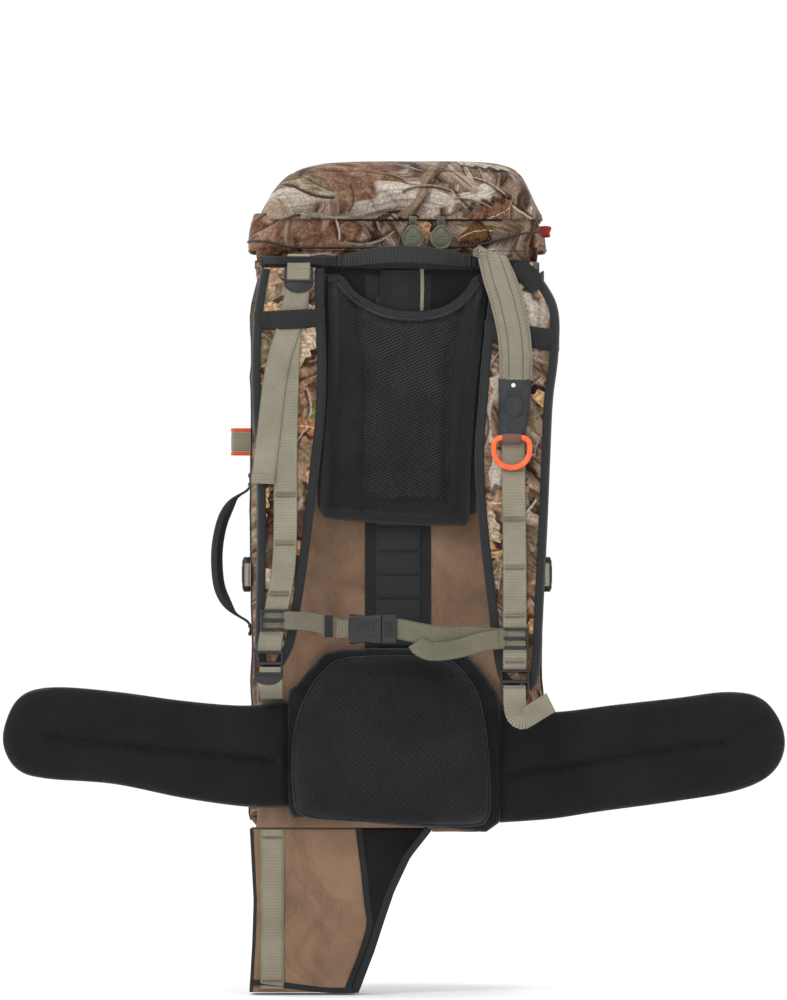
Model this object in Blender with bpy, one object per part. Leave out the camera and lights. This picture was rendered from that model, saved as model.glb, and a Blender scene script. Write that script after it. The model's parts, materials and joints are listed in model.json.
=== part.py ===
"""Hunting backpack with a rifle sleeve behind the harness and a drop-down boot for the rifle's butt.

Frame: +Z is up, +X is to the right of a person who looks at the harness, and -Y points at that person's side,
the side that the wearer's back rests on. The origin is the top of the grab handle, where the pack hangs.
All sizes are in metres.
"""
import math

import bmesh
import bpy
from mathutils import Matrix, Vector

# ---- driving dimensions -------------------------------------------------------------------------------------
GAP = 0.0004  # between pieces that lie on each other
WEB = 0.025  # width of the narrow webbing
WEB_T = 0.0016  # thickness of webbing

BAG_HALF = 0.155  # half the main bag's width
BAG_BACK = 0.042  # back wall of the main bag
BAG_FRONT = 0.245  # front wall of the main bag
BAG_CORNER = 0.055  # radius of the two front corners
WALL = 0.004  # padded fabric wall
RIM_Z = -0.020  # top of the bag's walls, where the collar starts
FLOOR_Z = -0.613  # inside floor level
BASE_T = 0.0045

SLEEVE_FRONT = -0.0155  # outer face of the rifle sleeve
SLEEVE_T = 0.003
SLEEVE_HALF = 0.150
SLEEVE_TOP = -0.012

LID_HINGE = (0.030, 0.0)  # y, z of the line that the lid folds on
LID_HALF = 0.158
LID_BACK, LID_FRONT = 0.027, 0.266
SKIRT_LOW, SKIRT_TOP, LID_TOP = 0.0006, 0.046, 0.093

PAD_BACK, PAD_FRONT = -0.0226, -0.043
YOKE_FRONT, YOKE_BACK = -0.0230, -0.0200

STRAP_T = 0.012
STRAP_TOP_Z = -0.019
STAND_OFF_TOP = -0.0235  # back face of a shoulder strap at its sewn top
STAND_OFF = 0.062  # how much further its lower end stands off
STAND_OFF_RUN = 0.40

CORE_FRONT, CORE_BACK = -0.0300, -0.0165
LUMBAR_BACK, LUMBAR_FRONT = -0.0304, -0.072
WING_MID, WING_T = -0.028, 0.020
HINGE_LEFT, HINGE_RIGHT = -0.125, 0.119

BOOT_HINGE = (0.041, -0.6185)  # y, z
BOOT_TOP = -0.6137
BOOT_BACK = 0.041

PIVOTS = {}
MATERIALS = {}


# ---- helpers ------------------------------------------------------------------------------------------------
def material(name, rgb, roughness, metallic=0.0):
    """A Principled material, made once and shared."""
    if name not in MATERIALS:
        made = bpy.data.materials.new(name)
        made.use_nodes = True
        shader = made.node_tree.nodes["Principled BSDF"]
        shader.inputs["Base Color"].default_value = (*rgb, 1.0)
        shader.inputs["Roughness"].default_value = roughness
        shader.inputs["Metallic"].default_value = metallic
        MATERIALS[name] = made
    return MATERIALS[name]


def camo():
    return material("camouflage cloth", (0.30, 0.23, 0.17), 0.85)


def brown_cloth():
    return material("brown cloth", (0.24, 0.15, 0.10), 0.85)


def mesh_cloth():
    return material("black mesh", (0.012, 0.013, 0.015), 0.9)


def black_web():
    return material("black webbing", (0.015, 0.016, 0.018), 0.8)


def olive_web():
    return material("olive webbing", (0.28, 0.27, 0.19), 0.8)


def plastic():
    return material("black plastic", (0.02, 0.022, 0.024), 0.45)


def rubber():
    return material("grey rubber", (0.035, 0.04, 0.042), 0.6)


def orange():
    return material("orange plastic", (0.85, 0.12, 0.02), 0.4)


def aluminium():
    return material("aluminium", (0.7, 0.7, 0.72), 0.35, 1.0)


def sheet_plastic():
    return material("white sheet plastic", (0.75, 0.75, 0.73), 0.5)


def pivot(name, place, parent=None):
    """An empty on a joint's axis, which carries the pieces that turn or slide there."""
    empty = bpy.data.objects.new("pivot_" + name, None)
    bpy.context.scene.collection.objects.link(empty)
    base = Vector((0, 0, 0))
    if parent:
        empty.parent = PIVOTS[parent][0]
        base = PIVOTS[parent][1]
    empty.location = Vector(place) - base
    PIVOTS[name] = (empty, Vector(place))
    return name


def add(name, bm, mat, on=None, angle=40.0):
    """Makes a node from a bmesh in world coordinates. on names the pivot that carries it."""
    bmesh.ops.recalc_face_normals(bm, faces=bm.faces)
    mesh = bpy.data.meshes.new(name)
    obj = bpy.data.objects.new(name, mesh)
    bpy.context.scene.collection.objects.link(obj)
    if on:
        empty, place = PIVOTS[on]
        bmesh.ops.translate(bm, verts=bm.verts, vec=-place)
        obj.parent = empty
    bm.to_mesh(mesh)
    bm.free()
    mesh.shade_smooth()
    mesh.set_sharp_from_angle(angle=math.radians(angle))
    mesh.materials.append(mat)
    return obj


def combine(obj, bm, operation, on=None):
    """Cuts a hidden helper out of obj, or joins it on, with a Boolean."""
    helper = add(f"{obj.name}_{operation.lower()}_{len(obj.modifiers)}", bm, obj.data.materials[0], on)
    helper.hide_render = True
    helper.display_type = "WIRE"
    boolean = obj.modifiers.new(operation.title(), "BOOLEAN")
    boolean.object = helper
    boolean.operation = operation
    boolean.solver = "EXACT"
    return obj


def rings_bmesh(rings):
    """A closed body through rings of points that all have the same count, capped at both ends."""
    bm = bmesh.new()
    made = [[bm.verts.new(p) for p in ring] for ring in rings]
    for low, high in zip(made, made[1:]):
        for i in range(len(low)):
            j = (i + 1) % len(low)
            bm.faces.new((low[i], low[j], high[j], high[i]))
    bm.faces.new(list(reversed(made[0])))
    bm.faces.new(made[-1])
    return bm


def spline(points, per=4, closed=False):
    """Points on a smooth curve (Catmull-Rom) through the given ones."""
    points = [Vector(p) for p in points]
    count = len(points)
    made = []
    spans = count if closed else count - 1
    for i in range(spans):
        if closed:
            p0, p1, p2, p3 = (points[(i + k) % count] for k in (-1, 0, 1, 2))
        else:
            p1, p2 = points[i], points[i + 1]
            p0 = points[i - 1] if i else p1 * 2 - p2
            p3 = points[i + 2] if i + 2 < count else p2 * 2 - p1
        for k in range(per):
            t = k / per
            made.append(
                0.5 * (2 * p1 + (p2 - p0) * t + (2 * p0 - 5 * p1 + 4 * p2 - p3) * t**2
                       + (3 * p1 - p0 - 3 * p2 + p3) * t**3)
            )
    if not closed:
        made.append(points[-1])
    return made


def arc(centre, radius, start, end, steps):
    """Points on an arc in a plane, with the angles in degrees."""
    made = []
    for k in range(steps + 1):
        a = math.radians(start + (end - start) * k / steps)
        made.append((centre[0] + radius * math.cos(a), centre[1] + radius * math.sin(a)))
    return made


def rounded(half_x, low, high, r_low, r_high, steps=4, middle=0.0):
    """A rectangle in a plane with round corners, counter-clockwise: r_low at its low side, r_high at its high."""
    x0, x1 = middle - half_x, middle + half_x
    return (
        arc((x1 - r_low, low + r_low), r_low, -90, 0, steps)
        + arc((x1 - r_high, high - r_high), r_high, 0, 90, steps)
        + arc((x0 + r_high, high - r_high), r_high, 90, 180, steps)
        + arc((x0 + r_low, low + r_low), r_low, 180, 270, steps)
    )


def inset(outline, depth):
    """A closed outline moved inwards by depth, at each corner along the two edges' bisector."""
    count = len(outline)
    area = sum(
        outline[i][0] * outline[(i + 1) % count][1] - outline[(i + 1) % count][0] * outline[i][1]
        for i in range(count)
    )
    turn = 1.0 if area > 0 else -1.0
    made = []
    for i in range(count):
        here = Vector(outline[i][:2])
        before = (here - Vector(outline[i - 1][:2])).normalized()
        after = (Vector(outline[(i + 1) % count][:2]) - here).normalized()
        n0, n1 = Vector((-before.y, before.x)), Vector((-after.y, after.x))
        mid = (n0 + n1).normalized()
        reach = depth / max(0.5, mid.dot(n0))
        moved = here + mid * reach * turn
        made.append((moved.x, moved.y))
    return made


def lay(outline, axis, level):
    """2D points as 3D ones, in the plane at level across axis. The two numbers are the other axes, in X, Y, Z order."""
    if axis == "X":
        return [Vector((level, a, b)) for a, b in outline]
    if axis == "Y":
        return [Vector((a, level, b)) for a, b in outline]
    return [Vector((a, b, level)) for a, b in outline]


def prism(outline, axis, low, high, chamfer=0.0):
    """An outline carried straight along an axis, with its end edges cut back by chamfer."""
    if not chamfer:
        return rings_bmesh([lay(outline, axis, low), lay(outline, axis, high)])
    small = inset(outline, chamfer)
    return rings_bmesh(
        [
            lay(small, axis, low),
            lay(outline, axis, low + chamfer),
            lay(outline, axis, high - chamfer),
            lay(small, axis, high),
        ]
    )


def cushion(outline, axis, back, front, roll, steps=3, both=False):
    """A padded slab on an outline. Its front edge rolls over in a quarter round, and its back edge too if both."""
    side = 1.0 if front > back else -1.0
    turned = [
        (roll * (1 - math.cos(math.radians(90 * k / steps))), roll * math.sin(math.radians(90 * k / steps)))
        for k in range(steps + 1)
    ]
    rings = []
    if both:
        rings += [lay(inset(outline, d), axis, back + side * (roll - rise)) for d, rise in reversed(turned[1:])]
        rings.append(lay(outline, axis, back + side * roll))
    else:
        rings.append(lay(outline, axis, back))
    front_rings = [lay(inset(outline, d), axis, front - side * (roll - rise)) for d, rise in turned]
    if (front_rings[0][0] - rings[-1][0]).length < 1e-6:
        front_rings = front_rings[1:]
    return rings_bmesh(rings + front_rings)


def ribbon(path, across, width, thick):
    """A strap: a flat section carried along a path, with its width along the vector across."""
    path = [Vector(p) for p in path]
    across = Vector(across).normalized()
    widths = width if isinstance(width, (list, tuple)) else [width] * len(path)
    rings = []
    for i, p in enumerate(path):
        before = path[max(i - 1, 0)]
        after = path[min(i + 1, len(path) - 1)]
        along = (after - before).normalized()
        side = (across - along * along.dot(across)).normalized()
        normal = along.cross(side)
        w, t = side * widths[i] / 2, normal * thick / 2
        rings.append([p - w - t, p + w - t, p + w + t, p - w + t])
    return rings_bmesh(rings)


def loop_tube(path, radius, sides=8):
    """A round bar along a closed flat path in the XZ plane."""
    path = [Vector(p) for p in path]
    bm = bmesh.new()
    count = len(path)
    made = []
    for i in range(count):
        along = (path[(i + 1) % count] - path[i - 1]).normalized()
        out = along.cross(Vector((0, 1, 0)))
        ring = []
        for k in range(sides):
            a = 2 * math.pi * k / sides
            ring.append(bm.verts.new(path[i] + (out * math.cos(a) + Vector((0, 1, 0)) * math.sin(a)) * radius))
        made.append(ring)
    for i in range(count):
        low, high = made[i], made[(i + 1) % count]
        for k in range(sides):
            j = (k + 1) % sides
            bm.faces.new((low[k], low[j], high[j], high[k]))
    return bm


def box(low, high):
    low, high = Vector(low), Vector(high)
    outline = [(low.x, low.y), (high.x, low.y), (high.x, high.y), (low.x, high.y)]
    return prism(outline, "Z", low.z, high.z)


def moved(bm, matrix):
    bmesh.ops.transform(bm, matrix=matrix, verts=bm.verts)
    return bm


def frame_at(place, along, across):
    """Maps a piece's own axes into the part: its X runs along, its Y across, and its Z through its thickness."""
    x, y = Vector(along).normalized(), Vector(across).normalized()
    z = x.cross(y)
    return Matrix.Translation(Vector(place)) @ Matrix((x, y, z)).transposed().to_4x4()


# ---- moulded fittings, in their own axes --------------------------------------------------------------------
def buckle_socket(name, matrix, width, mat, on=None):
    """The hollow half of a side-release buckle. Its mouth is at X 0 and faces +X; the webbing joins at its back."""
    half, length, thick = width / 2 + 0.005, 0.034, 0.0095
    outline = rounded(half, -length, -0.0001, 0.004, 0.001, 3)
    outline = [(b, a) for a, b in reversed(outline)]
    body = add(name, moved(prism(outline, "Z", -thick / 2, thick / 2, 0.0012), matrix), mat, on)
    mouth = box((-0.024, -half + 0.0030, -0.0031), (0.01, half - 0.0030, 0.0031))
    combine(body, moved(mouth, matrix), "DIFFERENCE", on)
    window = box((-0.020, -half - 0.01, -0.0025), (-0.012, half + 0.01, 0.0025))
    combine(body, moved(window, matrix), "DIFFERENCE", on)
    slot = box((-0.0315, -half + 0.004, -0.01), (-0.0285, half - 0.004, 0.01))
    return combine(body, moved(slot, matrix), "DIFFERENCE", on)


def buckle_clip_bmesh(width):
    """The pronged half: a cross bar outside the mouth, two sprung arms with hooked ends and a guide between them."""
    half = width / 2 + 0.005
    arm = half - 0.0036
    upper = [
        (0.0165, half - 0.002), (0.0145, half), (0.0022, half), (0.0004, half - 0.002), (0.0004, arm - 0.001),
        (-0.012, arm - 0.0015), (-0.0125, arm), (-0.016, arm), (-0.0215, arm - 0.003), (-0.0215, arm - 0.0055),
        (-0.008, arm - 0.0045), (0.0004, arm - 0.0065), (0.0004, 0.0018), (-0.018, 0.0012),
    ]
    lower = [(a, -b) for a, b in reversed(upper)]
    return prism(upper + lower, "Z", -0.0026, 0.0026, 0.0004)


def slotted_frame(name, matrix, width, height, mat, tongue=0.0, on=None, thick=0.005):
    """A moulded frame with two slots for webbing. Its X is its height; tongue adds a half-round thumb tab below."""
    half_w, half_h = width / 2, height / 2
    outline = [(half_h - 0.002, -half_w), (half_h, -half_w + 0.002), (half_h, half_w - 0.002), (half_h - 0.002, half_w)]
    if tongue:
        outline += [(-half_h, half_w)]
        outline += [
            (-half_h - tongue * math.sin(math.radians(a)), (half_w - 0.002) * math.cos(math.radians(a)))
            for a in range(15, 180, 25)
        ]
        outline += [(-half_h, -half_w)]
    else:
        outline += [(-half_h + 0.002, half_w), (-half_h, half_w - 0.002), (-half_h, -half_w + 0.002), (-half_h + 0.002, -half_w)]
    body = add(name, moved(prism(outline, "Z", -thick / 2, thick / 2, 0.0007), matrix), mat, on)
    slot = 0.0034
    for side in (-1, 1):
        middle = side * height / 4
        hole = box((middle - slot / 2, -half_w + 0.0026, -0.01), (middle + slot / 2, half_w - 0.0026, 0.01))
        combine(body, moved(hole, matrix), "DIFFERENCE", on)
    return body


# ---- main bag -----------------------------------------------------------------------------------------------
def wall_section(side):
    """Plan of one side wall with its round front corner: the closed outline of a bent strip."""
    cx, cy = BAG_HALF - BAG_CORNER, BAG_FRONT - BAG_CORNER
    outer = [(BAG_HALF, BAG_BACK)] + arc((cx, cy), BAG_CORNER, 0, 90, 6)
    inner = arc((cx, cy), BAG_CORNER - WALL, 90, 0, 6) + [(BAG_HALF - WALL, BAG_BACK)]
    return [(side * x, y) for x, y in outer + inner]


def build_bag():
    inner_half = BAG_HALF - WALL - GAP
    back = rounded(inner_half, FLOOR_Z + GAP, RIM_Z, 0.02, 0.02)
    add("back_panel", prism(back, "Y", BAG_BACK, BAG_BACK + WALL), brown_cloth())
    sheet = rounded(0.135, FLOOR_Z + 0.02, -0.045, 0.03, 0.03)
    add("frame_sheet", prism(sheet, "Y", BAG_BACK + WALL + GAP, BAG_BACK + WALL + GAP + 0.0015), sheet_plastic())
    build_stay(BAG_BACK + WALL + 0.0015 + 2 * GAP)

    for name, side in (("side_panel_left", -1), ("side_panel_right", 1)):
        add(name, prism(wall_section(side), "Z", FLOOR_Z + GAP, RIM_Z), camo())
    straight = BAG_HALF - BAG_CORNER - GAP
    bulge = 0.006
    outer = [(straight * math.cos(math.radians(a)), BAG_FRONT + bulge * math.sin(math.radians(a))) for a in range(0, 181, 30)]
    outer[0], outer[-1] = (straight, BAG_FRONT), (-straight, BAG_FRONT)
    front = outer + [(x, y - WALL) for x, y in reversed(outer)]
    add("front_panel", prism(front, "Z", FLOOR_Z + GAP, RIM_Z), camo())

    base = rounded(BAG_HALF, BAG_BACK, BAG_FRONT, 0.001, BAG_CORNER, 6)
    base_node = add("base_panel", prism(base, "Z", FLOOR_Z - BASE_T, FLOOR_Z), camo())
    tab = box((0.037, SLEEVE_FRONT, FLOOR_Z - BASE_T), (SLEEVE_HALF, BAG_BACK + 0.01, FLOOR_Z))
    combine(base_node, tab, "UNION")

    ring = rounded(0.149, 0.0435, 0.240, 0.015, 0.050, 6)
    collar = add("collar", prism(ring, "Z", RIM_Z + GAP, 0.030), black_web())
    combine(collar, prism(inset(ring, 0.0025), "Z", RIM_Z - 0.02, 0.05), "DIFFERENCE")
    cord = add("drawcord", prism(inset(ring, 0.0030), "Z", 0.0255, 0.0285), olive_web())
    combine(cord, prism(inset(ring, 0.0060), "Z", 0.0, 0.05), "DIFFERENCE")


def build_stay(y):
    """The hooped aluminium rod that stiffens the back."""
    radius = 0.0025
    half, low, high, corner = 0.115, FLOOR_Z + 0.05, -0.065, 0.04
    route = (
        [(-half, low)]
        + arc((-half + corner, high - corner), corner, 180, 90, 6)
        + arc((half - corner, high - corner), corner, 90, 0, 6)
        + [(half, low)]
    )
    middle = y + radius
    curve = bpy.data.curves.new("frame_stay", "CURVE")
    curve.dimensions = "3D"
    curve.bevel_depth = radius
    curve.bevel_resolution = 2
    curve.use_fill_caps = True
    line = curve.splines.new("POLY")
    line.points.add(len(route) - 1)
    for point, (x, z) in zip(line.points, route):
        point.co = (x, middle, z, 1)
    curve.materials.append(aluminium())
    bpy.context.scene.collection.objects.link(bpy.data.objects.new("frame_stay", curve))


def build_cord_lock():
    """The spring lock that closes the collar's drawcord, with its push button."""
    y, z = 0.2505, 0.008
    body = arc((y, z), 0.0068, 0, 337.5, 15)
    lock = add("cord_lock_body", prism(body, "X", -0.011, 0.007, 0.0008), plastic())
    combine(lock, prism(arc((y, z), 0.0055, 0, 337.5, 15), "X", 0.0, 0.02), "DIFFERENCE")
    pivot("cord_button", (0.007, y, z))
    shaft = arc((y, z), 0.0050, 0, 337.5, 15)
    add("cord_lock_button", prism(shaft, "X", 0.0074, 0.0134, 0.0006), plastic(), "cord_button")


def build_front():
    """The front pocket with its zip slider, and the sockets that take the lid's two clips."""
    outline = rounded(0.112, -0.560, -0.235, 0.035, 0.025)
    pocket_front = 0.290
    add("front_pocket", cushion(outline, "Y", BAG_FRONT + 0.0068, pocket_front, 0.014), camo())
    pivot("front_zip", (-0.090, pocket_front, -0.270))
    tab = rounded(0.0045, -0.304, -0.264, 0.003, 0.0045, 3, middle=-0.090)
    add("front_zip_slider", prism(tab, "Y", pocket_front + 0.0016, pocket_front + 0.0046, 0.0006), plastic(), "front_zip")

    for name, x in (("lid_socket_left", -0.085), ("lid_socket_right", 0.085)):
        matrix = frame_at((x, 0.268, -0.1500), (0, 0, 1), (1, 0, 0))
        socket = buckle_socket(name, matrix, WEB, plastic())
        anchor = [(x, 0.268, -0.1825), (x, 0.262, -0.195), (x, 0.2545, -0.206), (x, 0.2532, -0.226)]
        combine(socket, ribbon(anchor, (1, 0, 0), WEB, WEB_T), "UNION")


def build_sides():
    """Compression straps on both sides, the side handle and the orange-edged loop."""
    z = -0.345
    for name, side in (("left", -1), ("right", 1)):
        x = side * (BAG_HALF + 0.0062)
        matrix = frame_at((x, 0.140, z), (0, 1, 0), (0, 0, 1))
        socket = buckle_socket("side_strap_" + name, matrix, WEB, plastic())
        strap = [(side * (BAG_HALF + 0.0014), 0.046, z), (side * (BAG_HALF + 0.0014), 0.085, z), (x, 0.109, z)]
        combine(socket, ribbon(strap, (0, 0, 1), WEB, WEB_T), "UNION")
        pivot("side_clip_" + name, (x, 0.140, z))
        clip = add("side_clip_" + name, moved(buckle_clip_bmesh(WEB), matrix), plastic(), "side_clip_" + name)
        tail = [(x, 0.152, z), (side * (BAG_HALF + 0.003), 0.168, z), (side * (BAG_HALF + 0.0016), 0.186, z)]
        combine(clip, ribbon(tail, (0, 0, 1), WEB, WEB_T), "UNION", "side_clip_" + name)

    face = -BAG_HALF - 0.0022
    handle = [
        (face, 0.080, -0.236), (face - 0.0012, 0.080, -0.252), (-0.176, 0.080, -0.268), (-0.188, 0.080, -0.290),
        (-0.1925, 0.080, -0.320), (-0.1925, 0.080, -0.348), (-0.187, 0.080, -0.367), (-0.174, 0.080, -0.384),
        (face - 0.0012, 0.080, -0.396), (face, 0.080, -0.410),
    ]
    add("side_handle", ribbon(spline(handle, 2), (0, 1, 0), 0.025, 0.003), black_web())
    tab = [(face + 0.0005, -0.189), (-0.172, -0.189), (-0.1745, -0.1915), (-0.1745, -0.2145), (-0.172, -0.217), (face + 0.0005, -0.217)]
    add("side_loop", prism(tab, "Y", 0.050, 0.0545, 0.0008), orange())


# ---- lid ----------------------------------------------------------------------------------------------------
def lid_outline(shrink=0.0):
    return inset(rounded(LID_HALF, LID_BACK, LID_FRONT, 0.020, 0.060, 5), shrink)


def build_lid():
    pivot("lid", (0, *LID_HINGE))
    skirt = add("lid_skirt", prism(lid_outline(), "Z", SKIRT_LOW, SKIRT_TOP), camo(), "lid")
    combine(skirt, prism(lid_outline(0.003), "Z", SKIRT_LOW - 0.02, SKIRT_TOP + 0.02), "DIFFERENCE", "lid")
    # levels of the domed pocket: height, how far its outline has drawn in
    levels = [(SKIRT_TOP + GAP, 0.0), (0.060, 0.003), (0.073, 0.011), (0.083, 0.026), (0.0895, 0.047), (LID_TOP, 0.075)]
    rings = [lay(scaled_lid(draw), "Z", z) for z, draw in levels]
    add("lid_pocket", rings_bmesh(rings), camo(), "lid")

    for name, x, reach in (("lid_slider_left", 0.017, -1), ("lid_slider_right", 0.047, 1)):
        pivot(name, (x, LID_BACK, 0.034), "lid")
        pull = rounded(0.0045, 0.028, 0.038, 0.002, 0.002, 2, middle=x)
        slider = add(name, prism(pull, "Y", LID_BACK - 0.0065, LID_BACK - 0.0016), olive_web(), name)
        drop = [
            (x + 0.0115 * math.sin(math.radians(a)), 0.0135 - 0.0115 * math.cos(math.radians(a)))
            for a in range(0, 360, 30)
        ]
        combine(slider, prism(drop, "Y", LID_BACK - 0.0095, LID_BACK - 0.0035, 0.0015), "UNION", name)
        neck = box((x - 0.003, LID_BACK - 0.0075, 0.020), (x + 0.003, LID_BACK - 0.004, 0.031))
        combine(slider, neck, "UNION", name)

    for name, x in (("lid_strap_left", -0.085), ("lid_strap_right", 0.085)):
        path = [
            (x, LID_FRONT + 0.0012, 0.036), (x, LID_FRONT + 0.0014, 0.0), (x, 0.268, -0.030),
            (x, 0.268, -0.090), (x, 0.268, -0.142),
        ]
        strap = add(name, ribbon(path, (1, 0, 0), WEB, WEB_T), olive_web(), "lid")
        head = rounded(WEB / 2 + 0.005, -0.1496, -0.134, 0.001, 0.004, 3, middle=x)
        combine(strap, prism(head, "Y", 0.2640, 0.2720, 0.0008), "UNION", "lid")


def scaled_lid(draw):
    """The lid's outline drawn in evenly towards its middle, by draw at its ends."""
    mid_y = (LID_BACK + LID_FRONT) / 2
    share_x = 1 - draw / LID_HALF
    share_y = 1 - draw / (LID_FRONT - mid_y) * 0.75
    return [(x * share_x, mid_y + (y - mid_y) * share_y) for x, y in lid_outline()]


# ---- rifle sleeve, top band, handle and ladder --------------------------------------------------------------
def build_sleeve():
    out, inner, back = SLEEVE_HALF, SLEEVE_HALF - SLEEVE_T, BAG_BACK - GAP
    front = SLEEVE_FRONT
    channel = [
        (-out, back), (-out, front + 0.006), (-out + 0.006, front), (out - 0.006, front), (out, front + 0.006),
        (out, back), (inner, back), (inner, front + SLEEVE_T + 0.004), (inner - 0.004, front + SLEEVE_T),
        (-inner + 0.004, front + SLEEVE_T), (-inner, front + SLEEVE_T + 0.004), (-inner, back),
    ]
    add("sleeve_front", prism(channel, "Z", FLOOR_Z + GAP, SLEEVE_TOP), brown_cloth())

    band = [(-0.1430, -0.0225), (0.100, -0.0225), (0.100, -0.0090), (-0.1430, -0.0090)]
    add("sleeve_top_band", prism(band, "Y", SLEEVE_FRONT - 0.0030, SLEEVE_FRONT - GAP), black_web())

    pivot("handle", (0.008, -0.0195, -0.0025))
    bow = [
        (-0.066, -0.0203, -0.0125), (-0.052, -0.0225, -0.0120), (-0.034, -0.0330, -0.0108), (-0.012, -0.0400, -0.0100),
        (0.008, -0.0415, -0.0098), (0.028, -0.0400, -0.0100), (0.050, -0.0330, -0.0108), (0.068, -0.0225, -0.0120),
        (0.081, -0.0203, -0.0125),
    ]
    add("grab_handle", ribbon(spline(bow, 3), (0, 0, 1), 0.0195, 0.0026), black_web(), "handle")

    # ladder that sets the torso length: a strip with raised rungs, drawn from the side and carried across
    y_back, y_strip, y_rung = SLEEVE_FRONT - GAP, SLEEVE_FRONT - 0.0017, SLEEVE_FRONT - 0.0034
    top, low, pitch, rung = -0.026, -0.420, 0.025, 0.021
    side = [(y_back, top), (y_back, low)]
    z = low
    while z + pitch <= top + 1e-6:
        side += [(y_strip, z), (y_strip, z + 0.003), (y_rung, z + 0.0035), (y_rung, z + rung), (y_strip, z + rung + 0.0005)]
        z += pitch
    side.append((y_strip, top))
    add("torso_ladder", prism(side, "X", -0.034, 0.036), black_web())


# ---- boot ---------------------------------------------------------------------------------------------------
# right edge of the boot from its top to its bottom, then its left edge back up
BOOT_RIGHT = [(0.035, BOOT_TOP), (0.012, -0.643), (-0.0053, -0.680), (-0.017, -0.7145), (-0.0265, -0.744), (-0.0435, -0.788)]
BOOT_LEFT = [(-0.156, -0.779), (-0.1535, -0.735), (-0.152, -0.690), (-0.156, BOOT_TOP)]
BOOT_SEAM = [(-0.0405, BOOT_TOP), (-0.035, -0.657), (-0.0308, -0.700), (-0.0275, -0.712), (-0.030, -0.723), (-0.038, -0.749), (-0.0535, -0.7873)]


def build_boot():
    pivot("boot", (-0.06, *BOOT_HINGE))
    outline = BOOT_LEFT[::-1] + BOOT_RIGHT[::-1]
    inner_front = SLEEVE_FRONT + SLEEVE_T + GAP
    shell = add("boot_shell", prism(outline, "Y", inner_front, BOOT_BACK), brown_cloth(), "boot")
    hollow = inset(outline, 0.003)
    top = max(b for a, b in hollow)
    hollow = [(a, b + 0.03 if b > top - 0.002 else b) for a, b in hollow]
    combine(shell, prism(hollow, "Y", inner_front - 0.02, BOOT_BACK - 0.003), "DIFFERENCE", "boot")

    left = BOOT_SEAM[::-1] + BOOT_LEFT[::-1]
    add("boot_front", prism(left, "Y", SLEEVE_FRONT, SLEEVE_FRONT + SLEEVE_T), brown_cloth(), "boot")
    seam = [(x + GAP, z) for x, z in BOOT_SEAM]
    right = seam + BOOT_RIGHT[::-1]
    add("boot_mesh", prism(right, "Y", SLEEVE_FRONT, SLEEVE_FRONT + SLEEVE_T), mesh_cloth(), "boot")


# ---- harness: torso slide, back pad, shoulder straps --------------------------------------------------------
def build_back_pad():
    pivot("torso", (0.001, YOKE_BACK, -0.15))
    neck = [
        (-0.0725, -0.0265), (-0.058, -0.0285), (-0.043, -0.046), (-0.015, -0.061), (0.019, -0.066), (0.051, -0.060),
        (0.071, -0.045), (0.082, -0.0290), (0.0960, -0.0265),
    ]
    sides = [
        (0.0900, -0.090), (0.0825, -0.160), (0.0780, -0.225), (0.0765, -0.278), (0.070, -0.2915), (0.0, -0.2905),
        (-0.074, -0.283), (-0.0810, -0.270), (-0.0780, -0.220), (-0.0730, -0.160), (-0.0725, -0.090),
    ]
    outline = [(p.x, p.y) for p in spline([(x, z, 0) for x, z in neck], 2)] + sides
    pad = add("upper_back_pad", cushion(outline[::-1], "Y", PAD_BACK, PAD_FRONT, 0.006), mesh_cloth(), "torso")
    # the sheet behind the pad, which the tops of the shoulder straps are sewn to
    yoke = [
        (-0.140, -0.0245), (-0.140, -0.075), (-0.078, -0.110), (-0.070, -0.275), (0.068, -0.280), (0.078, -0.110),
        (0.150, -0.075), (0.150, -0.0245), (0.102, -0.0245), (0.086, -0.045), (0.056, -0.063), (0.019, -0.072),
        (-0.023, -0.064), (-0.055, -0.048), (-0.075, -0.0245),
    ]
    combine(pad, prism(yoke, "Y", YOKE_FRONT, YOKE_BACK), "UNION", "torso")


def strap_back(z):
    """Depth of a shoulder strap's back face at height z."""
    share = min(max((-0.02 - z) / STAND_OFF_RUN, 0.0), 1.0)
    return STAND_OFF_TOP - STAND_OFF * math.sin(math.pi / 2 * share)


def strap_front(z):
    return strap_back(z) - STRAP_T


# height, left edge, right edge
STRAP_LEFT = [
    (STRAP_TOP_Z, -0.143, -0.078), (-0.060, -0.150, -0.078), (-0.110, -0.153, -0.076), (-0.170, -0.152, -0.077),
    (-0.230, -0.148, -0.083), (-0.300, -0.147, -0.091), (-0.370, -0.148, -0.101), (-0.415, -0.149, -0.109), (-0.440, -0.144, -0.122),
]
STRAP_RIGHT = [
    (STRAP_TOP_Z, 0.101, 0.146), (-0.060, 0.097, 0.169), (-0.110, 0.091, 0.170), (-0.160, 0.087, 0.164),
    (-0.220, 0.083, 0.161), (-0.290, 0.087, 0.158), (-0.370, 0.096, 0.154), (-0.430, 0.103, 0.151), (-0.462, 0.114, 0.145),
]


def strap_bmesh(rows):
    """A padded shoulder strap through rows of height and two edges, standing off the back as it goes down."""
    rings = []
    for row in spline(rows, 2):
        z, x0, x1 = row
        back, front, middle, roll = strap_back(z), strap_front(z), (strap_back(z) + strap_front(z)) / 2, 0.004
        rings.append(
            [Vector(p) for p in (
                (x0, middle, z), (x0 + roll, front, z), (x1 - roll, front, z),
                (x1, middle, z), (x1 - roll, back, z), (x0 + roll, back, z),
            )]
        )
    return rings_bmesh(rings)


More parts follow.
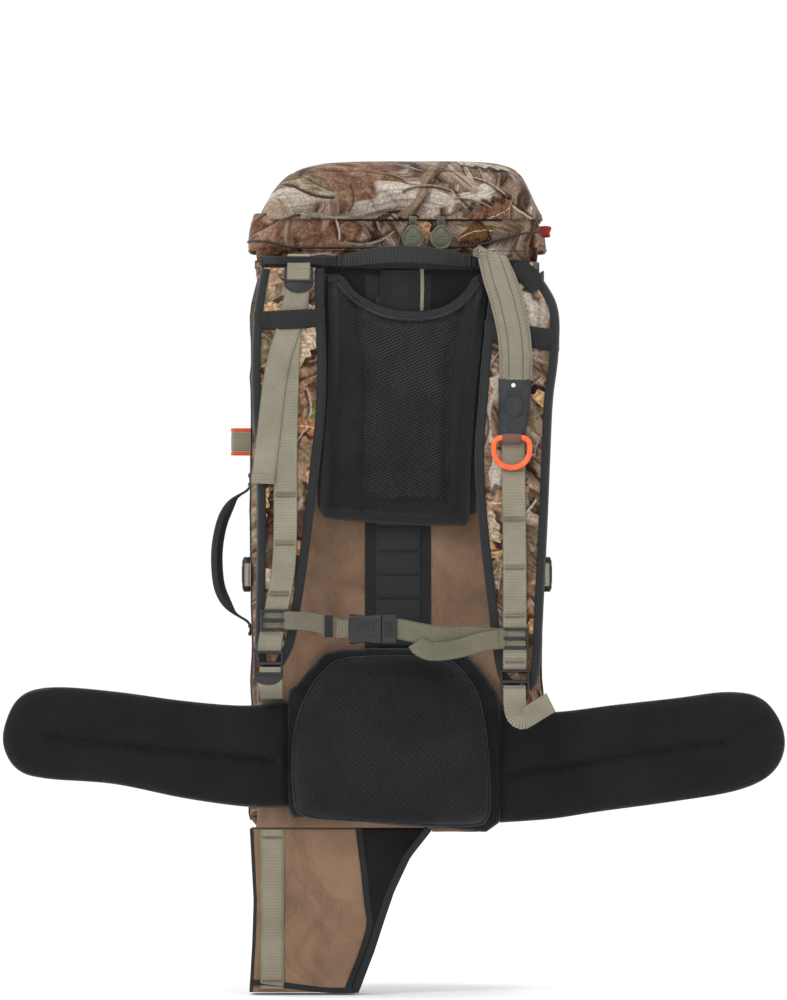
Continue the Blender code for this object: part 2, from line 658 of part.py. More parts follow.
def strap_frame(x, z, lift):
    """Axes on a strap's front face: X up along it, Y across, and Z out of it to a height of lift."""
    slope = (strap_front(z + 0.004) - strap_front(z - 0.004)) / 0.008
    along = Vector((0, slope, 1)).normalized()
    out = along.cross(Vector((1, 0, 0)))
    return frame_at(Vector((x, strap_front(z), z)) - out * lift, along, (1, 0, 0))


def on_strap(line, lift, per=3):
    """A route over a strap's front face through (x, z) points, lifted off it by lift."""
    return [Vector((p.x, strap_front(p.y) - lift, p.y)) for p in spline([(x, z, 0) for x, z in line], per)]


def build_shoulder_straps():
    top_y = STAND_OFF_TOP - STRAP_T / 2
    pivot("straps", (0.0, top_y, -0.017), "torso")
    add("shoulder_strap_left", strap_bmesh(STRAP_LEFT), camo(), "straps")
    add("shoulder_strap_right", strap_bmesh(STRAP_RIGHT), camo(), "straps")

    lift = WEB_T / 2 + GAP
    left = [
        (-0.103, -0.050), (-0.108, -0.090), (-0.109, -0.230), (-0.116, -0.320), (-0.127, -0.380), (-0.1335, -0.413),
        (-0.1345, -0.4215),
    ]
    add("strap_webbing_left", ribbon(on_strap(left, lift), (1, 0, 0), WEB, WEB_T), olive_web(), "straps")
    right = [(0.118, -0.070), (0.122, -0.150), (0.123, -0.240), (0.124, -0.330), (0.124, -0.410), (0.124, -0.443)]
    add("strap_webbing_right", ribbon(on_strap(right, lift), (1, 0, 0), WEB, WEB_T), olive_web(), "straps")

    lifter_z = -0.0275
    matrix = strap_frame(-0.1040, lifter_z, 0.0045)
    slotted_frame("lifter_lock_left", matrix, 0.031, 0.017, plastic(), 0.010, "straps")

    for name, x, z in (("strap_lock_left", -0.1355, -0.437), ("strap_lock_right", 0.124, -0.4565)):
        slotted_frame(name, strap_frame(x, z, 0.0035), 0.031, 0.026, plastic(), 0.009, "straps")

    # quick-release pull: padded webbing that comes over the strap's top, a rubber tab and an orange ring
    pull = [
        Vector((0.106, -0.0255, -0.0050)), Vector((0.108, -0.0330, -0.0075)),
        Vector((0.111, strap_front(-0.030) - 0.0065, -0.026)),
    ] + on_strap([(0.117, -0.050), (0.124, -0.085), (0.1255, -0.115), (0.1255, -0.137)], 0.0058, 1)
    add("pull_strap", ribbon(spline(pull, 2), (1, 0, 0), 0.037, 0.0045), olive_web(), "straps")
    tab = on_strap([(0.1245, -0.1385), (0.1240, -0.160), (0.1225, -0.180), (0.1215, -0.1965)], 0.0058, 2)
    widths = [0.034 - 0.006 * (k / (len(tab) - 1)) ** 2 for k in range(len(tab))]
    add("pull_tab", ribbon(tab, (1, 0, 0), widths, 0.0048), rubber(), "straps")
    build_ring()


def build_ring():
    """The D-shaped pull ring: a straight bar under the tab, and a round bow below it."""
    bar_z, x, half = -0.2010, 0.1210, 0.0190
    matrix = strap_frame(x, bar_z, 0.0085)
    pivot("ring", matrix.translation, "straps")
    bow = arc((0, -0.013), half, 180, 360, 12)
    top = arc((half - 0.008, -0.008), 0.008, 0, 90, 3) + arc((-half + 0.008, -0.008), 0.008, 90, 180, 3)
    # the ring is drawn upright, then laid along the strap
    lean = matrix.to_3x3() @ Matrix(((0, 0, 1), (1, 0, 0), (0, 1, 0)))
    turn = Matrix.Translation(matrix.translation) @ lean.to_4x4()
    add("pull_ring", moved(loop_tube([(a, 0, b) for a, b in bow + top], 0.0030), turn), orange(), "ring")


# ---- sternum strap ------------------------------------------------------------------------------------------
def build_sternum():
    left_x, left_z, right_x, right_z = -0.1290, -0.392, 0.1240, -0.411
    web_y = strap_front(left_z) - 0.0085
    pivot("sternum", (0.0, web_y, left_z), "straps")
    for name, x, z in (("sternum_slider_left", left_x, left_z), ("sternum_slider_right", right_x, right_z)):
        slotted_frame(name, strap_frame(x, z, WEB_T + 0.0034), 0.030, 0.023, plastic(), 0.0, "sternum", 0.0045)
    socket_x, socket_z = -0.0170, -0.401
    matrix = frame_at((socket_x, web_y - 0.001, socket_z), (1, 0, 0), (0, 1, 0))
    matrix = matrix @ Matrix.Rotation(math.radians(90), 4, "X")
    socket = buckle_socket("sternum_socket", matrix, 0.020, plastic(), "sternum")
    left = [
        (left_x + 0.0155, web_y, left_z), (-0.090, web_y, left_z - 0.002), (-0.068, web_y - 0.0005, socket_z + 0.002),
        (-0.0475, web_y - 0.001, socket_z),
    ]
    combine(socket, ribbon(spline(left, 3), (0, 0, 1), 0.018, WEB_T), "UNION", "sternum")
    pivot("sternum_clip", (socket_x, web_y - 0.001, socket_z), "sternum")
    add("sternum_clip", moved(buckle_clip_bmesh(0.020), matrix), plastic(), "sternum_clip")
    clip_end = socket_x + 0.0190
    right = [
        (clip_end, web_y - 0.001, socket_z), (0.0035, web_y - 0.002, socket_z - 0.0002), (0.020, web_y - 0.006, -0.405), (0.045, web_y - 0.008, -0.409),
        (0.075, web_y - 0.004, -0.408), (right_x - 0.0155, web_y, right_z),
    ]
    add("sternum_web_right", ribbon(spline(right, 3), (0, 0, 1), 0.022, WEB_T), olive_web(), "sternum")


def build_anchor_webs():
    """Webbing from the adjusters to the pack: below each shoulder strap, and above the left one."""
    low = SLEEVE_FRONT - 0.0013
    for name, x, lock_z, over in (
        ("lower_web_left", -0.1330, -0.4590, -0.4740), ("lower_web_right", 0.1240, -0.4785, -0.4810)
    ):
        start = strap_front(lock_z) - 0.002
        path = [
            (x, start, lock_z - 0.002), (x, start + 0.020, (lock_z + over) / 2 - 0.0015), (x, -0.045, over),
            (x, -0.0225, over - 0.0005), (x, low, over - 0.007), (x, low, over - 0.020), (x, low, -0.560),
        ]
        add(name, ribbon(spline(path, 2), (1, 0, 0), 0.024, WEB_T), olive_web())
    for name, side_x, front_x in (("lifter_web_left", -0.104, -0.104), ("lifter_web_right", 0.103, 0.1055)):
        web = [(side_x, 0.040, -0.0055), (side_x, 0.012, -0.0048), (front_x, -0.010, -0.0045), (front_x, -0.0215, -0.0048)]
        if side_x < 0:
            web += [(front_x, -0.030, -0.0075), (front_x, -0.0385, -0.0135)]
        add(name, ribbon(spline(web, 2), (1, 0, 0), WEB, WEB_T), olive_web())


# ---- hip belt -----------------------------------------------------------------------------------------------
WING_LEFT = [
    (-0.115, -0.480), (-0.161, -0.485), (-0.226, -0.480), (-0.300, -0.470), (-0.365, -0.4655), (-0.398, -0.475), (-0.4135, -0.503),
    (-0.4145, -0.528), (-0.400, -0.550), (-0.370, -0.5585), (-0.300, -0.5640), (-0.226, -0.5790), (-0.161, -0.5880), (-0.115, -0.5890),
]
WING_RIGHT = [
    (0.109, -0.487), (0.163, -0.492), (0.233, -0.484), (0.296, -0.477), (0.350, -0.4705), (0.385, -0.4770), (0.4050, -0.502),
    (0.4085, -0.530), (0.394, -0.555), (0.358, -0.5715), (0.290, -0.5830), (0.2125, -0.5935), (0.163, -0.6010), (0.109, -0.6050),
]
CORE = [
    (-0.1140, -0.590), (-0.1140, -0.480), (-0.104, -0.462), (-0.085, -0.440), (-0.060, -0.426), (0.055, -0.426),
    (0.082, -0.441), (0.098, -0.463), (0.1080, -0.488), (0.1080, -0.6045), (0.050, -0.6100), (-0.030, -0.6050), (-0.090, -0.598),
]
LUMBAR = [
    (-0.1085, -0.590), (-0.1095, -0.541), (-0.1045, -0.498), (-0.0900, -0.464), (-0.070, -0.441), (-0.048, -0.4335),
    (0.000, -0.4320), (0.045, -0.4345), (0.069, -0.4470), (0.0855, -0.476), (0.0935, -0.519), (0.0970, -0.585), (0.0920, -0.606),
    (0.046, -0.6090), (-0.029, -0.6040), (-0.092, -0.600),
]


def wing_outline(points):
    """Round everywhere but at the two corners next to the hinge."""
    line = spline([(x, z, 0) for x, z in points], 2)
    return [(p.x, p.y) for p in line]


def build_belt():
    add("belt_core", prism(CORE, "Y", CORE_FRONT, CORE_BACK, 0.002), mesh_cloth())
    add("lumbar_pad", cushion(LUMBAR, "Y", LUMBAR_BACK, LUMBAR_FRONT, 0.016, 4), mesh_cloth())
    half = WING_T / 2
    for name, points, hinge in (("left", WING_LEFT, HINGE_LEFT), ("right", WING_RIGHT, HINGE_RIGHT)):
        middle_z = (points[0][1] + points[-1][1]) / 2
        pivot("wing_" + name, (hinge, WING_MID, middle_z))
        outline = wing_outline(points)
        wing = cushion(outline, "Y", WING_MID + half, WING_MID - half, half - 0.0005, 3, both=True)
        add("belt_wing_" + name, wing, mesh_cloth(), "wing_" + name)

    # webbing and buckle halves, folded away behind the wings' tips
    y = WING_MID + half + 0.0055
    for name, side, tip, z in (("left", -1, -0.395, -0.516), ("right", 1, 0.389, -0.521)):
        pivot("belt_strap_" + name, (tip, y, z), "wing_" + name)
        strap = [(tip - side * 0.001, y, z), (tip - side * 0.06, y, z), (tip - side * 0.130, y, z)]
        on = "belt_strap_" + name
        if side < 0:
            # the socket's mouth faces the pack while it is folded away
            matrix = frame_at((tip + 0.155, y, z), (1, 0, 0), (0, 0, 1))
            made = buckle_socket(on, matrix, 0.038, plastic(), on)
        else:
            matrix = frame_at((tip - 0.138, y, z), (1, 0, 0), (0, 0, 1))
            made = add(on, moved(buckle_clip_bmesh(0.038), matrix), plastic(), on)
        combine(made, ribbon(strap, (0, 0, 1), 0.038, 0.0018), "UNION", on)


def main():
    for obj in list(bpy.data.objects):
        bpy.data.objects.remove(obj)
    build_bag()
    build_cord_lock()
    build_front()
    build_sides()
    build_lid()
    build_sleeve()
    build_boot()
    build_back_pad()
    build_shoulder_straps()
    build_sternum()
    build_anchor_webs()
    build_belt()


main()
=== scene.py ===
"""Looks of a hunting backpack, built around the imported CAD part. Metres; +Z is up, -Y is the harness side."""
import json
import math

import bmesh
import bpy
import numpy as np
from mathutils import Matrix, Vector, noise
from mathutils.bvhtree import BVHTree

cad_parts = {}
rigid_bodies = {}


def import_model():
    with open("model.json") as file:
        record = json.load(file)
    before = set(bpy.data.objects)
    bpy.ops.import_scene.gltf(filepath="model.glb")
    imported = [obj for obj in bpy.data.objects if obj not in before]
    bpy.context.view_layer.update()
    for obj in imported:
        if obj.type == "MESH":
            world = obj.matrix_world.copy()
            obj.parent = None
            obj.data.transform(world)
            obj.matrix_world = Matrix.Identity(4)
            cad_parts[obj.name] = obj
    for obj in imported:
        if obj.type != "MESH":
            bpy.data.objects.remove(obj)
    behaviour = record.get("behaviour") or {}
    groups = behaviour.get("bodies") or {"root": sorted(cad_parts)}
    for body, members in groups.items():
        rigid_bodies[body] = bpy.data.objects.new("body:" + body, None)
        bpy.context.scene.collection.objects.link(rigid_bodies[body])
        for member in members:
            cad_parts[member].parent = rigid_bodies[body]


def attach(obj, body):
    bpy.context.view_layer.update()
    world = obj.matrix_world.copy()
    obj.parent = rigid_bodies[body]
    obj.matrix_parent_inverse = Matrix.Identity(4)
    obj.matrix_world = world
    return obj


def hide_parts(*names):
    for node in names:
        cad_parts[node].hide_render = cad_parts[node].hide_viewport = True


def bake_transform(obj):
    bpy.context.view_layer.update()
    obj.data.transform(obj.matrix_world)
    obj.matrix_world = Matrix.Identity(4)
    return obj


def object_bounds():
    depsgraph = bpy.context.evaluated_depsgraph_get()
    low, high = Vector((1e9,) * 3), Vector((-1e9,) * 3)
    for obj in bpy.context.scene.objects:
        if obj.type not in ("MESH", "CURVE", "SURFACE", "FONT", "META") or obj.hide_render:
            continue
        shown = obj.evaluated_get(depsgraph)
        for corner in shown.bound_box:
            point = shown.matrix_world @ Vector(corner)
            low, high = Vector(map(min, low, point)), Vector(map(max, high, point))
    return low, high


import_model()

CAD_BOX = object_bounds()
CAD_BOX = [list(corner) for corner in CAD_BOX]

WEB, WEB_T, GAP = 0.025, 0.0016, 0.0004
SLEEVE_FRONT = -0.0155


def rgb(r, g, b):
    """A colour given as 0 to 255 in sRGB, as linear values."""
    return tuple((c / 255 / 12.92) if c / 255 <= 0.04045 else ((c / 255 + 0.055) / 1.055) ** 2.4 for c in (r, g, b))


# ---- a short way to write material nodes --------------------------------------------------------------------
class Val:
    """An output socket that can be added, multiplied and so on."""

    def __init__(self, net, socket):
        self.net, self.socket = net, socket

    def __add__(self, other): return self.net.calc("ADD", self, other)
    def __radd__(self, other): return self.net.calc("ADD", other, self)
    def __sub__(self, other): return self.net.calc("SUBTRACT", self, other)
    def __rsub__(self, other): return self.net.calc("SUBTRACT", other, self)
    def __mul__(self, other): return self.net.calc("MULTIPLY", self, other)
    def __rmul__(self, other): return self.net.calc("MULTIPLY", other, self)
    def __truediv__(self, other): return self.net.calc("DIVIDE", self, other)


class Net:
    def __init__(self, name, rough=0.8, metallic=0.0, sheen=0.0, specular=0.5, tint=None):
        self.mat = bpy.data.materials.new(name)
        self.mat.use_nodes = True
        self.tree = self.mat.node_tree
        self.shader = self.tree.nodes["Principled BSDF"]
        self.shader.inputs["Roughness"].default_value = rough
        self.shader.inputs["Metallic"].default_value = metallic
        self.shader.inputs["Specular IOR Level"].default_value = specular
        self.shader.inputs["Sheen Weight"].default_value = sheen
        self.shader.inputs["Sheen Roughness"].default_value = 0.4
        if tint:
            self.shader.inputs["Sheen Tint"].default_value = (*tint, 1)
        coords = self.tree.nodes.new("ShaderNodeTexCoord")
        self.obj = Val(self, coords.outputs["Object"])
        self.uv = Val(self, coords.outputs["UV"])

    def put(self, socket, value):
        if isinstance(value, Val):
            self.tree.links.new(value.socket, socket)
        elif isinstance(value, (tuple, list)):
            size = len(socket.default_value)
            socket.default_value = tuple(value)[:size] + (1.0,) * (size
                - len(value)) if size > len(value) else tuple(value)[:size]
        else:
            socket.default_value = value

    def node(self, kind, out, inputs, **props):
        made = self.tree.nodes.new(kind)
        for key, value in props.items():
            setattr(made, key, value)
        for key, value in inputs.items():
            self.put(made.inputs[key], value)
        return Val(self, made.outputs[out])

    def calc(self, op, *args):
        return self.node("ShaderNodeMath", 0, dict(enumerate(args)), operation=op)

    def split(self, vec):
        made = self.tree.nodes.new("ShaderNodeSeparateXYZ")
        self.put(made.inputs[0], vec)
        return [Val(self, made.outputs[i]) for i in range(3)]

    def join(self, x, y, z=0.0):
        return self.node("ShaderNodeCombineXYZ", 0, {0: x, 1: y, 2: z})

    def noise(self, vec, scale, detail=3.0, rough=0.5, distortion=0.0, out=0, dims="3D"):
        return self.node("ShaderNodeTexNoise", out, {"Vector": vec, "Scale": scale, "Detail": detail,
            "Roughness": rough, "Distortion": distortion}, noise_dimensions=dims)

    def cells(self, vec, scale, feature="F1", random_=1.0, out="Distance"):
        return self.node("ShaderNodeTexVoronoi", out, {"Vector": vec, "Scale": scale, "Randomness": random_},
            feature=feature, voronoi_dimensions="2D")

    def ramp(self, value, low, high, to_low=0.0, to_high=1.0, smooth=True):
        return self.node("ShaderNodeMapRange", 0, {"Value": value, "From Min": low, "From Max": high,
            "To Min": to_low, "To Max": to_high}, interpolation_type="SMOOTHSTEP" if smooth else "LINEAR")

    def mix(self, share, a, b, blend="MIX"):
        made = self.tree.nodes.new("ShaderNodeMix")
        made.data_type, made.blend_type = "RGBA", blend
        for index, value in ((0, share), (6, a), (7, b)):
            self.put(made.inputs[index], value)
        return Val(self, made.outputs[2])

    def colours(self, value, stops):
        made = self.tree.nodes.new("ShaderNodeValToRGB")
        ramp = made.color_ramp
        while len(ramp.elements) < len(stops):
            ramp.elements.new(1.0)
        for element, (place, colour) in zip(ramp.elements, stops):
            element.position, element.color = place, (*colour, 1)
        self.put(made.inputs[0], value)
        return Val(self, made.outputs[0])

    def bump(self, height, distance, strength=1.0):
        return self.node("ShaderNodeBump", 0, {"Height": height, "Distance": distance, "Strength": strength})

    def finish(self, colour=None, rough=None, normal=None):
        if colour is not None:
            self.put(self.shader.inputs["Base Color"], colour)
        if rough is not None:
            self.put(self.shader.inputs["Roughness"], rough)
        if normal is not None:
            self.put(self.shader.inputs["Normal"], normal)
        return self.mat

    def cloth_plane(self):
        """Two coordinates on any side of the object, so that a print or weave has no seams that depend on UVs."""
        x, y, z = self.split(self.obj)
        return x + y * 0.62, z + y * 0.6


def camo_material(name, shift, dim=0.0, turn=0.0):
    """Woodland print: bark, limbs, twigs and dry leaves over a plain weave.
    shift and turn move the print from piece to piece, dim lightens it."""
    net = Net(name, rough=0.86, sheen=0.12, specular=0.3)
    u0, v0 = net.cloth_plane()
    c, s = math.cos(turn), math.sin(turn)
    u, v = (u0 * c - v0 * s) * 0.82 + shift[0], (u0 * s + v0 * c) * 0.82 + shift[1]
    plane = net.join(u, v)
    # bark: noise drawn out along a slanted grain, with dark furrows
    warp = net.noise(plane, 9.0, 2, dims="2D")
    grain = net.join((u + v * 0.35) * 3.4 + warp * 0.35, (v - u * 0.35) * 0.7)
    bark = net.noise(grain, 24.0, 7, 0.68, 0.5, dims="2D")
    colour = net.colours(bark, [(0.28, rgb(50, 39, 35)), (0.42, rgb(98, 79, 68)), (0.52, rgb(140, 119, 104)),
        (0.63, rgb(183, 166, 149)), (0.75, rgb(214, 203, 190))])
    patch = net.noise(plane, 11.0, 4, 0.55, 0.6, dims="2D")
    ground = net.noise(net.join(u * 1.0, v * 1.3, 3.0), 62.0, 6, 0.65, 1.2)
    olive = net.colours(ground, [(0.3, rgb(66, 58, 44)), (0.5, rgb(126, 113, 88)), (0.66, rgb(168, 155, 126)),
        (0.8, rgb(196, 186, 160))])
    colour = net.mix(net.ramp(patch, 0.5, 0.56), colour, olive)
    warm = net.colours(ground, [(0.3, rgb(72, 50, 42)), (0.5, rgb(128, 96, 78)), (0.68, rgb(178, 144, 116)),
        (0.82, rgb(210, 186, 156))])
    colour = net.mix(net.ramp(net.noise(net.join(u + 4.0, v), 9.0, 3, 0.5, 0.4, dims="2D"), 0.54, 0.6), colour, warm)
    dark = net.noise(net.join(u, v + 7.0), 13.0, 5, 0.6, 0.8, dims="2D")
    colour = net.mix(net.ramp(dark, 0.575, 0.64, 0.0, 0.72), colour, rgb(52, 40, 40))
    # leaning limbs with a round, lit upper side and a ragged shadow below
    for angle, pitch, wide, tone_low, tone_high, seed in (
        (0.62, 0.15, 0.115, rgb(104, 88, 78), rgb(205, 192, 178), 1.0),
        (-0.95, 0.19, 0.085, rgb(84, 68, 58), rgb(178, 156, 136), 5.0),
        (1.25, 0.105, 0.05, rgb(70, 54, 48), rgb(160, 136, 116), 9.0),
    ):
        across = u * -math.sin(angle) + v * math.cos(angle)
        along = u * math.cos(angle) + v * math.sin(angle)
        bend = net.noise(net.join(along + seed, across * 0.4), 7.0, 2, 0.5, dims="2D") - 0.5
        band = net.calc("FRACT", across / pitch + bend * 0.9 + seed * 0.37) - 0.5
        rough_edge = (net.noise(plane, 85.0, 4, 0.6, dims="2D") - 0.5) * 0.05
        inside = net.ramp(net.calc("ABSOLUTE", band) + rough_edge, wide, wide * 0.9)
        there = net.ramp(net.noise(net.join(along * 1.0 + seed * 3, across * 2.0), 8.0, 2, dims="2D"), 0.47, 0.51)
        bark_lines = net.noise(net.join(along * 0.5, across * 4.0 + bend * 0.2), 70.0, 4, 0.7, 0.3, dims="2D")
        lit = net.ramp(band, -wide, wide * 0.7) * 0.55 + net.ramp(bark_lines, 0.3, 0.7) * 0.55
        limb = net.mix(lit, tone_low, tone_high)
        shadow = net.ramp(net.calc("ABSOLUTE", band + wide * 0.7) + rough_edge * 1.5, wide * 1.35,
            wide * 0.7) * there * 0.7
        colour = net.mix(shadow, colour, rgb(38, 29, 27))
        colour = net.mix(inside * there, colour, limb)
    # scattered shapes: twigs and leaves, each turned by its own random angle
    for scale, length, width, kind, share, seed in (
        (30.0, 0.026, 0.0016, "twig", 0.6, 2.0), (19.0, 0.028, 0.0125, "leaf", 0.34, 4.0),
        (27.0, 0.02, 0.0085, "leaf", 0.3, 6.0), (36.0, 0.02, 0.0011, "twig", 0.6, 8.0),
    ):
        moved = net.join(u + seed, v - seed)
        spot = net.split(net.cells(moved, scale, random_=0.85, out="Position"))
        pick = net.tree.nodes.new("ShaderNodeSeparateColor")
        net.put(pick.inputs[0], net.cells(moved, scale, random_=0.85, out="Color"))
        r, g, b = (Val(net, pick.outputs[i]) for i in range(3))
        du, dv = u + seed - spot[0], v - seed - spot[1]
        angle = r * 6.2832
        co, si = net.calc("COSINE", angle), net.calc("SINE", angle)
        lx, ly = du * co + dv * si, dv * co - du * si
        ly = ly + lx * lx * 12.0 + (net.noise(moved, 150.0, 2, dims="2D") - 0.5) * (0.003
            if kind == "leaf" else 0.0012)
        span = lx / length
        taper = 1.0 - span * span
        if kind == "leaf":
            lobes = net.calc("SINE", lx * 620.0) * 0.18 + 0.85
            edge = taper * lobes * width
        else:
            edge = net.ramp(taper, 0.0, 0.3) * width
        away = net.calc("ABSOLUTE", ly)
        mask = net.ramp(edge - away, 0.0, 0.0007) * net.ramp(b, 1 - share, 1 - share + 0.01)
        drop = net.calc("ABSOLUTE", ly + width * 0.45 + 0.001)
        shadow = net.ramp(edge - drop, -0.001, 0.0022, 0.0, 0.75) * net.ramp(b, 1 - share, 1 - share + 0.01)
        colour = net.mix(shadow, colour, rgb(44, 31, 27))
        if kind == "leaf":
            veins = net.calc("ABSOLUTE", net.calc("FRACT", (lx + away * 0.8) * 190.0) - 0.5)
            tone = net.colours(g, [(0.0, rgb(196, 138, 84)), (0.2, rgb(214, 170, 116)),
                (0.38, rgb(156, 98, 62)), (0.55, rgb(205, 184, 154)), (0.72, rgb(122, 72, 52)),
                (0.86, rgb(104, 112, 62)), (1.0, rgb(222, 208, 186))])
            body = net.mix(net.ramp(veins, 0.16, 0.0, 0.0, 0.55), tone, rgb(70, 44, 32))
            body = net.mix(net.ramp(away, 0.0007, 0.0, 0.0, 0.8), body, rgb(232, 214, 182))
            body = net.mix(net.ramp(net.noise(plane, 220.0, 3, dims="2D"), 0.42, 0.68, 0.0, 0.5), body,
                rgb(92, 62, 46))
        else:
            tone = net.colours(g, [(0.0, rgb(206, 194, 178)), (0.4, rgb(160, 138, 118)),
                (0.7, rgb(84, 62, 50)), (1.0, rgb(226, 216, 200))])
            body = net.mix(net.ramp(ly / width, -0.8, 0.9), rgb(74, 58, 50), tone)
        colour = net.mix(mask, colour, body)
    # fine furrows over everything, the dye's unevenness, and painted shade in the weave's hollows
    crack = net.cells(net.join((u + v * 0.3) * 2.2 + warp * 0.03, v * 0.8 - u * 0.2), 95.0, "DISTANCE_TO_EDGE")
    colour = net.mix(net.ramp(crack, 0.06, 0.0, 0.0, 0.42), colour, rgb(48, 36, 32))
    speck = net.noise(plane, 420.0, 3, 0.6, dims="2D")
    colour = net.mix(net.ramp(speck, 0.35, 0.65, 0.0, 0.3), colour, rgb(88, 72, 62))
    weave = net.calc("SINE", u0 * 5200.0) * net.calc("SINE", v0 * 5200.0)
    worn = net.noise(net.obj, 30.0, 3)
    # painted shade in the weave's hollows
    colour = net.mix(net.ramp(weave, -0.6, 0.9, 0.16, 0.0), colour, rgb(38, 30, 26))
    tone = net.tree.nodes.new("ShaderNodeHueSaturation")
    tone.inputs["Saturation"].default_value, tone.inputs["Value"].default_value = 0.88, 1.1 + dim
    net.put(tone.inputs["Color"], colour)
    deep = net.tree.nodes.new("ShaderNodeBrightContrast")
    deep.inputs["Contrast"].default_value = 0.09
    net.put(deep.inputs["Color"], Val(net, tone.outputs[0]))
    colour = Val(net, deep.outputs[0])
    return net.finish(colour, net.ramp(worn, 0.3, 0.7, 0.78, 0.92),
        net.bump(weave + speck * 0.8 + crack * 0.6, 0.0003, 0.5))


def plain_cloth(name, dark, mid, light, pitch=0.0011, streak=True):
    """A woven single-colour cloth with slubs, faint streaks, paler worn spots, painted shade along its creases and
    painted shade in the weave's hollows.
    """
    net = Net(name, rough=0.85, sheen=0.15, specular=0.3)
    u, v = net.cloth_plane()
    k = 2 * math.pi / pitch
    warp, weft = net.calc("SINE", u * k), net.calc("SINE", v * k)
    check = net.calc("SINE", (u + v) * (k * 0.5)) * 0.4 + warp * weft
    blotch = net.noise(net.obj, 14.0, 4, 0.6, 0.3)
    slub = net.noise(net.join(u * 14.0, v * 1.2), 55.0, 3, dims="2D") if streak else net.noise(net.obj, 240.0, 3)
    fine = net.noise(net.join(u * 1.0, v * 9.0), 160.0, 2, dims="2D")
    lie = net.join(u * 1.0 + v * 0.8, v * 0.45 - u * 0.5)
    # crease: a fold's bump, and painted shade along its line through the tone below
    crease = net.calc("ABSOLUTE", net.noise(lie, 13.0, 3, 0.5, 0.8, dims="2D") - 0.5) * 2.2
    tone = 0.17 + blotch * 0.3 + slub * (0.08 if streak else 0.28) + fine * 0.12 + crease * 0.17
    colour = net.colours(tone, [(0.32, dark), (0.46, mid), (0.64, light)])
    # painted shade in the weave's hollows, darker where the weave's bump is low
    colour = net.mix(net.ramp(check, -0.9, 0.9, 0.26, 0.0), colour, tuple(c * 0.35 for c in dark))
    return net.finish(colour, net.ramp(blotch, 0.3, 0.7, 0.76, 0.92),
        net.bump(check + slub * 0.4 + crease * 14.0, 0.00035, 0.7))


def mesh_material(name, pitch=(0.0054, 0.0066), dark_layer_and_hole_shade=rgb(4, 4, 5), yarn=rgb(54, 54, 56), deep=0.0009, backing=None):
    """Open spacer mesh: yarn round staggered holes, with the dark layer seen through them, near black as painted
    shade of the holes' depth.
    """
    net = Net(name, rough=0.9, sheen=0.06, specular=0.2, tint=(0.8, 0.85, 0.95))
    u, _, v = net.split(net.obj)
    u, v = u + v * 0.45, v - u * 0.45
    wobble = net.noise(net.obj, 60.0, 2) * 0.35
    a, b = u * (math.pi * 2 / pitch[0]) + wobble, v * (math.pi * 2 / pitch[1]) + wobble
    open_ = net.calc("COSINE", a) * net.calc("COSINE", b)
    hole_mask = net.ramp(net.calc("ABSOLUTE", open_), 0.36, 0.6)
    yarns = net.calc("SINE", u * (math.pi * 2 / pitch[0] * 4.0) + v * 2100.0)
    blotch = net.noise(net.obj, 16.0, 4, 0.6)
    fuzz = net.noise(net.obj, 520.0, 3, 0.6)
    tone = net.mix(net.ramp(blotch * 0.5 + fuzz * 0.5, 0.35, 0.66), tuple(c * 0.55 for c in yarn),
        tuple(c * 1.35 for c in yarn))
    # painted shade between the yarns, where their bump is low
    tone = net.mix(net.ramp(yarns, -0.5, 1.0, 0.12, 0.0), tone, dark_layer_and_hole_shade)
    # the holes: the dark layer under the mesh, made near black as painted shade of their depth
    colour = net.mix(hole_mask, tone, backing or dark_layer_and_hole_shade)
    height = (1.0 - hole_mask) + yarns * 0.12 + fuzz * 0.2
    return net.finish(colour, net.ramp(fuzz, 0.3, 0.7, 0.8, 0.95), net.bump(height, deep, 1.0))


def web_material(name, dark, light, width=0.025, rib=0.0016, wales=None, edge=0.0011, lines=()):
    """Woven webbing. UV is in metres: across the strap, then along it."""
    net = Net(name, rough=0.72, sheen=0.1, specular=0.4)
    u, v, _ = net.split(net.uv)
    k = 2 * math.pi / rib
    wales = wales or 0.0021
    column = net.calc("FRACT", u / wales + 0.5)
    chevron = net.calc("ABSOLUTE", column - 0.5) * 2.0
    twill = net.calc("SINE", v * k + chevron * 3.1)
    seam = net.ramp(net.calc("ABSOLUTE", column - 0.5), 0.4, 0.5)
    away = width / 2 - net.calc("ABSOLUTE", u)
    selvedge = net.ramp(away, edge, edge * 0.55)
    dye = net.noise(net.obj, 22.0, 4, 0.6)
    fuzz = net.noise(net.obj, 900.0, 2)
    tone = dye * 0.55 + fuzz * 0.25 + net.ramp(twill, -1, 1, 0.0, 0.25)
    colour = net.colours(tone, [(0.3, dark), (0.55, tuple((a + b) / 2 for a, b in zip(dark, light))), (0.8, light)])
    shade = tuple(c * 0.38 for c in dark)
    colour = net.mix(seam * 0.35, colour, shade)
    colour = net.mix(net.ramp(twill, -0.2, -1.0, 0.0, 0.55), colour, shade)
    for place, wide in lines:
        near = net.calc("ABSOLUTE", u - place)
        colour = net.mix(net.ramp(near, wide, wide * 0.5, 0.0, 0.5), colour, shade)
    colour = net.mix(selvedge * 0.4, colour, shade)
    height = twill * 0.5 + seam * -0.5 + selvedge * 0.8 + fuzz * 0.3
    return net.finish(colour, net.ramp(dye, 0.3, 0.7, 0.62, 0.8), net.bump(height, 0.0004, 0.8))


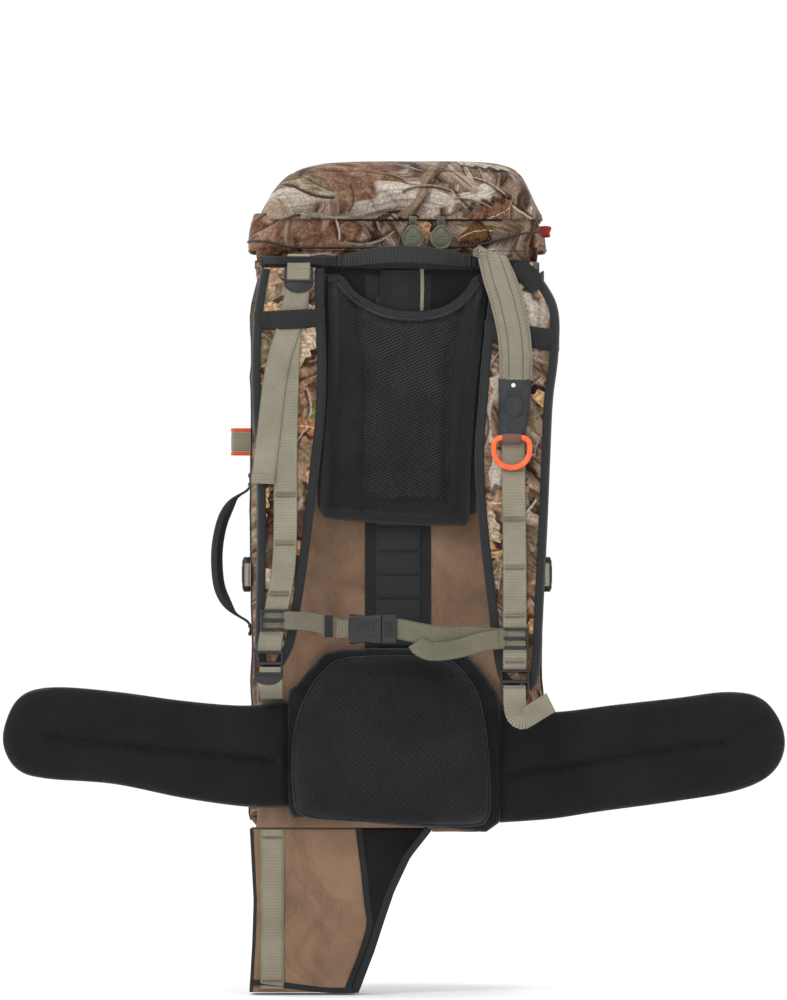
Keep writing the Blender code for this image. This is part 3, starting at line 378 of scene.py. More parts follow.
def moulded(name, dark, light, rough=0.42, grain=900.0, specular=0.5, worn=None, coat=0.0):
    """Moulded plastic or rubber: a spark-eroded grain, faint flow marks, and rubbed high spots."""
    net = Net(name, rough=rough, specular=specular)
    net.shader.inputs["Coat Weight"].default_value = coat
    flow = net.noise(net.obj, 45.0, 4, 0.6, 1.5)
    fine = net.noise(net.obj, grain, 3, 0.6)
    scuff = net.noise(net.join(*[axis * m for axis, m in zip(net.split(net.obj), (1, 1, 7))]), 260.0, 3, 0.7)
    colour = net.mix(net.ramp(flow, 0.3, 0.7), dark, light)
    colour = net.mix(net.ramp(scuff, 0.62, 0.76, 0.0, 0.35), colour,
        worn or tuple(min(1, c * 2.2 + 0.02) for c in light))
    return net.finish(colour, net.ramp(fine + scuff * 0.4, 0.45, 0.95, rough - 0.1, rough + 0.14),
        net.bump(fine + scuff * 0.3, 0.00012, 0.6))


CAMO_BAG = camo_material("camouflage cloth bag", (0.31, 0.12))
CAMO_LID = camo_material("camouflage cloth lid", (1.07, 0.53), turn=0.5)
CAMO_SKIRT = camo_material("camouflage cloth lid band", (2.31, 1.77), dim=0.1, turn=-0.4)
CAMO_STRAP_L = camo_material("camouflage cloth left strap", (3.22, 2.05), dim=0.14, turn=1.1)
CAMO_STRAP_R = camo_material("camouflage cloth right strap", (4.57, 3.41), turn=-0.7)
CAMO_POCKET = camo_material("camouflage cloth pocket", (5.93, 4.28), turn=0.3)
BROWN = plain_cloth("brown cloth", rgb(106, 81, 64), rgb(146, 116, 92), rgb(178, 146, 118))
LINING = plain_cloth("dark lining", rgb(22, 23, 24), rgb(36, 37, 38), rgb(52, 53, 54), 0.0016, False)
MESH = mesh_material("black mesh")
MESH_FINE = mesh_material("fine black mesh", (0.0046, 0.0056), yarn=rgb(44, 45, 47), deep=0.0006)
MESH_DASH = mesh_material("ribbed black mesh", (0.0052, 0.003), yarn=rgb(30, 31, 33))
MESH_BOOT = mesh_material("boot mesh", (0.003, 0.0036), yarn=rgb(34, 34, 36), deep=0.0006)
BINDING = web_material("black binding", rgb(14, 15, 16), rgb(36, 38, 40), 0.012, 0.0013, 0.0016, 0.0006)
BLACK_WEB = web_material("black webbing", rgb(18, 19, 20), rgb(42, 43, 44), 0.025, 0.0017)
ELASTIC = web_material("black elastic", rgb(14, 15, 16), rgb(38, 39, 41), 0.02, 0.0022, 0.0012, 0.0012)
OLIVE_WEB = web_material("olive webbing", rgb(116, 110, 92), rgb(172, 165, 146))
OLIVE_WIDE = web_material("olive padded webbing", rgb(114, 108, 91), rgb(164, 157, 139), 0.037, 0.0018, 0.0019,
    0.0016, ((-0.0075, 0.0009), (0.0075, 0.0009)))
OLIVE_BELT = web_material("olive belt webbing", rgb(112, 107, 86), rgb(165, 160, 138), 0.038, 0.0019, 0.0024)
KHAKI_WEB = web_material("khaki webbing", rgb(124, 116, 98), rgb(168, 160, 138), 0.026, 0.0016)
PLASTIC = moulded("black plastic", rgb(15, 16, 17), rgb(28, 29, 31))
RUBBER = moulded("grey rubber", rgb(34, 36, 37), rgb(50, 52, 53), 0.62, 700.0, 0.35)
ORANGE = moulded("orange plastic", rgb(232, 78, 30), rgb(250, 108, 52), 0.35, 900.0, 0.5, rgb(255, 150, 100), 0.2)
RED_TAB = plain_cloth("dark red tab", rgb(96, 22, 22), rgb(140, 36, 34), rgb(170, 62, 54), 0.0012, False)
PULL = moulded("olive translucent pull", rgb(92, 94, 74), rgb(122, 123, 100), 0.35, 800.0, 0.5)
PULL.node_tree.nodes["Principled BSDF"].inputs["Transmission Weight"].default_value = 0.25
STEEL = moulded("white metal rivet", rgb(214, 214, 212), rgb(236, 236, 234), 0.3, 500.0)
SHEET_PLASTIC = moulded("white sheet plastic", rgb(206, 206, 200), rgb(226, 226, 222), 0.5, 300.0)
OLIVE_THREAD = plain_cloth("olive thread", rgb(84, 80, 62), rgb(112, 107, 86), rgb(136, 131, 108), 0.0009, False)
BLACK_THREAD = plain_cloth("black thread", rgb(16, 17, 18), rgb(30, 31, 33), rgb(52, 53, 56), 0.0009, False)
TAN_THREAD = plain_cloth("tan thread", rgb(110, 88, 72), rgb(150, 126, 106), rgb(178, 154, 132), 0.0009, False)
PIPING = plain_cloth("dark piping", rgb(38, 31, 29), rgb(62, 50, 46), rgb(86, 72, 64), 0.0012, False)
BLACK_PIPING = plain_cloth("black piping", rgb(16, 17, 19), rgb(32, 34, 37), rgb(60, 63, 68), 0.0011, False)


ORANGE_WEB = web_material("orange webbing edge", rgb(222, 72, 30), rgb(250, 118, 66), 0.0042, 0.0014, 0.0014, 0.0004)
HANDLE_WEB = web_material("ribbed black handle webbing", rgb(22, 23, 24), rgb(46, 47, 48), 0.0195, 0.0034,
    0.0195, 0.0008)
LADDER_WEB = web_material("black ladder webbing", rgb(20, 21, 23), rgb(48, 49, 51), 0.048, 0.0018, 0.0024)
RING_WEB = web_material("maroon ring web", rgb(92, 62, 56), rgb(150, 104, 92), 0.02, 0.0015)
OLIVE_STERNUM = web_material("olive sternum webbing", rgb(86, 82, 66), rgb(138, 133, 113), 0.021, 0.0015)
MESH_LUMBAR = mesh_material("lumbar mesh", (0.0052, 0.0062), yarn=rgb(39, 40, 42), deep=0.0006)


def aluminium_material():
    net = Net("aluminium", rough=0.32, metallic=1.0)
    x, y, z = net.split(net.obj)
    streak = net.noise(net.join(x * 30.0, y * 30.0, z * 1.5), 40.0, 4, 0.6)
    colour = net.mix(net.ramp(streak, 0.35, 0.65), rgb(170, 172, 176), rgb(208, 210, 214))
    return net.finish(colour, net.ramp(streak, 0.3, 0.7, 0.26, 0.44), net.bump(streak, 0.0001, 0.5))


ALUMINIUM = aluminium_material()


# ---- geometry -----------------------------------------------------------------------------------------------
class Soup:
    """Surfaces gathered into one piece."""

    def __init__(self):
        self.verts, self.faces, self.uvs, self.mats = [], [], [], []

    def add(self, verts, faces, uvs=None, mat=0):
        base = len(self.verts)
        self.verts += [Vector(p) for p in verts]
        self.uvs += list(uvs) if uvs else [(p[0] + p[1] * 0.7, p[2]) for p in verts]
        self.faces += [tuple(i + base for i in face) for face in faces]
        self.mats += list(mat) if isinstance(mat, list) else [mat] * len(faces)
        return self

    def done(self, name, mats, body, slot=None, nodes=(), angle=50, merge=0.0, sub=0, blend=None, flip=True):
        mats = mats if isinstance(mats, (list, tuple)) else [mats]
        mesh = bpy.data.meshes.new(name)
        mesh.from_pydata([tuple(v) for v in self.verts], [], self.faces)
        layer = mesh.uv_layers.new(name="UVMap")
        for loop in mesh.loops:
            layer.data[loop.index].uv = self.uvs[loop.vertex_index]
        for polygon, index in zip(mesh.polygons, self.mats):
            polygon.material_index = index
        bm = bmesh.new()
        bm.from_mesh(mesh)
        if merge:
            bmesh.ops.remove_doubles(bm, verts=bm.verts, dist=merge)
        if flip:
            bmesh.ops.recalc_face_normals(bm, faces=bm.faces)
        bm.to_mesh(mesh)
        bm.free()
        obj = linked(name, mesh)
        if sub:
            subdivide(obj, sub)
        finish_mesh(obj, mats, angle)
        if blend:
            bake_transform(obj)
        else:
            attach(obj, body)
        if nodes:
            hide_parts(*nodes)
        return obj


def linked(name, data):
    """An object with this data, in the scene."""
    obj = bpy.data.objects.new(name, data)
    bpy.context.scene.collection.objects.link(obj)
    return obj


def finish_mesh(obj, mats, angle=50):
    obj.data.shade_smooth()
    if angle < 180:
        obj.data.set_sharp_from_angle(angle=math.radians(angle))
    kept = [polygon.material_index for polygon in obj.data.polygons]
    obj.data.materials.clear()
    for mat in mats:
        obj.data.materials.append(mat)
    obj.data.polygons.foreach_set("material_index", kept)


def apply_modifiers(obj):
    bpy.context.view_layer.update()
    graph = bpy.context.evaluated_depsgraph_get()
    made = bpy.data.meshes.new_from_object(obj.evaluated_get(graph))
    obj.modifiers.clear()
    old = obj.data
    obj.data = made
    bpy.data.meshes.remove(old)


def subdivide(obj, levels=1):
    sub = obj.modifiers.new("sub", "SUBSURF")
    sub.levels = sub.render_levels = levels
    apply_modifiers(obj)


def spline(points, per=6, closed=False):
    points = [Vector(p) for p in points]
    count, made = len(points), []
    for i in range(count if closed else count - 1):
        if closed:
            p0, p1, p2, p3 = (points[(i + k) % count] for k in (-1, 0, 1, 2))
        else:
            p1, p2 = points[i], points[i + 1]
            p0 = points[i - 1] if i else p1 * 2 - p2
            p3 = points[i + 2] if i + 2 < count else p2 * 2 - p1
        for k in range(per):
            t = k / per
            made.append(0.5 * (2 * p1 + (p2 - p0) * t + (2 * p0 - 5 * p1 + 4 * p2 - p3) * t**2
                + (3 * p1 - p0 - 3 * p2 + p3) * t**3))
    if not closed:
        made.append(points[-1])
    return made


def lengths(path, closed=False):
    total, made = 0.0, [0.0]
    for i in range(1, len(path) + (1 if closed else 0)):
        total += (path[i % len(path)] - path[i - 1]).length
        made.append(total)
    return made


def even(path, step, closed=False):
    """The same route with points a set distance apart."""
    path = [Vector(p) for p in path]
    along = lengths(path, closed)
    count = max(2, round(along[-1] / step))
    made, i = [], 0
    for k in range(count + (0 if closed else 1)):
        want = along[-1] * k / count
        while i < len(along) - 2 and along[i + 1] < want:
            i += 1
        a, b = path[i], path[(i + 1) % len(path)]
        span = along[i + 1] - along[i]
        made.append(a.lerp(b, (want - along[i]) / span if span > 1e-9 else 0.0))
    return made


def smooth_step(low, high, value):
    t = min(max((value - low) / (high - low), 0.0), 1.0)
    return t * t * (3 - 2 * t)


def jitter(place, scale, seed=0.0):
    """Smooth noise from -1 to 1 at a place."""
    return noise.noise(Vector(place) * scale + Vector((seed * 7.3, seed * 3.1, seed * 5.7)))


def ring_faces(count, n, closed=False, caps=True):
    """Quads between count rings of n points each, and a face over each end unless the rings close on themselves."""
    faces = []
    for i in range(count if closed else count - 1):
        up = (i + 1) % count
        for k in range(n):
            j = (k + 1) % n
            faces.append((i * n + k, i * n + j, up * n + j, up * n + k))
    if caps and not closed:
        faces.append(tuple(range(n))[::-1])
        faces.append(tuple(range((count - 1) * n, count * n)))
    return faces


def tape(path, across, width, thick, step=0.005, crown=0.0, soft=0.0006, cap=True, ripple=0.0, seed=1.0):
    """A strap: its section has soft edges, follows the path, and keeps its width along across."""
    route = even(path, step)
    along = lengths(route)
    total = along[-1]
    verts, uvs = [], []
    edge = soft if callable(width) else min(soft, width * 0.2)
    marks = [-1.0, -0.62, -0.2, 0.2, 0.62, 1.0]
    for i, p in enumerate(route):
        direction = (route[min(i + 1, len(route) - 1)] - route[max(i - 1, 0)]).normalized()
        share = along[i] / total
        side = across(share) if callable(across) else Vector(across)
        side = (side - direction * direction.dot(side)).normalized()
        out = direction.cross(side).normalized()
        w = width(share) if callable(width) else width
        t = thick(share) if callable(thick) else thick
        wave = jitter((along[i] * 40, 0, 0), 1.0, seed) * ripple
        ring = []
        for m in marks:
            ring.append((m * (w / 2 - edge), t / 2 + crown * (1 - m * m)))
        ring.append((w / 2, 0.0))
        for m in reversed(marks):
            ring.append((m * (w / 2 - edge), -t / 2 + crown * (1 - m * m) * 0.3))
        ring.append((-w / 2, 0.0))
        for a, b in ring:
            verts.append(p + side * a + out * (b + wave))
            uvs.append((a, along[i]))
    return verts, ring_faces(len(route), 2 * len(marks) + 2, caps=cap), uvs


def tube(path, radius, sides=8, closed=False, cap=True, flat=1.0):
    """A cord or piping. The frame is carried along the route, so it doesn't twist."""
    route = [Vector(p) for p in path]
    count = len(route)
    along = lengths(route, closed)
    first = (route[1] - route[0]).normalized()
    normal = first.orthogonal().normalized()
    verts, uvs = [], []
    for i, p in enumerate(route):
        if closed:
            direction = (route[(i + 1) % count] - route[i - 1]).normalized()
        else:
            direction = (route[min(i + 1, count - 1)] - route[max(i - 1, 0)]).normalized()
        normal = (normal - direction * direction.dot(normal)).normalized()
        other = direction.cross(normal)
        r = radius(along[i] / along[-1]) if callable(radius) else radius
        for k in range(sides):
            a = 2 * math.pi * k / sides
            verts.append(p + (normal * math.cos(a) * flat + other * math.sin(a)) * r)
            uvs.append((r * math.sin(a), along[i]))
    return verts, ring_faces(count, sides, closed, cap), uvs


# a stitch's pitch, the share of it that shows, and the thread's radius
FINE_STITCH = 0.0038, 0.62, 0.00034
BAG_STITCH = 0.0042, 0.62, 0.00036
LID_STITCH = 0.004, 0.62, 0.00036
POCKET_STITCH = 0.0042, 0.62, 0.0004


def dashes(path, pitch, share, radius, closed=False):
    """A row of stitches along a route."""
    route = [Vector(p) for p in path]
    along = lengths(route, closed)
    verts, faces = [], []
    count = max(1, int(along[-1] / pitch))
    fine = even(route, along[-1] / (count * 2), closed)
    for k in range(0, len(fine) - 1, 2):
        a, b = fine[k], fine[k + 1]
        direction = (b - a).normalized()
        mid, half = (a + b) / 2, (b - a) * share
        n1 = direction.orthogonal().normalized() * radius
        n2 = direction.cross(n1)
        base = len(verts)
        verts += [mid - half, mid + half]
        for m in (-0.5, 0.5):
            verts += [mid + half * m + n for n in (n1, n2, -n1, -n2)]
        for j in range(4):
            n = (j + 1) % 4
            faces += [(base, base + 2 + n, base + 2 + j), (base + 2 + j, base + 2 + n, base + 6 + n,
                base + 6 + j), (base + 6 + j, base + 6 + n, base + 1)]
    return verts, faces


def bar_tack(place, across, along, width=0.021, length=0.0028):
    """A dense zigzag of thread across a strap."""
    across, along = Vector(across).normalized(), Vector(along).normalized()
    count = 22
    zig = [Vector(place) + across * (width * (k / count - 0.5)) + along * (length / 2 * (-1) ** k)
        for k in range(count + 1)]
    return tube(zig, 0.00042, 4)


def lofted(rings, closed_v=False):
    """Faces through rings of equal length."""
    return [Vector(p) for ring in rings for p in ring], ring_faces(len(rings), len(rings[0]), closed_v)


def arc(centre, radius, start, end, steps):
    return [(centre[0] + radius * math.cos(math.radians(start + (end - start) * k / steps)),
        centre[1] + radius * math.sin(math.radians(start + (end - start) * k / steps))) for k in range(steps + 1)]


def rounded(half_x, low, high, r_low, r_high, steps=6, middle=0.0):
    x0, x1 = middle - half_x, middle + half_x
    return (arc((x1 - r_low, low + r_low), r_low, -90, 0, steps)
        + arc((x1 - r_high, high - r_high), r_high, 0, 90, steps)
            + arc((x0 + r_high, high - r_high), r_high, 90, 180, steps)
            + arc((x0 + r_low, low + r_low), r_low, 180, 270, steps))


def inset(outline, depth):
    count = len(outline)
    area = sum(outline[i][0] * outline[(i + 1) % count][1] - outline[(i + 1) % count][0] * outline[i][1]
        for i in range(count))
    turn = 1.0 if area > 0 else -1.0
    made = []
    for i in range(count):
        here = Vector(outline[i][:2])
        before = (here - Vector(outline[i - 1][:2])).normalized()
        after = (Vector(outline[(i + 1) % count][:2]) - here).normalized()
        n0, n1 = Vector((-before.y, before.x)), Vector((-after.y, after.x))
        mid = (n0 + n1).normalized()
        moved = here + mid * (depth / max(0.5, mid.dot(n0))) * turn
        made.append((moved.x, moved.y))
    return made


def even2(outline, count):
    """A closed 2D outline with a set number of evenly spaced points."""
    path = [Vector((a, b, 0)) for a, b in outline]
    total = lengths(path, True)[-1]
    return [(p.x, p.y) for p in even(path, total / count, True)][:count]


def edge_distance(x, z, line, closed=True):
    """Distance from a point to a line of 2D points."""
    key = (id(line), closed)
    if key not in SEGMENTS or SEGMENTS[key][0] is not line:
        a = np.array(line, float)
        b = np.roll(a, -1, axis=0)
        if not closed:
            a, b = a[:-1], b[:-1]
        d = b - a
        SEGMENTS[key] = (line, a, d, np.maximum((d * d).sum(1), 1e-14))
    _, a, d, size = SEGMENTS[key]
    rel = np.array((x, z)) - a
    t = np.clip((rel * d).sum(1) / size, 0, 1)
    off = rel - d * t[:, None]
    return math.sqrt((off * off).sum(1).min())


SEGMENTS = {}


def at(line, share):
    """The point at a share of the way along an open 2D line."""
    along = line[1]
    points = line[0]
    want = along[-1] * share
    low, high = 0, len(along) - 2
    while low < high:
        mid = (low + high + 1) // 2
        if along[mid] <= want:
            low = mid
        else:
            high = mid - 1
    span = along[low + 1] - along[low]
    return points[low].lerp(points[low + 1], (want - along[low]) / span if span > 1e-12 else 0.0)


def smooth2(points, per=4, closed=False):
    """A smooth 2D line through 2D points."""
    return [(p.x, p.y) for p in spline([(a, b, 0) for a, b in points], per, closed)]


def even_line(points, step, closed=False):
    """The same 2D line with points a set distance apart."""
    return [(p.x, p.y) for p in even([(a, b, 0) for a, b in points], step, closed)]


def grid_faces(nu, nv):
    """The quads of a grid of nu by nv cells, given row by row."""
    return [(j * (nu + 1) + i, j * (nu + 1) + i + 1, (j + 1) * (nu + 1) + i + 1, (j + 1) * (nu + 1) + i)
            for j in range(nv) for i in range(nu)]


def measured(points, per=4):
    smooth = spline([(a, b, 0) for a, b in points], per) if per else [Vector((a, b, 0)) for a, b in points]
    return smooth, lengths(smooth)


def coons(top, bottom, left, right, nu, nv, ease=0.55):
    """A grid of 2D points between four lines: top and bottom run left to right, left and right run bottom to top."""
    def spread(k, n):
        t = k / n
        return t * (1 - ease) + ease * (0.5 - 0.5 * math.cos(math.pi * t))
    rows = []
    for j in range(nv + 1):
        v = spread(j, nv)
        row = []
        for i in range(nu + 1):
            u = spread(i, nu)
            a = at(bottom, u).lerp(at(top, u), v) + at(left, v).lerp(at(right, v), u)
            b = (bottom[0][0].lerp(bottom[0][-1], u)).lerp(top[0][0].lerp(top[0][-1], u), v)
            p = a - b
            row.append((p.x, p.y))
        rows.append(row)
    return rows


def pad_soup(rows, front, back):
    """A closed pad on a grid of (x, z): front and back give Y, and meet at the grid's border."""
    nv, nu = len(rows) - 1, len(rows[0]) - 1
    border = [rows[0][i] for i in range(nu + 1)] + [rows[j][nu] for j in range(1, nv + 1)] + [rows[nv][i]
        for i in range(nu - 1, -1, -1)] + [rows[j][0] for j in range(nv - 1, 0, -1)]
    soup = Soup()
    gaps = [[0.0 if j in (0, nv) or i in (0, nu) else edge_distance(*rows[j][i], border)
        for i in range(nu + 1)] for j in range(nv + 1)]
    for surface in (front, back):
        verts = [Vector((x, surface(x, z, gaps[j][i]), z)) for j, row in enumerate(rows) for i,
            (x, z) in enumerate(row)]
        soup.add(verts, grid_faces(nu, nv))
    return soup, border


def quarter(gap, roll):
    """How full a padded edge is at a distance from its seam: 0 at the seam, 1 from roll onwards."""
    t = min(gap / roll, 1.0)
    return math.sqrt(max(0.0, 1 - (1 - t) ** 2))


CLOTH_FRAMES = 20


def inflate(obj, hold, cap, pressure):
    """Padded fabric by Cloth: blow up with its seams held, cap the swelling at about cap, apply, subdivide.
    hold(x, y, z) is how firmly a place is held, from 0 to 1."""
    mesh = obj.data
    start = [v.co.copy() for v in mesh.vertices]
    group = obj.vertex_groups.new(name="hold")
    for i, co in enumerate(start):
        group.add([i], min(max(hold(co.x, co.y, co.z), 0.0), 1.0), "REPLACE")
    cloth = obj.modifiers.new("cloth", "CLOTH")
    s = cloth.settings
    s.quality, s.mass = 5, 0.25
    s.tension_stiffness = s.compression_stiffness = 12.0
    s.shear_stiffness, s.bending_stiffness = 6.0, 1.2
    s.air_damping = 4.0
    s.use_pressure, s.uniform_pressure_force = True, pressure
    s.effector_weights.gravity = 0.0
    s.vertex_group_mass = "hold"
    s.pin_stiffness = 2.0
    cloth.collision_settings.use_collision = False
    cloth.point_cache.frame_start, cloth.point_cache.frame_end = 1, CLOTH_FRAMES
    scene = bpy.context.scene
    for step in range(1, CLOTH_FRAMES + 1):
        scene.frame_set(step)
    graph = bpy.context.evaluated_depsgraph_get()
    blown = obj.evaluated_get(graph).data
    moved = [v.co.copy() for v in blown.vertices]
    obj.modifiers.clear()
    obj.vertex_groups.clear()
    for i, vert in enumerate(mesh.vertices):
        step = moved[i] - start[i]
        if not all(map(math.isfinite, step)):
            step = Vector()
        if step.length > cap:
            step = step.normalized() * cap * (1.0 + 0.25 * math.tanh(step.length / cap - 1.0))
        vert.co = start[i] + step
    scene.frame_set(1)
    smooth = obj.modifiers.new("smooth", "SMOOTH")
    smooth.factor, smooth.iterations = 0.3, 1
    apply_modifiers(obj)
    subdivide(obj)


def sculpt(obj, move):
    """Moves each point of a finished mesh by move(point, normal)."""
    mesh = obj.data
    normals = [v.normal.copy() for v in mesh.vertices]
    for vert, normal in zip(mesh.vertices, normals):
        vert.co = vert.co + move(vert.co, normal)
    mesh.update()


def projected(tree, x, z, lift=0.0, fallback=-0.05):
    """The place on a surface straight behind (x, z), seen from the harness side, lifted towards -Y."""
    hit = tree.ray_cast(Vector((x, -1.0, z)), Vector((0, 1, 0)))
    y = hit[0].y if hit[0] is not None else fallback
    return Vector((x, y - lift, z))


def surface_of(obj):
    mesh = obj.data
    return BVHTree.FromPolygons([v.co.copy() for v in mesh.vertices], [tuple(p.vertices) for p in mesh.polygons])


def frame_at(place, along, across):
    x, y = Vector(along).normalized(), Vector(across).normalized()
    return Matrix.Translation(Vector(place)) @ Matrix((x, y, x.cross(y))).transposed().to_4x4()


UPRIGHT = Matrix(((1, 0, 0, 0), (0, 0, -1, 0), (0, 1, 0, 0), (0, 0, 0, 1)))


def moved(shape, matrix):
    return [matrix @ Vector(v) for v in shape[0]], shape[1], *shape[2:]


def slab(outline, low, high, bevel=0.0006, rings=2):
    """A plate in its own axes with rounded edges: outline in X and Y, thickness along Z."""
    made = []
    for k in range(rings + 1):
        a = math.pi / 2 * k / rings
        small = inset(outline, bevel * (1 - math.sin(a)))
        made.append([Vector((x, y, low + bevel * (1 - math.cos(a)))) for x, y in small])
    for k in range(rings, -1, -1):
        a = math.pi / 2 * k / rings
        small = inset(outline, bevel * (1 - math.sin(a)))
        made.append([Vector((x, y, high - bevel * (1 - math.cos(a)))) for x, y in small])
    return lofted(made)


def bound_edge(path, inward, front, back, wide=0.008, lift=0.0005):
    """Folded binding over a pad's edge. path is (x, z) along the edge, inward the matching inward directions;
    front(x, z, gap) and back(x, z, gap) give the surfaces that it lies on."""
    verts, uvs = [], []
    marks = (1.0, 0.75, 0.5, 0.28, 0.1)
    total = 0.0
    for i, ((x, z), (nx, nz)) in enumerate(zip(path, inward)):
        if i:
            total += math.hypot(x - path[i - 1][0], z - path[i - 1][1])
        outer, inner = [], []
        for m in marks:
            gap = wide * m
            px, pz = x + nx * gap, z + nz * gap
            y = front(px, pz, gap)
            outer.append(Vector((px, y - lift * (1.0 if m < 1 else 0.6), pz)))
            inner.append(Vector((px, y + lift * 0.8, pz)))
        rim = Vector((x - nx * lift * 1.6, (front(x, z, 0) + back(x, z, 0)) / 2, z - nz * lift * 1.6))
        rim_in = Vector((x + nx * 0.0004, rim.y, z + nz * 0.0004))
        outer.append(rim)
        inner.append(rim_in)
        for m in reversed(marks):
            gap = wide * m
            px, pz = x + nx * gap, z + nz * gap
            y = back(px, pz, gap)
            outer.append(Vector((px, y + lift * (1.0 if m < 1 else 0.6), pz)))
            inner.append(Vector((px, y - lift * 0.8, pz)))
        ring = outer + inner[::-1]
        verts += ring
        n = len(outer)
        across = [(k / (n - 1) - 0.5) * wide * 1.5 for k in range(n)]
        uvs += [(a, total) for a in across] + [(a, total) for a in reversed(across)]
    return verts, ring_faces(len(path), len(marks) * 4 + 2), uvs


def inward_of(path, middle, closed=False):
    """Directions at right angles to a 2D path, on the side where middle lies."""
    made = []
    count = len(path)
    for i in range(count):
        a = path[i - 1] if closed or i else path[0]
        b = path[(i + 1) % count] if closed else path[min(i + 1, count - 1)]
        d = Vector((b[0] - a[0], b[1] - a[1])).normalized()
        n = Vector((-d.y, d.x))
        made.append(n)
    # one side for the whole path
    votes = sum(1 if n.dot(Vector(middle) - Vector(p)) > 0 else -1 for n, p in zip(made, path))
    return [(n.x, n.y) if votes > 0 else (-n.x, -n.y) for n in made]


# ---- camera, floor and light --------------------------------------------------------------------------------
VIEW_MIDDLE_X, VIEW_MIDDLE_Z = -0.0037, -0.265


FLOOR_Z = -0.7905
METRES_WIDE_AND_HIGH = 1.06


def make_stage():
    """A far camera, since the photograph is nearly flat; a pale floor, white surroundings and three lights."""
    camera = linked("camera", bpy.data.cameras.new("camera"))
    away = 12.0
    camera.data.lens, camera.data.sensor_width, camera.data.sensor_fit = 36 * away / METRES_WIDE_AND_HIGH, 36, "AUTO"
    camera.data.clip_end = 200.0
    camera.location = (VIEW_MIDDLE_X, -away - 0.03, VIEW_MIDDLE_Z)
    camera.rotation_euler = (math.radians(90), 0, 0)
    bpy.context.scene.camera = camera

    mesh = bpy.data.meshes.new("studio_floor")
    mesh.from_pydata([(-60, -60, FLOOR_Z), (60, -60, FLOOR_Z), (60, 60, FLOOR_Z), (-60, 60, FLOOR_Z)], [],
        [(0, 1, 2, 3)])
    floor = linked("studio_floor", mesh)
    net = Net("pale paper", rough=0.95, specular=0.1)
    grain = net.noise(net.obj, 35.0, 3)
    mesh.materials.append(net.finish(net.mix(net.ramp(grain, 0.3, 0.7), (0.975, 0.975, 0.975),
        (0.985, 0.985, 0.985)), net.ramp(grain, 0.3, 0.7, 0.9, 0.98)))
    net.shader.inputs["Emission Color"].default_value = (1, 1, 1, 1)
    net.shader.inputs["Emission Strength"].default_value = 0.045

    world = bpy.data.worlds.new("studio")
    world.use_nodes = True
    world.node_tree.nodes["Background"].inputs["Color"].default_value = (1.0, 1.0, 1.0, 1)
    world.node_tree.nodes["Background"].inputs["Strength"].default_value = 1.0
    bpy.context.scene.world = world
    bpy.context.scene.view_settings.view_transform = "Standard"
    for name, place, aim, size, power in (
        ("key", (-2.2, -3.2, 2.6), (0, 0, -0.3), 1.4, 60.0),
        ("top", (0.4, 0.3, 3.0), (0, 0, -0.2), 1.8, 30.0),
        ("back_left", (-2.6, 2.4, 1.0), (0, 0, -0.3), 1.4, 25.0),
    ):
        light = bpy.data.lights.new(name, "AREA")
        light.shape, light.size, light.energy = "SQUARE", size, power
        obj = linked(name, light)
        obj.location = place
        obj.rotation_euler = (Vector(aim) - Vector(place)).to_track_quat("-Z", "Y").to_euler()


make_stage()


# ---- main bag -----------------------------------------------------------------------------------------------
BAG_HALF, BAG_BACK, BAG_FRONT = 0.1545, 0.0425, 0.245
BAG_BASE, BAG_MIDDLE, BAG_AROUND = -0.6175, 0.1435, 168
# heights where a fitting is sewn to the bag's side
SIDE_FITTINGS = (-0.345, -0.203, -0.244, -0.403)


def bag_half(z):
    """Half the bag's width at height z: drawn in under the lid and at its base, slack between."""
    draw = 0.0085 * smooth_step(-0.062, -0.02, z)
    base = 0.01 * (1 - smooth_step(BAG_BASE, -0.598, z)) ** 2
    return BAG_HALF - draw - base + 0.0012 * math.sin(z * 17.0)


def bag_plan(z):
    """The bag's outline seen from above, at height z."""
    base = 0.008 * (1 - smooth_step(BAG_BASE, -0.598, z)) ** 2
    return even2(rounded(bag_half(z), BAG_BACK, BAG_FRONT - base, 0.012, 0.052, 8), BAG_AROUND)


def bag_ring(z, inner=0.0, calm=1.0):
    plan = bag_plan(z)
    small = inset(plan, 0.01)
    ring = []
    for (x, y), (ix, iy) in zip(plan, small):
        out = Vector((x - ix, y - iy, 0)).normalized()
        on_side = smooth_step(0.13, 0.15, abs(x))
        on_front = smooth_step(0.2, 0.244, y) * (1 - on_side)
        bulge = 0.006 * math.sqrt(max(0.0, 1 - (x / 0.1) ** 2)) * on_front if abs(x) < 0.1 else 0.0
        free = min(smooth_step(0.016, 0.055, abs(z - f)) for f in SIDE_FITTINGS)
        free = max(free, smooth_step(0.19, 0.23, y))
        pocket = smooth_step(0.0, 0.03, edge_distance_box(x, z)) if y > 0.2 else 1.0
        folds = jitter((x * 0.6, y * 1.3, z * 2.2), 11.0, 1) * 0.6 + jitter((x, y, z), 27.0,
            2) * 0.3 + jitter((x * 0.4, y * 0.4, z * 3.0), 19.0, 3) * 0.4
        crease = max(0.0, jitter((x * 1.2, y * 2.5, z * 0.9), 16.0, 4)) ** 2
        amount = (0.0004 + 0.003 * free * on_side + 0.0022 * on_front * pocket) * calm
        slack = 0.0016 * free * on_side
        move = slack + amount * (folds - 0.9 * crease)
        if y < 0.044:
            move = -abs(amount) * 0.3
        p = Vector((x, y, z)) + out * (move - inner)
        p.y += bulge
        ring.append(p)
    return ring


def edge_distance_box(x, z):
    """How far outside the front pocket's footprint a point is."""
    dx, dz = max(abs(x) - 0.118, 0.0), max(-0.57 - z, z + 0.225, 0.0)
    return math.hypot(dx, dz)


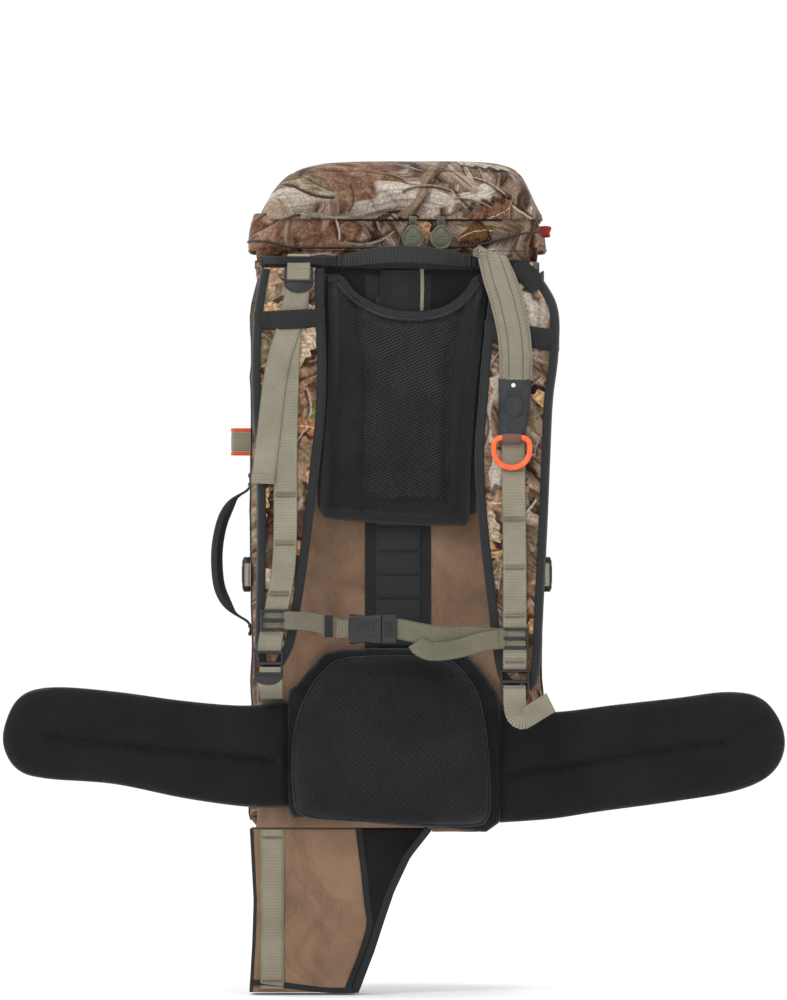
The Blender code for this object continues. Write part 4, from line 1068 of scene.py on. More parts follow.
def build_bag():
    soup = Soup()
    levels = [BAG_BASE + 0.0185 * (k / 5) for k in range(5)] + [-0.599 + (0.599 - 0.0045) * k / 92 for k in range(93)]
    outer = [bag_ring(z) for z in levels]
    base_rings = []
    for draw, lift in ((0.06, -0.0006), (0.03, -0.0003), (0.01, 0.0)):
        base_rings.append([Vector((p.x * (1 - draw / 0.15), (p.y - BAG_MIDDLE) * (1 - draw / 0.1) + BAG_MIDDLE,
            -0.6178 + lift * 0.5 + 0.0006 * jitter(p, 30, 5))) for p in outer[0]])
    rim = [[p + Vector((0, 0, 0.0015)) for p in bag_ring(levels[-1], 0.0015)], bag_ring(levels[-1], 0.0032)]
    inner = [bag_ring(z, 0.0034, 0.8) for z in levels[::-1][1:-5]]
    floor = [[Vector((p.x * f, (p.y - BAG_MIDDLE) * f + BAG_MIDDLE, -0.6115 + 0.001 * jitter(p * f, 25, 6)))
        for p in inner[-1]] for f in (0.97, 0.6, 0.2)]
    rings = base_rings + outer + rim + inner + floor
    verts, faces = lofted(rings)
    split = len(base_rings) + len(outer)
    soup.add(verts, faces, None, [1 if min(face) // BAG_AROUND >= split else 0 for face in faces])
    soup.done("bag_body", [CAMO_BAG, LINING], "pack", "camouflage_cloth",
        ("back_panel", "side_panel_left", "side_panel_right", "front_panel", "base_panel"), 60)

    # bindings sewn down the four vertical seams and round the base, and stitching beside them
    trim = Soup()
    for target in ((0.1545, 0.0545), (-0.1545, 0.0545), (0.104, 0.245), (-0.104, 0.245)):
        pick = min(range(BAG_AROUND), key=lambda i: (outer[40][i].x - target[0]) ** 2
            + (outer[40][i].y - target[1]) ** 2)
        line = []
        for row in outer[3:]:
            p = row[pick]
            a, b = row[pick - 1], row[(pick + 1) % BAG_AROUND]
            out = (b - a).cross(Vector((0, 0, 1))).normalized()
            line.append((p, out))
        seam = [p + out * 0.0004 for p, out in line]
        trim.add(*tube(seam[::2], 0.0013, 6))
        for off in (1, -1):
            beside = [row[(pick + off) % BAG_AROUND] + out * 0.0003 for row, (_, out) in zip(outer[3:], line)]
            trim.add(*dashes(beside, *BAG_STITCH), None, 1)
    low = [p + (p - Vector((0, BAG_MIDDLE, p.z))).normalized() * 0.0002 for p in outer[4]]
    trim.add(*tube(low, 0.0013, 6, True))
    trim.done("bag_seams", [PIPING, TAN_THREAD], "pack", "camouflage_cloth", (), 180)

    # drain grommets in the base
    base = Soup()
    for x in (-0.09, 0.09):
        ring = [Vector((x + 0.006 * math.cos(a * math.pi / 12), 0.15 + 0.006 * math.sin(a * math.pi / 12),
            -0.6187)) for a in range(24)]
        base.add(*tube(ring, 0.0013, 8, True))
    base.done("drain_grommets", STEEL, "pack", "stay_aluminium", (), 180)

    # the tab of the base that runs forward under the sleeve
    tab = [(0.037, SLEEVE_FRONT + 0.0002), (0.144, SLEEVE_FRONT + 0.0002), (0.15, SLEEVE_FRONT + 0.006),
        (0.15, 0.046), (0.037, 0.046)]
    flat = Soup()
    outline = even_line(tab, 0.004, True)
    rows = []
    for z, draw in ((-0.6172, 0.001), (-0.6168, 0.0002), (-0.6136, 0.0002), (-0.6132, 0.001)):
        rows.append([Vector((x, y, z + 0.0003 * jitter((x, y, 0), 60, 4))) for x, y in inset(outline, draw)])
    flat.add(*lofted(rows))
    flat.done("sleeve_floor", BROWN, "pack", "brown_cloth", (), 50)
    return outer


def collar_point(plan, k, z, share):
    """The collar's cloth: pleats that deepen towards the drawcord at its top."""
    x, y = plan[k]
    ix, iy = COLLAR_IN[k]
    out = Vector((x - ix, y - iy, 0)).normalized()
    n = len(plan)
    phase = 2 * math.pi * k / n
    pleat = math.sin(phase * 46 + 1.7 * math.sin(phase * 5)) * 0.5 + 0.5 * math.sin(phase * 29 + 2.0)
    depth = 0.0002 + 0.0019 * share ** 1.3
    return Vector((x, y, z)) - out * (0.0016 + depth * (1 - pleat) * 0.8)


COLLAR_IN = []


def build_collar():
    plan = even2(rounded(0.1485, 0.044, 0.2395, 0.015, 0.05, 8), 340)
    COLLAR_IN.extend(inset(plan, 0.004))
    levels = [(-0.0196, 0.0), (-0.012, 0.1), (-0.004, 0.3), (0.004, 0.5), (0.012, 0.72), (0.019, 0.9),
        (0.0235, 1.0), (0.0258, 0.75), (0.0285, 0.75), (0.03, 0.9)]
    outer = [[collar_point(plan, k, z, s) for k in range(len(plan))] for z, s in levels]
    inner = []
    for row in outer[::-1]:
        inner.append([Vector((p.x - 0.0011 * (p.x / 0.149), p.y - 0.0011 * ((p.y - 0.142) / 0.1), p.z)) for p in row])
    inner[0] = [p + Vector((0, 0, -0.0004)) for p in inner[0]]
    collar = Soup().add(*lofted(outer + inner, closed_v=True)).done("collar_cloth", LINING, "pack",
        "black_webbing", ("collar",), 180)
    cord_path = [Vector((x, y, 0.0271)) for x, y in even2(inset(plan, 0.0048), 150)]
    Soup().add(*tube(cord_path, 0.0014, 8, True)).done("drawcord_ring", OLIVE_THREAD, "pack", "olive_webbing",
        ("drawcord",), 180)
    Soup().add(*dashes([collar_point(plan, k, 0.0245, 0.85) for k in range(len(plan))], 0.004, 0.6, 0.0004,
        True)).done("collar_stitching", BLACK_THREAD, "pack", "black_webbing", (), 180)


# ---- front pocket and the fittings on the bag's far side ----------------------------------------------------
ZIP_Z = -0.27


def build_front_pocket():
    outline = even2(rounded(0.112, -0.56, -0.235, 0.035, 0.025, 8), 150)
    back = 0.2522
    rings = []
    deeper = inset(outline, 0.014)
    steps = [(0.0, 0.0), (0.0, 0.01), (0.0, 0.02), (0.0006, 0.026), (0.003, 0.0315), (0.0075, 0.0352),
        (0.014, 0.0372), (0.024, 0.038), (0.04, 0.0384), (0.062, 0.0385), (0.085, 0.0384)]
    for draw, rise in steps:
        small = inset(outline, draw) if draw < 0.02 else None
        ring = []
        for k, (x, z) in enumerate(outline):
            if small:
                px, pz = small[k]
            else:
                f = 1 - (draw - 0.014) / 0.098
                sx, sz = deeper[k]
                px, pz = sx * f, -0.3975 + (sz + 0.3975) * (1 - (draw - 0.014) / 0.148)
            wrinkle = jitter((px * 1.5, rise * 3, pz), 24.0, 11) * 0.0016 + jitter((px, rise, pz * 2.0), 50.0,
                12) * 0.0007
            near_zip = 1 - smooth_step(0.008, 0.02, abs(pz - ZIP_Z)) if draw > 0.005 else 0.0
            out = wrinkle * smooth_step(0.004, 0.03, rise) * (1 - near_zip)
            sag = 0.0018 * smooth_step(-0.3, -0.5, pz) * smooth_step(0.02, 0.038, rise)
            ring.append(Vector((px * (1 + out * 2), back + rise + out + sag - 0.0006, pz)))
        rings.append(ring)
    pocket = Soup().add(*lofted(rings)).done("front_pocket_body", CAMO_POCKET, "pack", "camouflage_cloth",
        ("front_pocket",), 180, sub=1)
    sculpt(pocket, lambda p, n: Vector((0, -0.003 * math.exp(-((p.z - ZIP_Z) / 0.0045) ** 2)
        * smooth_step(0.108, 0.098, abs(p.x)) * smooth_step(0.272, 0.282, p.y), 0)))
    tree = surface_of(pocket)
    trim = Soup()
    edge = [Vector((x, back + 0.0272, z)) for x, z in inset(outline, -0.0003)]
    trim.add(*tube(edge, 0.0016, 8, True))
    edge = [Vector((x, back + 0.0012, z)) for x, z in inset(outline, -0.0006)]
    trim.add(*tube(edge, 0.0012, 6, True))
    trim.add(*dashes([(x, back + 0.0232, z) for x, z in inset(outline, -0.0002)], 0.0042, 0.6, 0.0004, True), None, 1)

    def front_of(x, z, lift):
        hit = tree.ray_cast(Vector((x, 1.0, z)), Vector((0, -1, 0)))
        return Vector((x, (hit[0].y if hit[0] is not None else 0.288) + lift, z))
    for z in (-0.264, -0.276):
        trim.add(*dashes([front_of(-0.104 + 0.208 * k / 50, z, 0.0003) for k in range(51)], *POCKET_STITCH), None, 1)
    trim.done("front_pocket_seams", [PIPING, TAN_THREAD], "pack", "camouflage_cloth", (), 180)
    # zip: tape and two rows of coils
    zipper = Soup()
    path = [front_of(-0.101 + 0.202 * k / 60, ZIP_Z, 0.0007) for k in range(61)]
    zipper.add(*tape(path, (0, 0, 1), 0.01, 0.0012, 0.006))
    zipper.done("front_zip_tape", BLACK_WEB, "pack", "black_webbing", (), 60)
    Soup().add(*zip_coil([p + Vector((0, 0.001, 0)) for p in path], Vector((0, 0, 1)))).done("front_zip_coil",
        PLASTIC, "pack", "black_plastic", (), 180)
    # slider: a body with a crown, a bail and a pull with a cord grip
    slider = Soup()
    x = -0.09
    m = frame_at((x, path[3].y + 0.0044, ZIP_Z), (1, 0, 0), (0, 0, 1))
    m = m @ Matrix.Rotation(math.pi, 4, "X")
    slider.add(*moved(slab(rounded(0.0042, -0.0038, 0.0038, 0.0016, 0.0016, 3), -0.0012, 0.0012, 0.0006), m))
    bail = [Vector((x, path[3].y + 0.0048, -0.2675)), Vector((x, path[3].y + 0.006, -0.2685)),
        Vector((x, path[3].y + 0.0062, -0.2715)), Vector((x, path[3].y + 0.004, -0.2728))]
    slider.add(*tube(spline(bail, 5), 0.0007, 6))
    pull = rounded(0.0044, -0.3035, -0.2715, 0.003, 0.0042, 5, middle=x)
    m2 = Matrix.Translation((0, 0.2931, 0)) @ UPRIGHT
    slider.add(*moved(slab(pull, -0.0012, 0.0012, 0.0006), m2))
    for k in range(4):
        z = -0.298 + 0.0035 * k
        slider.add(*tube([(x - 0.003, 0.2944, z), (x + 0.003, 0.2944, z)], 0.0006, 6))
    slider.done("front_zip_pull", PLASTIC, "front_zip_slider", "black_plastic", ("front_zip_slider",), 40)


def zip_coil(path, across, pitch=0.0021, half=0.0019):
    """The interlocked coil of a zip as one fine wave that swings from side to side."""
    along = lengths(path)
    count = int(along[-1] / pitch) * 4
    fine = even(path, along[-1] / count)
    wave = []
    for k, p in enumerate(fine):
        a = math.pi / 2 * k
        wave.append(p + Vector(across) * half * math.sin(a))
    return tube(wave, 0.00062, 4)


# ---- side-release buckles -----------------------------------------------------------------------------------
def socket_shape(width):
    """The hollow half in its own axes, mouth at X 0 facing +X: a waisted shell with a rim and a web slot."""
    half, length, thick = width / 2 + 0.005, 0.034, 0.0047
    soup = Soup()
    n = 26
    outer, inner = [], []
    marks = [-length, -length + 0.0012, -0.027, -0.0215, -0.0185, -0.0135, -0.0095, -0.005, -0.0016, -0.0001]
    waist = {-0.0185: 0.0012, -0.0135: 0.0012}
    for a in marks:
        w = half - (0.0014 if a <= -length + 0.0001 else 0.0) - waist.get(a, 0.0)
        t = thick - (0.0012 if a <= -length + 0.0001 else 0.0) + (0.0004 if a > -0.003 else 0.0)
        ring = [Vector((a, y, z)) for y, z in rounded2(w, t, min(0.0034, t * 0.8), n)]
        outer.append(ring)
    for a in (-0.0001, -0.006, -0.014, -0.024):
        ring = [Vector((a, y, z)) for y, z in rounded2(half - 0.0026, 0.003, 0.0014, n)]
        inner.append(ring)
    rings = outer + inner
    soup.add(*lofted(rings))
    # back bar and frame for the webbing, and raised side grips
    for side in (-1, 1):
        soup.add(*tube([(-length + 0.001, side * (half - 0.0016), 0), (-0.027, side * (half - 0.0012), 0)],
            0.0022, 8))
        for k in range(4):
            x = -0.0205 + 0.003 * k
            soup.add(*tube([(x, side * (half - 0.0006), -0.0026), (x, side * (half - 0.0001), 0),
                (x, side * (half - 0.0006), 0.0026)], 0.0005, 5))
    # a raised plate on both faces
    for face in (-1, 1):
        plate = slab(rounded_xy(-0.0225, -0.0075, half * 0.52, 0.0022), face * thick - 0.0006,
            face * thick + 0.0006, 0.0006)
        soup.add(*plate)
    return soup


def rounded2(w, t, r, n):
    """A rounded rectangle in Y and Z with about n points."""
    pts = rounded(w, -t, t, r, r, 4)
    return even2(pts, n * 2)


def rounded_xy(x0, x1, half, r):
    return [(a, b) for b, a in reversed(rounded(half, x0, x1, r, r, 4))]


def clip_shape(width):
    """The pronged half in its own axes: a base outside the mouth, two sprung arms and a guide."""
    half = width / 2 + 0.005
    arm = half - 0.0036
    soup = Soup()
    base = [(0.0165, half - 0.0024), (0.0145, half - 0.0004), (0.003, half), (0.0006, half - 0.0016),
        (0.0006, -half + 0.0016), (0.003, -half), (0.0145, -half + 0.0004), (0.0165, -half + 0.0024)]
    ring_out = smooth2(base, 3, True)
    soup.add(*slab(ring_out[::-1], -0.004, 0.004, 0.0012, 3))
    for side in (-1, 1):
        line = [(0.0006, arm - 0.0036), (-0.008, arm - 0.0024), (-0.0125, arm - 0.001),
            (-0.0165, arm - 0.0012), (-0.0212, arm - 0.0042)]
        path = spline([(a, side * b, 0) for a, b in line], 4)
        soup.add(*tape(path, (0, 0, 1), 0.0052, 0.0026, 0.0018, soft=0.0006))
    soup.add(*tape([(0.0006, 0, 0), (-0.01, 0, 0), (-0.018, 0, 0)], (0, 1, 0), lambda s: 0.0036 - 0.0012 * s,
        0.004, 0.002))
    # grooves of the thumb grip
    for k in range(3):
        x = 0.0052 + 0.003 * k
        for face in (-1, 1):
            soup.add(*tube([(x, -half * 0.55, face * 0.004), (x, half * 0.55, face * 0.004)], 0.0006, 6))
    return soup


def placed(soup, matrix):
    soup.verts = [matrix @ v for v in soup.verts]
    return soup


def web_wrap(centre, along, across, width, reach=0.006, thick=0.0014):
    """Webbing that loops round a bar: two layers and the turn between them."""
    along, across = Vector(along).normalized(), Vector(across).normalized()
    out = along.cross(across).normalized()
    path = [centre + along * reach + out * 0.0021]
    for k in range(9):
        a = math.pi / 2 + math.pi * k / 8
        path.append(centre + along * (0.0021 * math.cos(a)) + out * (0.0021 * math.sin(a)))
    path.append(centre + along * reach - out * 0.0021)
    return tape(path, across, width, thick, 0.0011)


# ---- side straps, handle and loop ---------------------------------------------------------------------------
def build_sides():
    z = -0.345
    for name, side in (("left", -1), ("right", 1)):
        x = side * 0.1612
        matrix = frame_at((x, 0.14, z), (0, 1, 0), (0, 0, 1))
        placed(socket_shape(WEB), matrix).done("side_socket_" + name, PLASTIC, "pack", "black_plastic",
            ("side_strap_" + name,), 40)
        web = Soup()
        s = side * 0.1566
        web.add(*tape(spline([(s, 0.0455, z), (s, 0.07, z), (s + side * 0.0004, 0.088, z), (x, 0.1065, z)], 6),
            (0, 0, 1), WEB, WEB_T, 0.004))
        web.add(*tape(spline([(s + side * 0.0016, 0.08, z), (s + side * 0.0022, 0.092, z),
            (x + side * 0.0018, 0.1065, z)], 6), (0, 0, 1), WEB, 0.0013, 0.004))
        web.done("side_web_" + name, OLIVE_WEB, "pack", "olive_webbing", (), 50)
        tack = Soup()
        for y in (0.0475, 0.0515, 0.082):
            tack.add(*bar_tack((s + side * 0.0014, y, z), (0, 0, 1), (0, 1, 0)))
        tack.done("side_tacks_" + name, OLIVE_THREAD, "pack", "olive_webbing", (), 180)
        placed(clip_shape(WEB), matrix).done("side_clip_body_" + name, PLASTIC, "side_clip_" + name,
            "black_plastic", ("side_clip_" + name,), 40)
        tail = Soup()
        end = side * 0.1572
        tail.add(*tape(spline([(x, 0.153, z), (side * 0.16, 0.16, z), (side * 0.1583, 0.17, z),
            (end, 0.186, z)], 6), (0, 0, 1), WEB, WEB_T, 0.003))
        tail.done("side_clip_web_" + name, OLIVE_WEB, "side_clip_" + name, "olive_webbing", (), 50)
        # the part of the strap that stays sewn to the bag, which the clip's tail meets
        Soup().add(*tape(spline([(side * 0.1556, 0.178, z), (side * 0.1552, 0.192, z),
            (side * 0.15, 0.214, z)], 6), (0, 0, 1), WEB, WEB_T, 0.004)).done("side_strap_anchor_" + name,
            OLIVE_WEB, "pack", "olive_webbing", (), 50)

    handle = Soup()
    face = -0.1573
    path = spline([(face, 0.08, -0.236), (face - 0.0008, 0.08, -0.252), (-0.1735, 0.0795, -0.264),
        (-0.186, 0.079, -0.286), (-0.1922, 0.079, -0.316), (-0.1918, 0.079, -0.346), (-0.187, 0.0795, -0.366),
        (-0.1745, 0.08, -0.385), (face - 0.0008, 0.08, -0.397), (face, 0.08, -0.41)], 8)
    handle.add(*tape(path, lambda s: Vector((0.55 * smooth_step(0.12, 0.3, s)
        * (1 - smooth_step(0.7, 0.88, s)), 1, 0)), lambda s: 0.025
        - 0.01 * smooth_step(0.14, 0.26, s) * (1 - smooth_step(0.74, 0.86, s)),
        lambda s: 0.0022 + 0.005 * smooth_step(0.14, 0.26, s) * (1 - smooth_step(0.74, 0.86, s)), 0.004,
        crown=0.0004, soft=0.0012))
    handle.done("side_handle_web", BLACK_WEB, "pack", "black_webbing", ("side_handle",), 50)
    tack = Soup()
    for z in (-0.239, -0.248, -0.4, -0.408):
        tack.add(*bar_tack((face - 0.0014, 0.08, z), (0, 1, 0), (0, 0, 1)))
    tack.done("side_handle_tacks", BLACK_THREAD, "pack", "black_webbing", (), 180)

    loop = Soup()
    start = -0.156
    y = 0.0525
    path = [Vector((start, y + 0.0012, -0.203)), Vector((-0.17, y + 0.0016, -0.203)),
        Vector((-0.1748, y + 0.0012, -0.203)), Vector((-0.1762, y, -0.203)),
        Vector((-0.1748, y - 0.0014, -0.203)), Vector((-0.17, y - 0.0018, -0.203)),
        Vector((start, y - 0.0014, -0.203))]
    loop.add(*tape(spline(path, 5), (0, 0, 1), 0.0205, 0.0014, 0.0016))
    for edge in (-0.1905, -0.2155):
        loop.add(*tape([p + Vector((0, 0, edge + 0.203)) for p in spline(path, 5)], (0, 0, 1), 0.0042, 0.002,
            0.0016), 1)
    loop.done("side_loop_web", [KHAKI_WEB, ORANGE_WEB], "pack", "orange_edged_webbing", ("side_loop",), 50)


# ---- lid ----------------------------------------------------------------------------------------------------
LID_AROUND, LID_MIDDLE = 190, 0.145
SKIRT_LOW, SKIRT_TALL = 0.0012, 0.039
# height, half width, shift in X, back, front
LID_ROWS = [
    (0.035, 0.1515, 0.004, 0.0218, 0.269), (0.04, 0.1496, 0.0038, 0.0212, 0.2688),
    (0.05, 0.1446, 0.0034, 0.021, 0.2678),
    (0.06, 0.1392, 0.0044, 0.0222, 0.2658), (0.07, 0.1335, 0.0062, 0.0252, 0.262),
    (0.078, 0.1278, 0.0082, 0.03, 0.2565),
    (0.0845, 0.1212, 0.01, 0.0368, 0.25), (0.0895, 0.112, 0.0118, 0.045, 0.242),
    (0.0935, 0.099, 0.0136, 0.056, 0.231),
    (0.096, 0.085, 0.015, 0.071, 0.216), (0.0976, 0.062, 0.016, 0.092, 0.196), (0.0983, 0.036, 0.016, 0.118, 0.172),
]


def lid_ring(z, half, shift, back, front, count=LID_AROUND, corner=0.05):
    depth = (front - back) / 2
    r_back, r_front = min(0.024, depth * 0.8, half * 0.8), min(corner + 0.006, depth * 0.9, half * 0.9)
    plan = rounded(half, back, front, r_back, r_front, 10, middle=shift)
    return [Vector((x, y, z)) for x, y in even2(plan, count)]


def rolled(ring):
    """Starts a ring at the middle of its back, so that rings line up."""
    k = min(range(len(ring)), key=lambda i: abs(ring[i].x) + (10 if ring[i].y > 0.1 else 0))
    return ring[k:] + ring[:k]


def build_lid_pocket():
    """Flap with a hem, and a dome with sags and pulls."""
    dense = []
    rows = spline([(z, half, shift) for z, half, shift, *_ in LID_ROWS], 3)
    deep = spline([(back, front, 0) for *_, back, front in LID_ROWS], 3)
    for (z, half, shift), (back, front, _) in zip(rows, deep):
        ring = rolled(lid_ring(z, half, shift, back, front))
        mid = Vector((shift, LID_MIDDLE, z))
        out_ring = []
        for p in ring:
            out = (p - mid).normalized()
            up = smooth_step(0.04, 0.07, z)
            side = smooth_step(0.09, 0.14, abs(p.x))
            folds = jitter((p.x, p.y * 1.2, p.z * 1.6), 13.0, 21) * 0.0032 + jitter((p.x * 1.6, p.y,
                p.z * 0.8), 34.0, 22) * 0.0014 + jitter(p, 70.0, 26) * 0.0005
            pull = -0.0022 * max(0.0, jitter((p.x * 2.0, p.y * 0.8, p.z * 0.7), 22.0, 23)) * (0.35 + side)
            out_ring.append(p + out * (folds * (0.5 + 0.5 * up) + pull))
        dense.append(out_ring)
    mid_top = Vector((0.016, LID_MIDDLE, 0.0985))
    for f in (0.66, 0.5, 0.45):
        dense.append([mid_top.lerp(p, f) for p in dense[-1]])
    # underside: hem turned up inside, then the pocket's floor
    hem = [[p + Vector((0, 0, -0.0012)) - flat_out(p, 0.0006) for p in dense[0]],
        [p - flat_out(p, 0.0026) + Vector((0, 0, 0.0002)) for p in dense[0]],
        [p - flat_out(p, 0.003) + Vector((0, 0, 0.006)) for p in dense[0]]]
    floor = [[Vector((p.x * f, LID_MIDDLE + (p.y - LID_MIDDLE) * f, 0.0465)) for p in dense[0]]
        for f in (0.955, 0.6, 0.2)]
    rings = floor[::-1] + hem[::-1] + dense
    soup = Soup()
    verts, faces = lofted(rings)
    mats = [1 if min(face) // LID_AROUND < len(floor) else 0 for face in faces]
    soup.add(verts, faces, None, mats)
    pocket = soup.done("lid_pocket_body", [CAMO_LID, LINING], "lid", "camouflage_cloth", ("lid_pocket",), 180)
    # seam round the dome where the top panel joins
    sculpt(pocket, lambda p, n: n * (-0.001 * math.exp(-((p.z - 0.0855) / 0.0018) ** 2)) if p.z < 0.091 else Vector())
    pocket.data.shade_smooth()
    tree = surface_of(pocket)
    trim = Soup()
    seam = []
    for k in range(240):
        a = 2 * math.pi * k / 240
        far = Vector((0.3 * math.sin(a), LID_MIDDLE - 0.3 * math.cos(a), 0.0852))
        hit = tree.ray_cast(far, (Vector((0.001, LID_MIDDLE, 0.0852)) - far).normalized())
        if hit[0] is not None:
            seam.append(hit[0] + hit[1] * 0.0001)
    trim.add(*tube(smoothed(seam, True), 0.0007, 6, True), mat=2)
    hemline = [p + flat_out(p, 0.0004) + Vector((0, 0, 0.0048)) for p in dense[0]]
    trim.add(*dashes(smoothed([snapped(tree, p, 0.0003) for p in hemline], True), *LID_STITCH, True), None, 1)
    above = [snapped(tree, p + Vector((0, 0, 0.0042)), 0.0003) for p in seam]
    trim.add(*dashes(smoothed(above, True), *LID_STITCH, True), None, 1)
    trim.done("lid_seams", [PIPING, TAN_THREAD, CAMO_LID], "lid", "camouflage_cloth", (), 180)


def build_lid_band():
    """Lower band, hollow, with gathered corners. Returns its outer rings and their heights."""
    outer = []
    levels = [0.0012, 0.0028, 0.005, 0.0085, 0.0125, 0.0165, 0.0205, 0.025, 0.03, 0.0345, 0.038, 0.0405]
    for z in levels:
        share = (z - SKIRT_LOW) / SKIRT_TALL
        half = 0.1578 - 0.008 * share ** 1.4
        ring = rolled(lid_ring(z, half, 0.0006 - 0.003 * share, 0.0272 - 0.0012 * math.sin(math.pi * share),
            0.2662 + 0.001 * math.sin(math.pi * share), corner=0.054))
        made = []
        for p in ring:
            side = smooth_step(0.12, 0.15, abs(p.x))
            wave = jitter((p.x, p.y, p.z * 1.5), 20.0, 31) * 0.0014 + jitter((p.x * 1.8, p.y * 1.8, p.z * 0.5),
                34.0, 32) * 0.0013 * (0.4 + side)
            made.append(p + flat_out(p, wave + 0.0012 * math.sin(math.pi * share) * side))
        outer.append(made)
    inner = [[p - flat_out(p, 0.0026) for p in ring] for ring in outer[::-1]]
    soup = Soup()
    verts, faces = lofted(outer + inner, closed_v=True)
    rows_out = len(outer)
    mats = [0 if (min(face) // LID_AROUND) < rows_out - 1 and (max(face) // LID_AROUND) < rows_out else 1
        for face in faces]
    soup.add(verts, faces, None, mats)
    soup.done("lid_band", [CAMO_SKIRT, LINING], "lid", "camouflage_cloth", ("lid_skirt",), 180)
    # piping along the band's lower seam: low at the back, rising to the corners
    trim = Soup()
    piping = []
    for k, p in enumerate(outer[2]):
        corner = smooth_step(0.06, 0.15, p.x) if p.x > 0 else smooth_step(0.105, 0.152, -p.x)
        if p.y < 0.09:
            lift = (0.0165 if p.x > 0 else 0.0068) * corner
        else:
            lift = (0.0165 if p.x > 0 else 0.0068) * corner * (1 - smooth_step(0.09, 0.15, p.y))
        z = 0.004 + lift
        share = (z - SKIRT_LOW) / SKIRT_TALL
        ring_p = outer_at(outer, levels, k, z)
        piping.append(ring_p + flat_out(ring_p, 0.0006))
    trim.add(*tube(smoothed(piping, True), 0.0013, 6, True))
    trim.add(*dashes(smoothed([outer_at(outer, levels, k, p.z + 0.0036) + flat_out(p, 0.0002) for k,
        p in enumerate(piping)], True), 0.004, 0.62, 0.00034, True), None, 1)
    low = [p + flat_out(p, 0.0002) for p in outer[0]]
    trim.add(*tube(low, 0.001, 6, True), mat=2)
    trim.done("lid_band_piping", [PIPING, TAN_THREAD, CAMO_SKIRT], "lid", "camouflage_cloth", (), 180)

    return outer, levels


def build_lid_zip(outer, levels):
    """Tape, coil and the two pulls, under the flap."""
    path = [outer_at(outer, levels, k, 0.0368) + flat_out(outer[5][k], 0.0006)
        for k in back_run(outer[5], 0.138) if abs(outer[5][k].x - 0.025) < 0.094]
    Soup().add(*tape(path, (0, 0, 1), 0.0095, 0.0011, 0.006)).done("lid_zip_tape", BLACK_WEB, "lid",
        "black_webbing", (), 60)
    Soup().add(*zip_coil([p + flat_out(p, 0.0008) for p in path], (0, 0, 1))).done("lid_zip_coil", PLASTIC,
        "lid", "black_plastic", (), 180)
    for name, x in (("lid_slider_left", 0.017), ("lid_slider_right", 0.047)):
        y = 0.0222
        soup = Soup()
        body = frame_at((x, y + 0.0005, 0.0332), (1, 0, 0), (0, 0, 1))
        soup.add(*moved(slab(rounded(0.0044, -0.0042, 0.0042, 0.0016, 0.0022, 4), -0.001, 0.0018, 0.0007), body))
        bail = [Vector((x, y + 0.0005, 0.0366)), Vector((x, y - 0.003, 0.0358)),
            Vector((x, y - 0.0032, 0.0318)), Vector((x, y - 0.0008, 0.0308))]
        soup.add(*tube(spline(bail, 5), 0.00075, 6))
        # cord loop down to the teardrop
        cord = []
        for k in range(25):
            a = 2 * math.pi * k / 24
            cord.append(Vector((x + 0.003 * math.sin(a) * (1 + 0.25 * math.cos(a)),
                y - 0.0022 - 0.0002 * math.cos(a), 0.0285 + 0.0062 * math.cos(a))))
        soup.add(*tube(cord[:-1], 0.00085, 6, True))
        # moulded teardrop: a rim round a thinner web, with three grip ridges
        drop = []
        for k in range(48):
            a = 2 * math.pi * k / 48
            r = 0.0118 - 0.0003 * math.cos(a)
            point = max(0.0, math.cos(a)) ** 6 * 0.0032
            drop.append((r * math.sin(a), (r + point) * math.cos(a)))
        m = Matrix.Translation((x, y - 0.0038, 0.0135)) @ UPRIGHT
        plate = slab(drop, -0.0009, 0.0009, 0.0005)
        soup.add(*moved(plate, m))
        rim = [Vector((a * 0.9, b * 0.9, 0.0004)) for a, b in drop]
        soup.add(*moved(tube(rim, 0.0016, 8, True), m))
        for k in (-1, 0, 1):
            soup.add(*moved(tube([(-0.0045 + 0.0008 * abs(k), 0.0035 * k - 0.001, 0.0009),
                (0.0045 - 0.0008 * abs(k), 0.0035 * k - 0.001, 0.0009)], 0.0006, 6), m))
        soup.done(name + "_pull", PULL, name, "olive_webbing", (name,), 40)


def build_lid_tab():
    """Red tab caught in the right corner's seam."""
    path = [Vector((0.153, 0.04, 0.0215)), Vector((0.158, 0.0385, 0.022)), Vector((0.1618, 0.0375, 0.0215)),
        Vector((0.1628, 0.0385, 0.0205)), Vector((0.16, 0.04, 0.02)), Vector((0.1545, 0.0412, 0.02))]
    Soup().add(*tape(spline(path, 4), (0.15, 0.0, 1), 0.0105, 0.001, 0.0012)).done("lid_corner_tab", RED_TAB,
        "lid", "camouflage_cloth", (), 60)


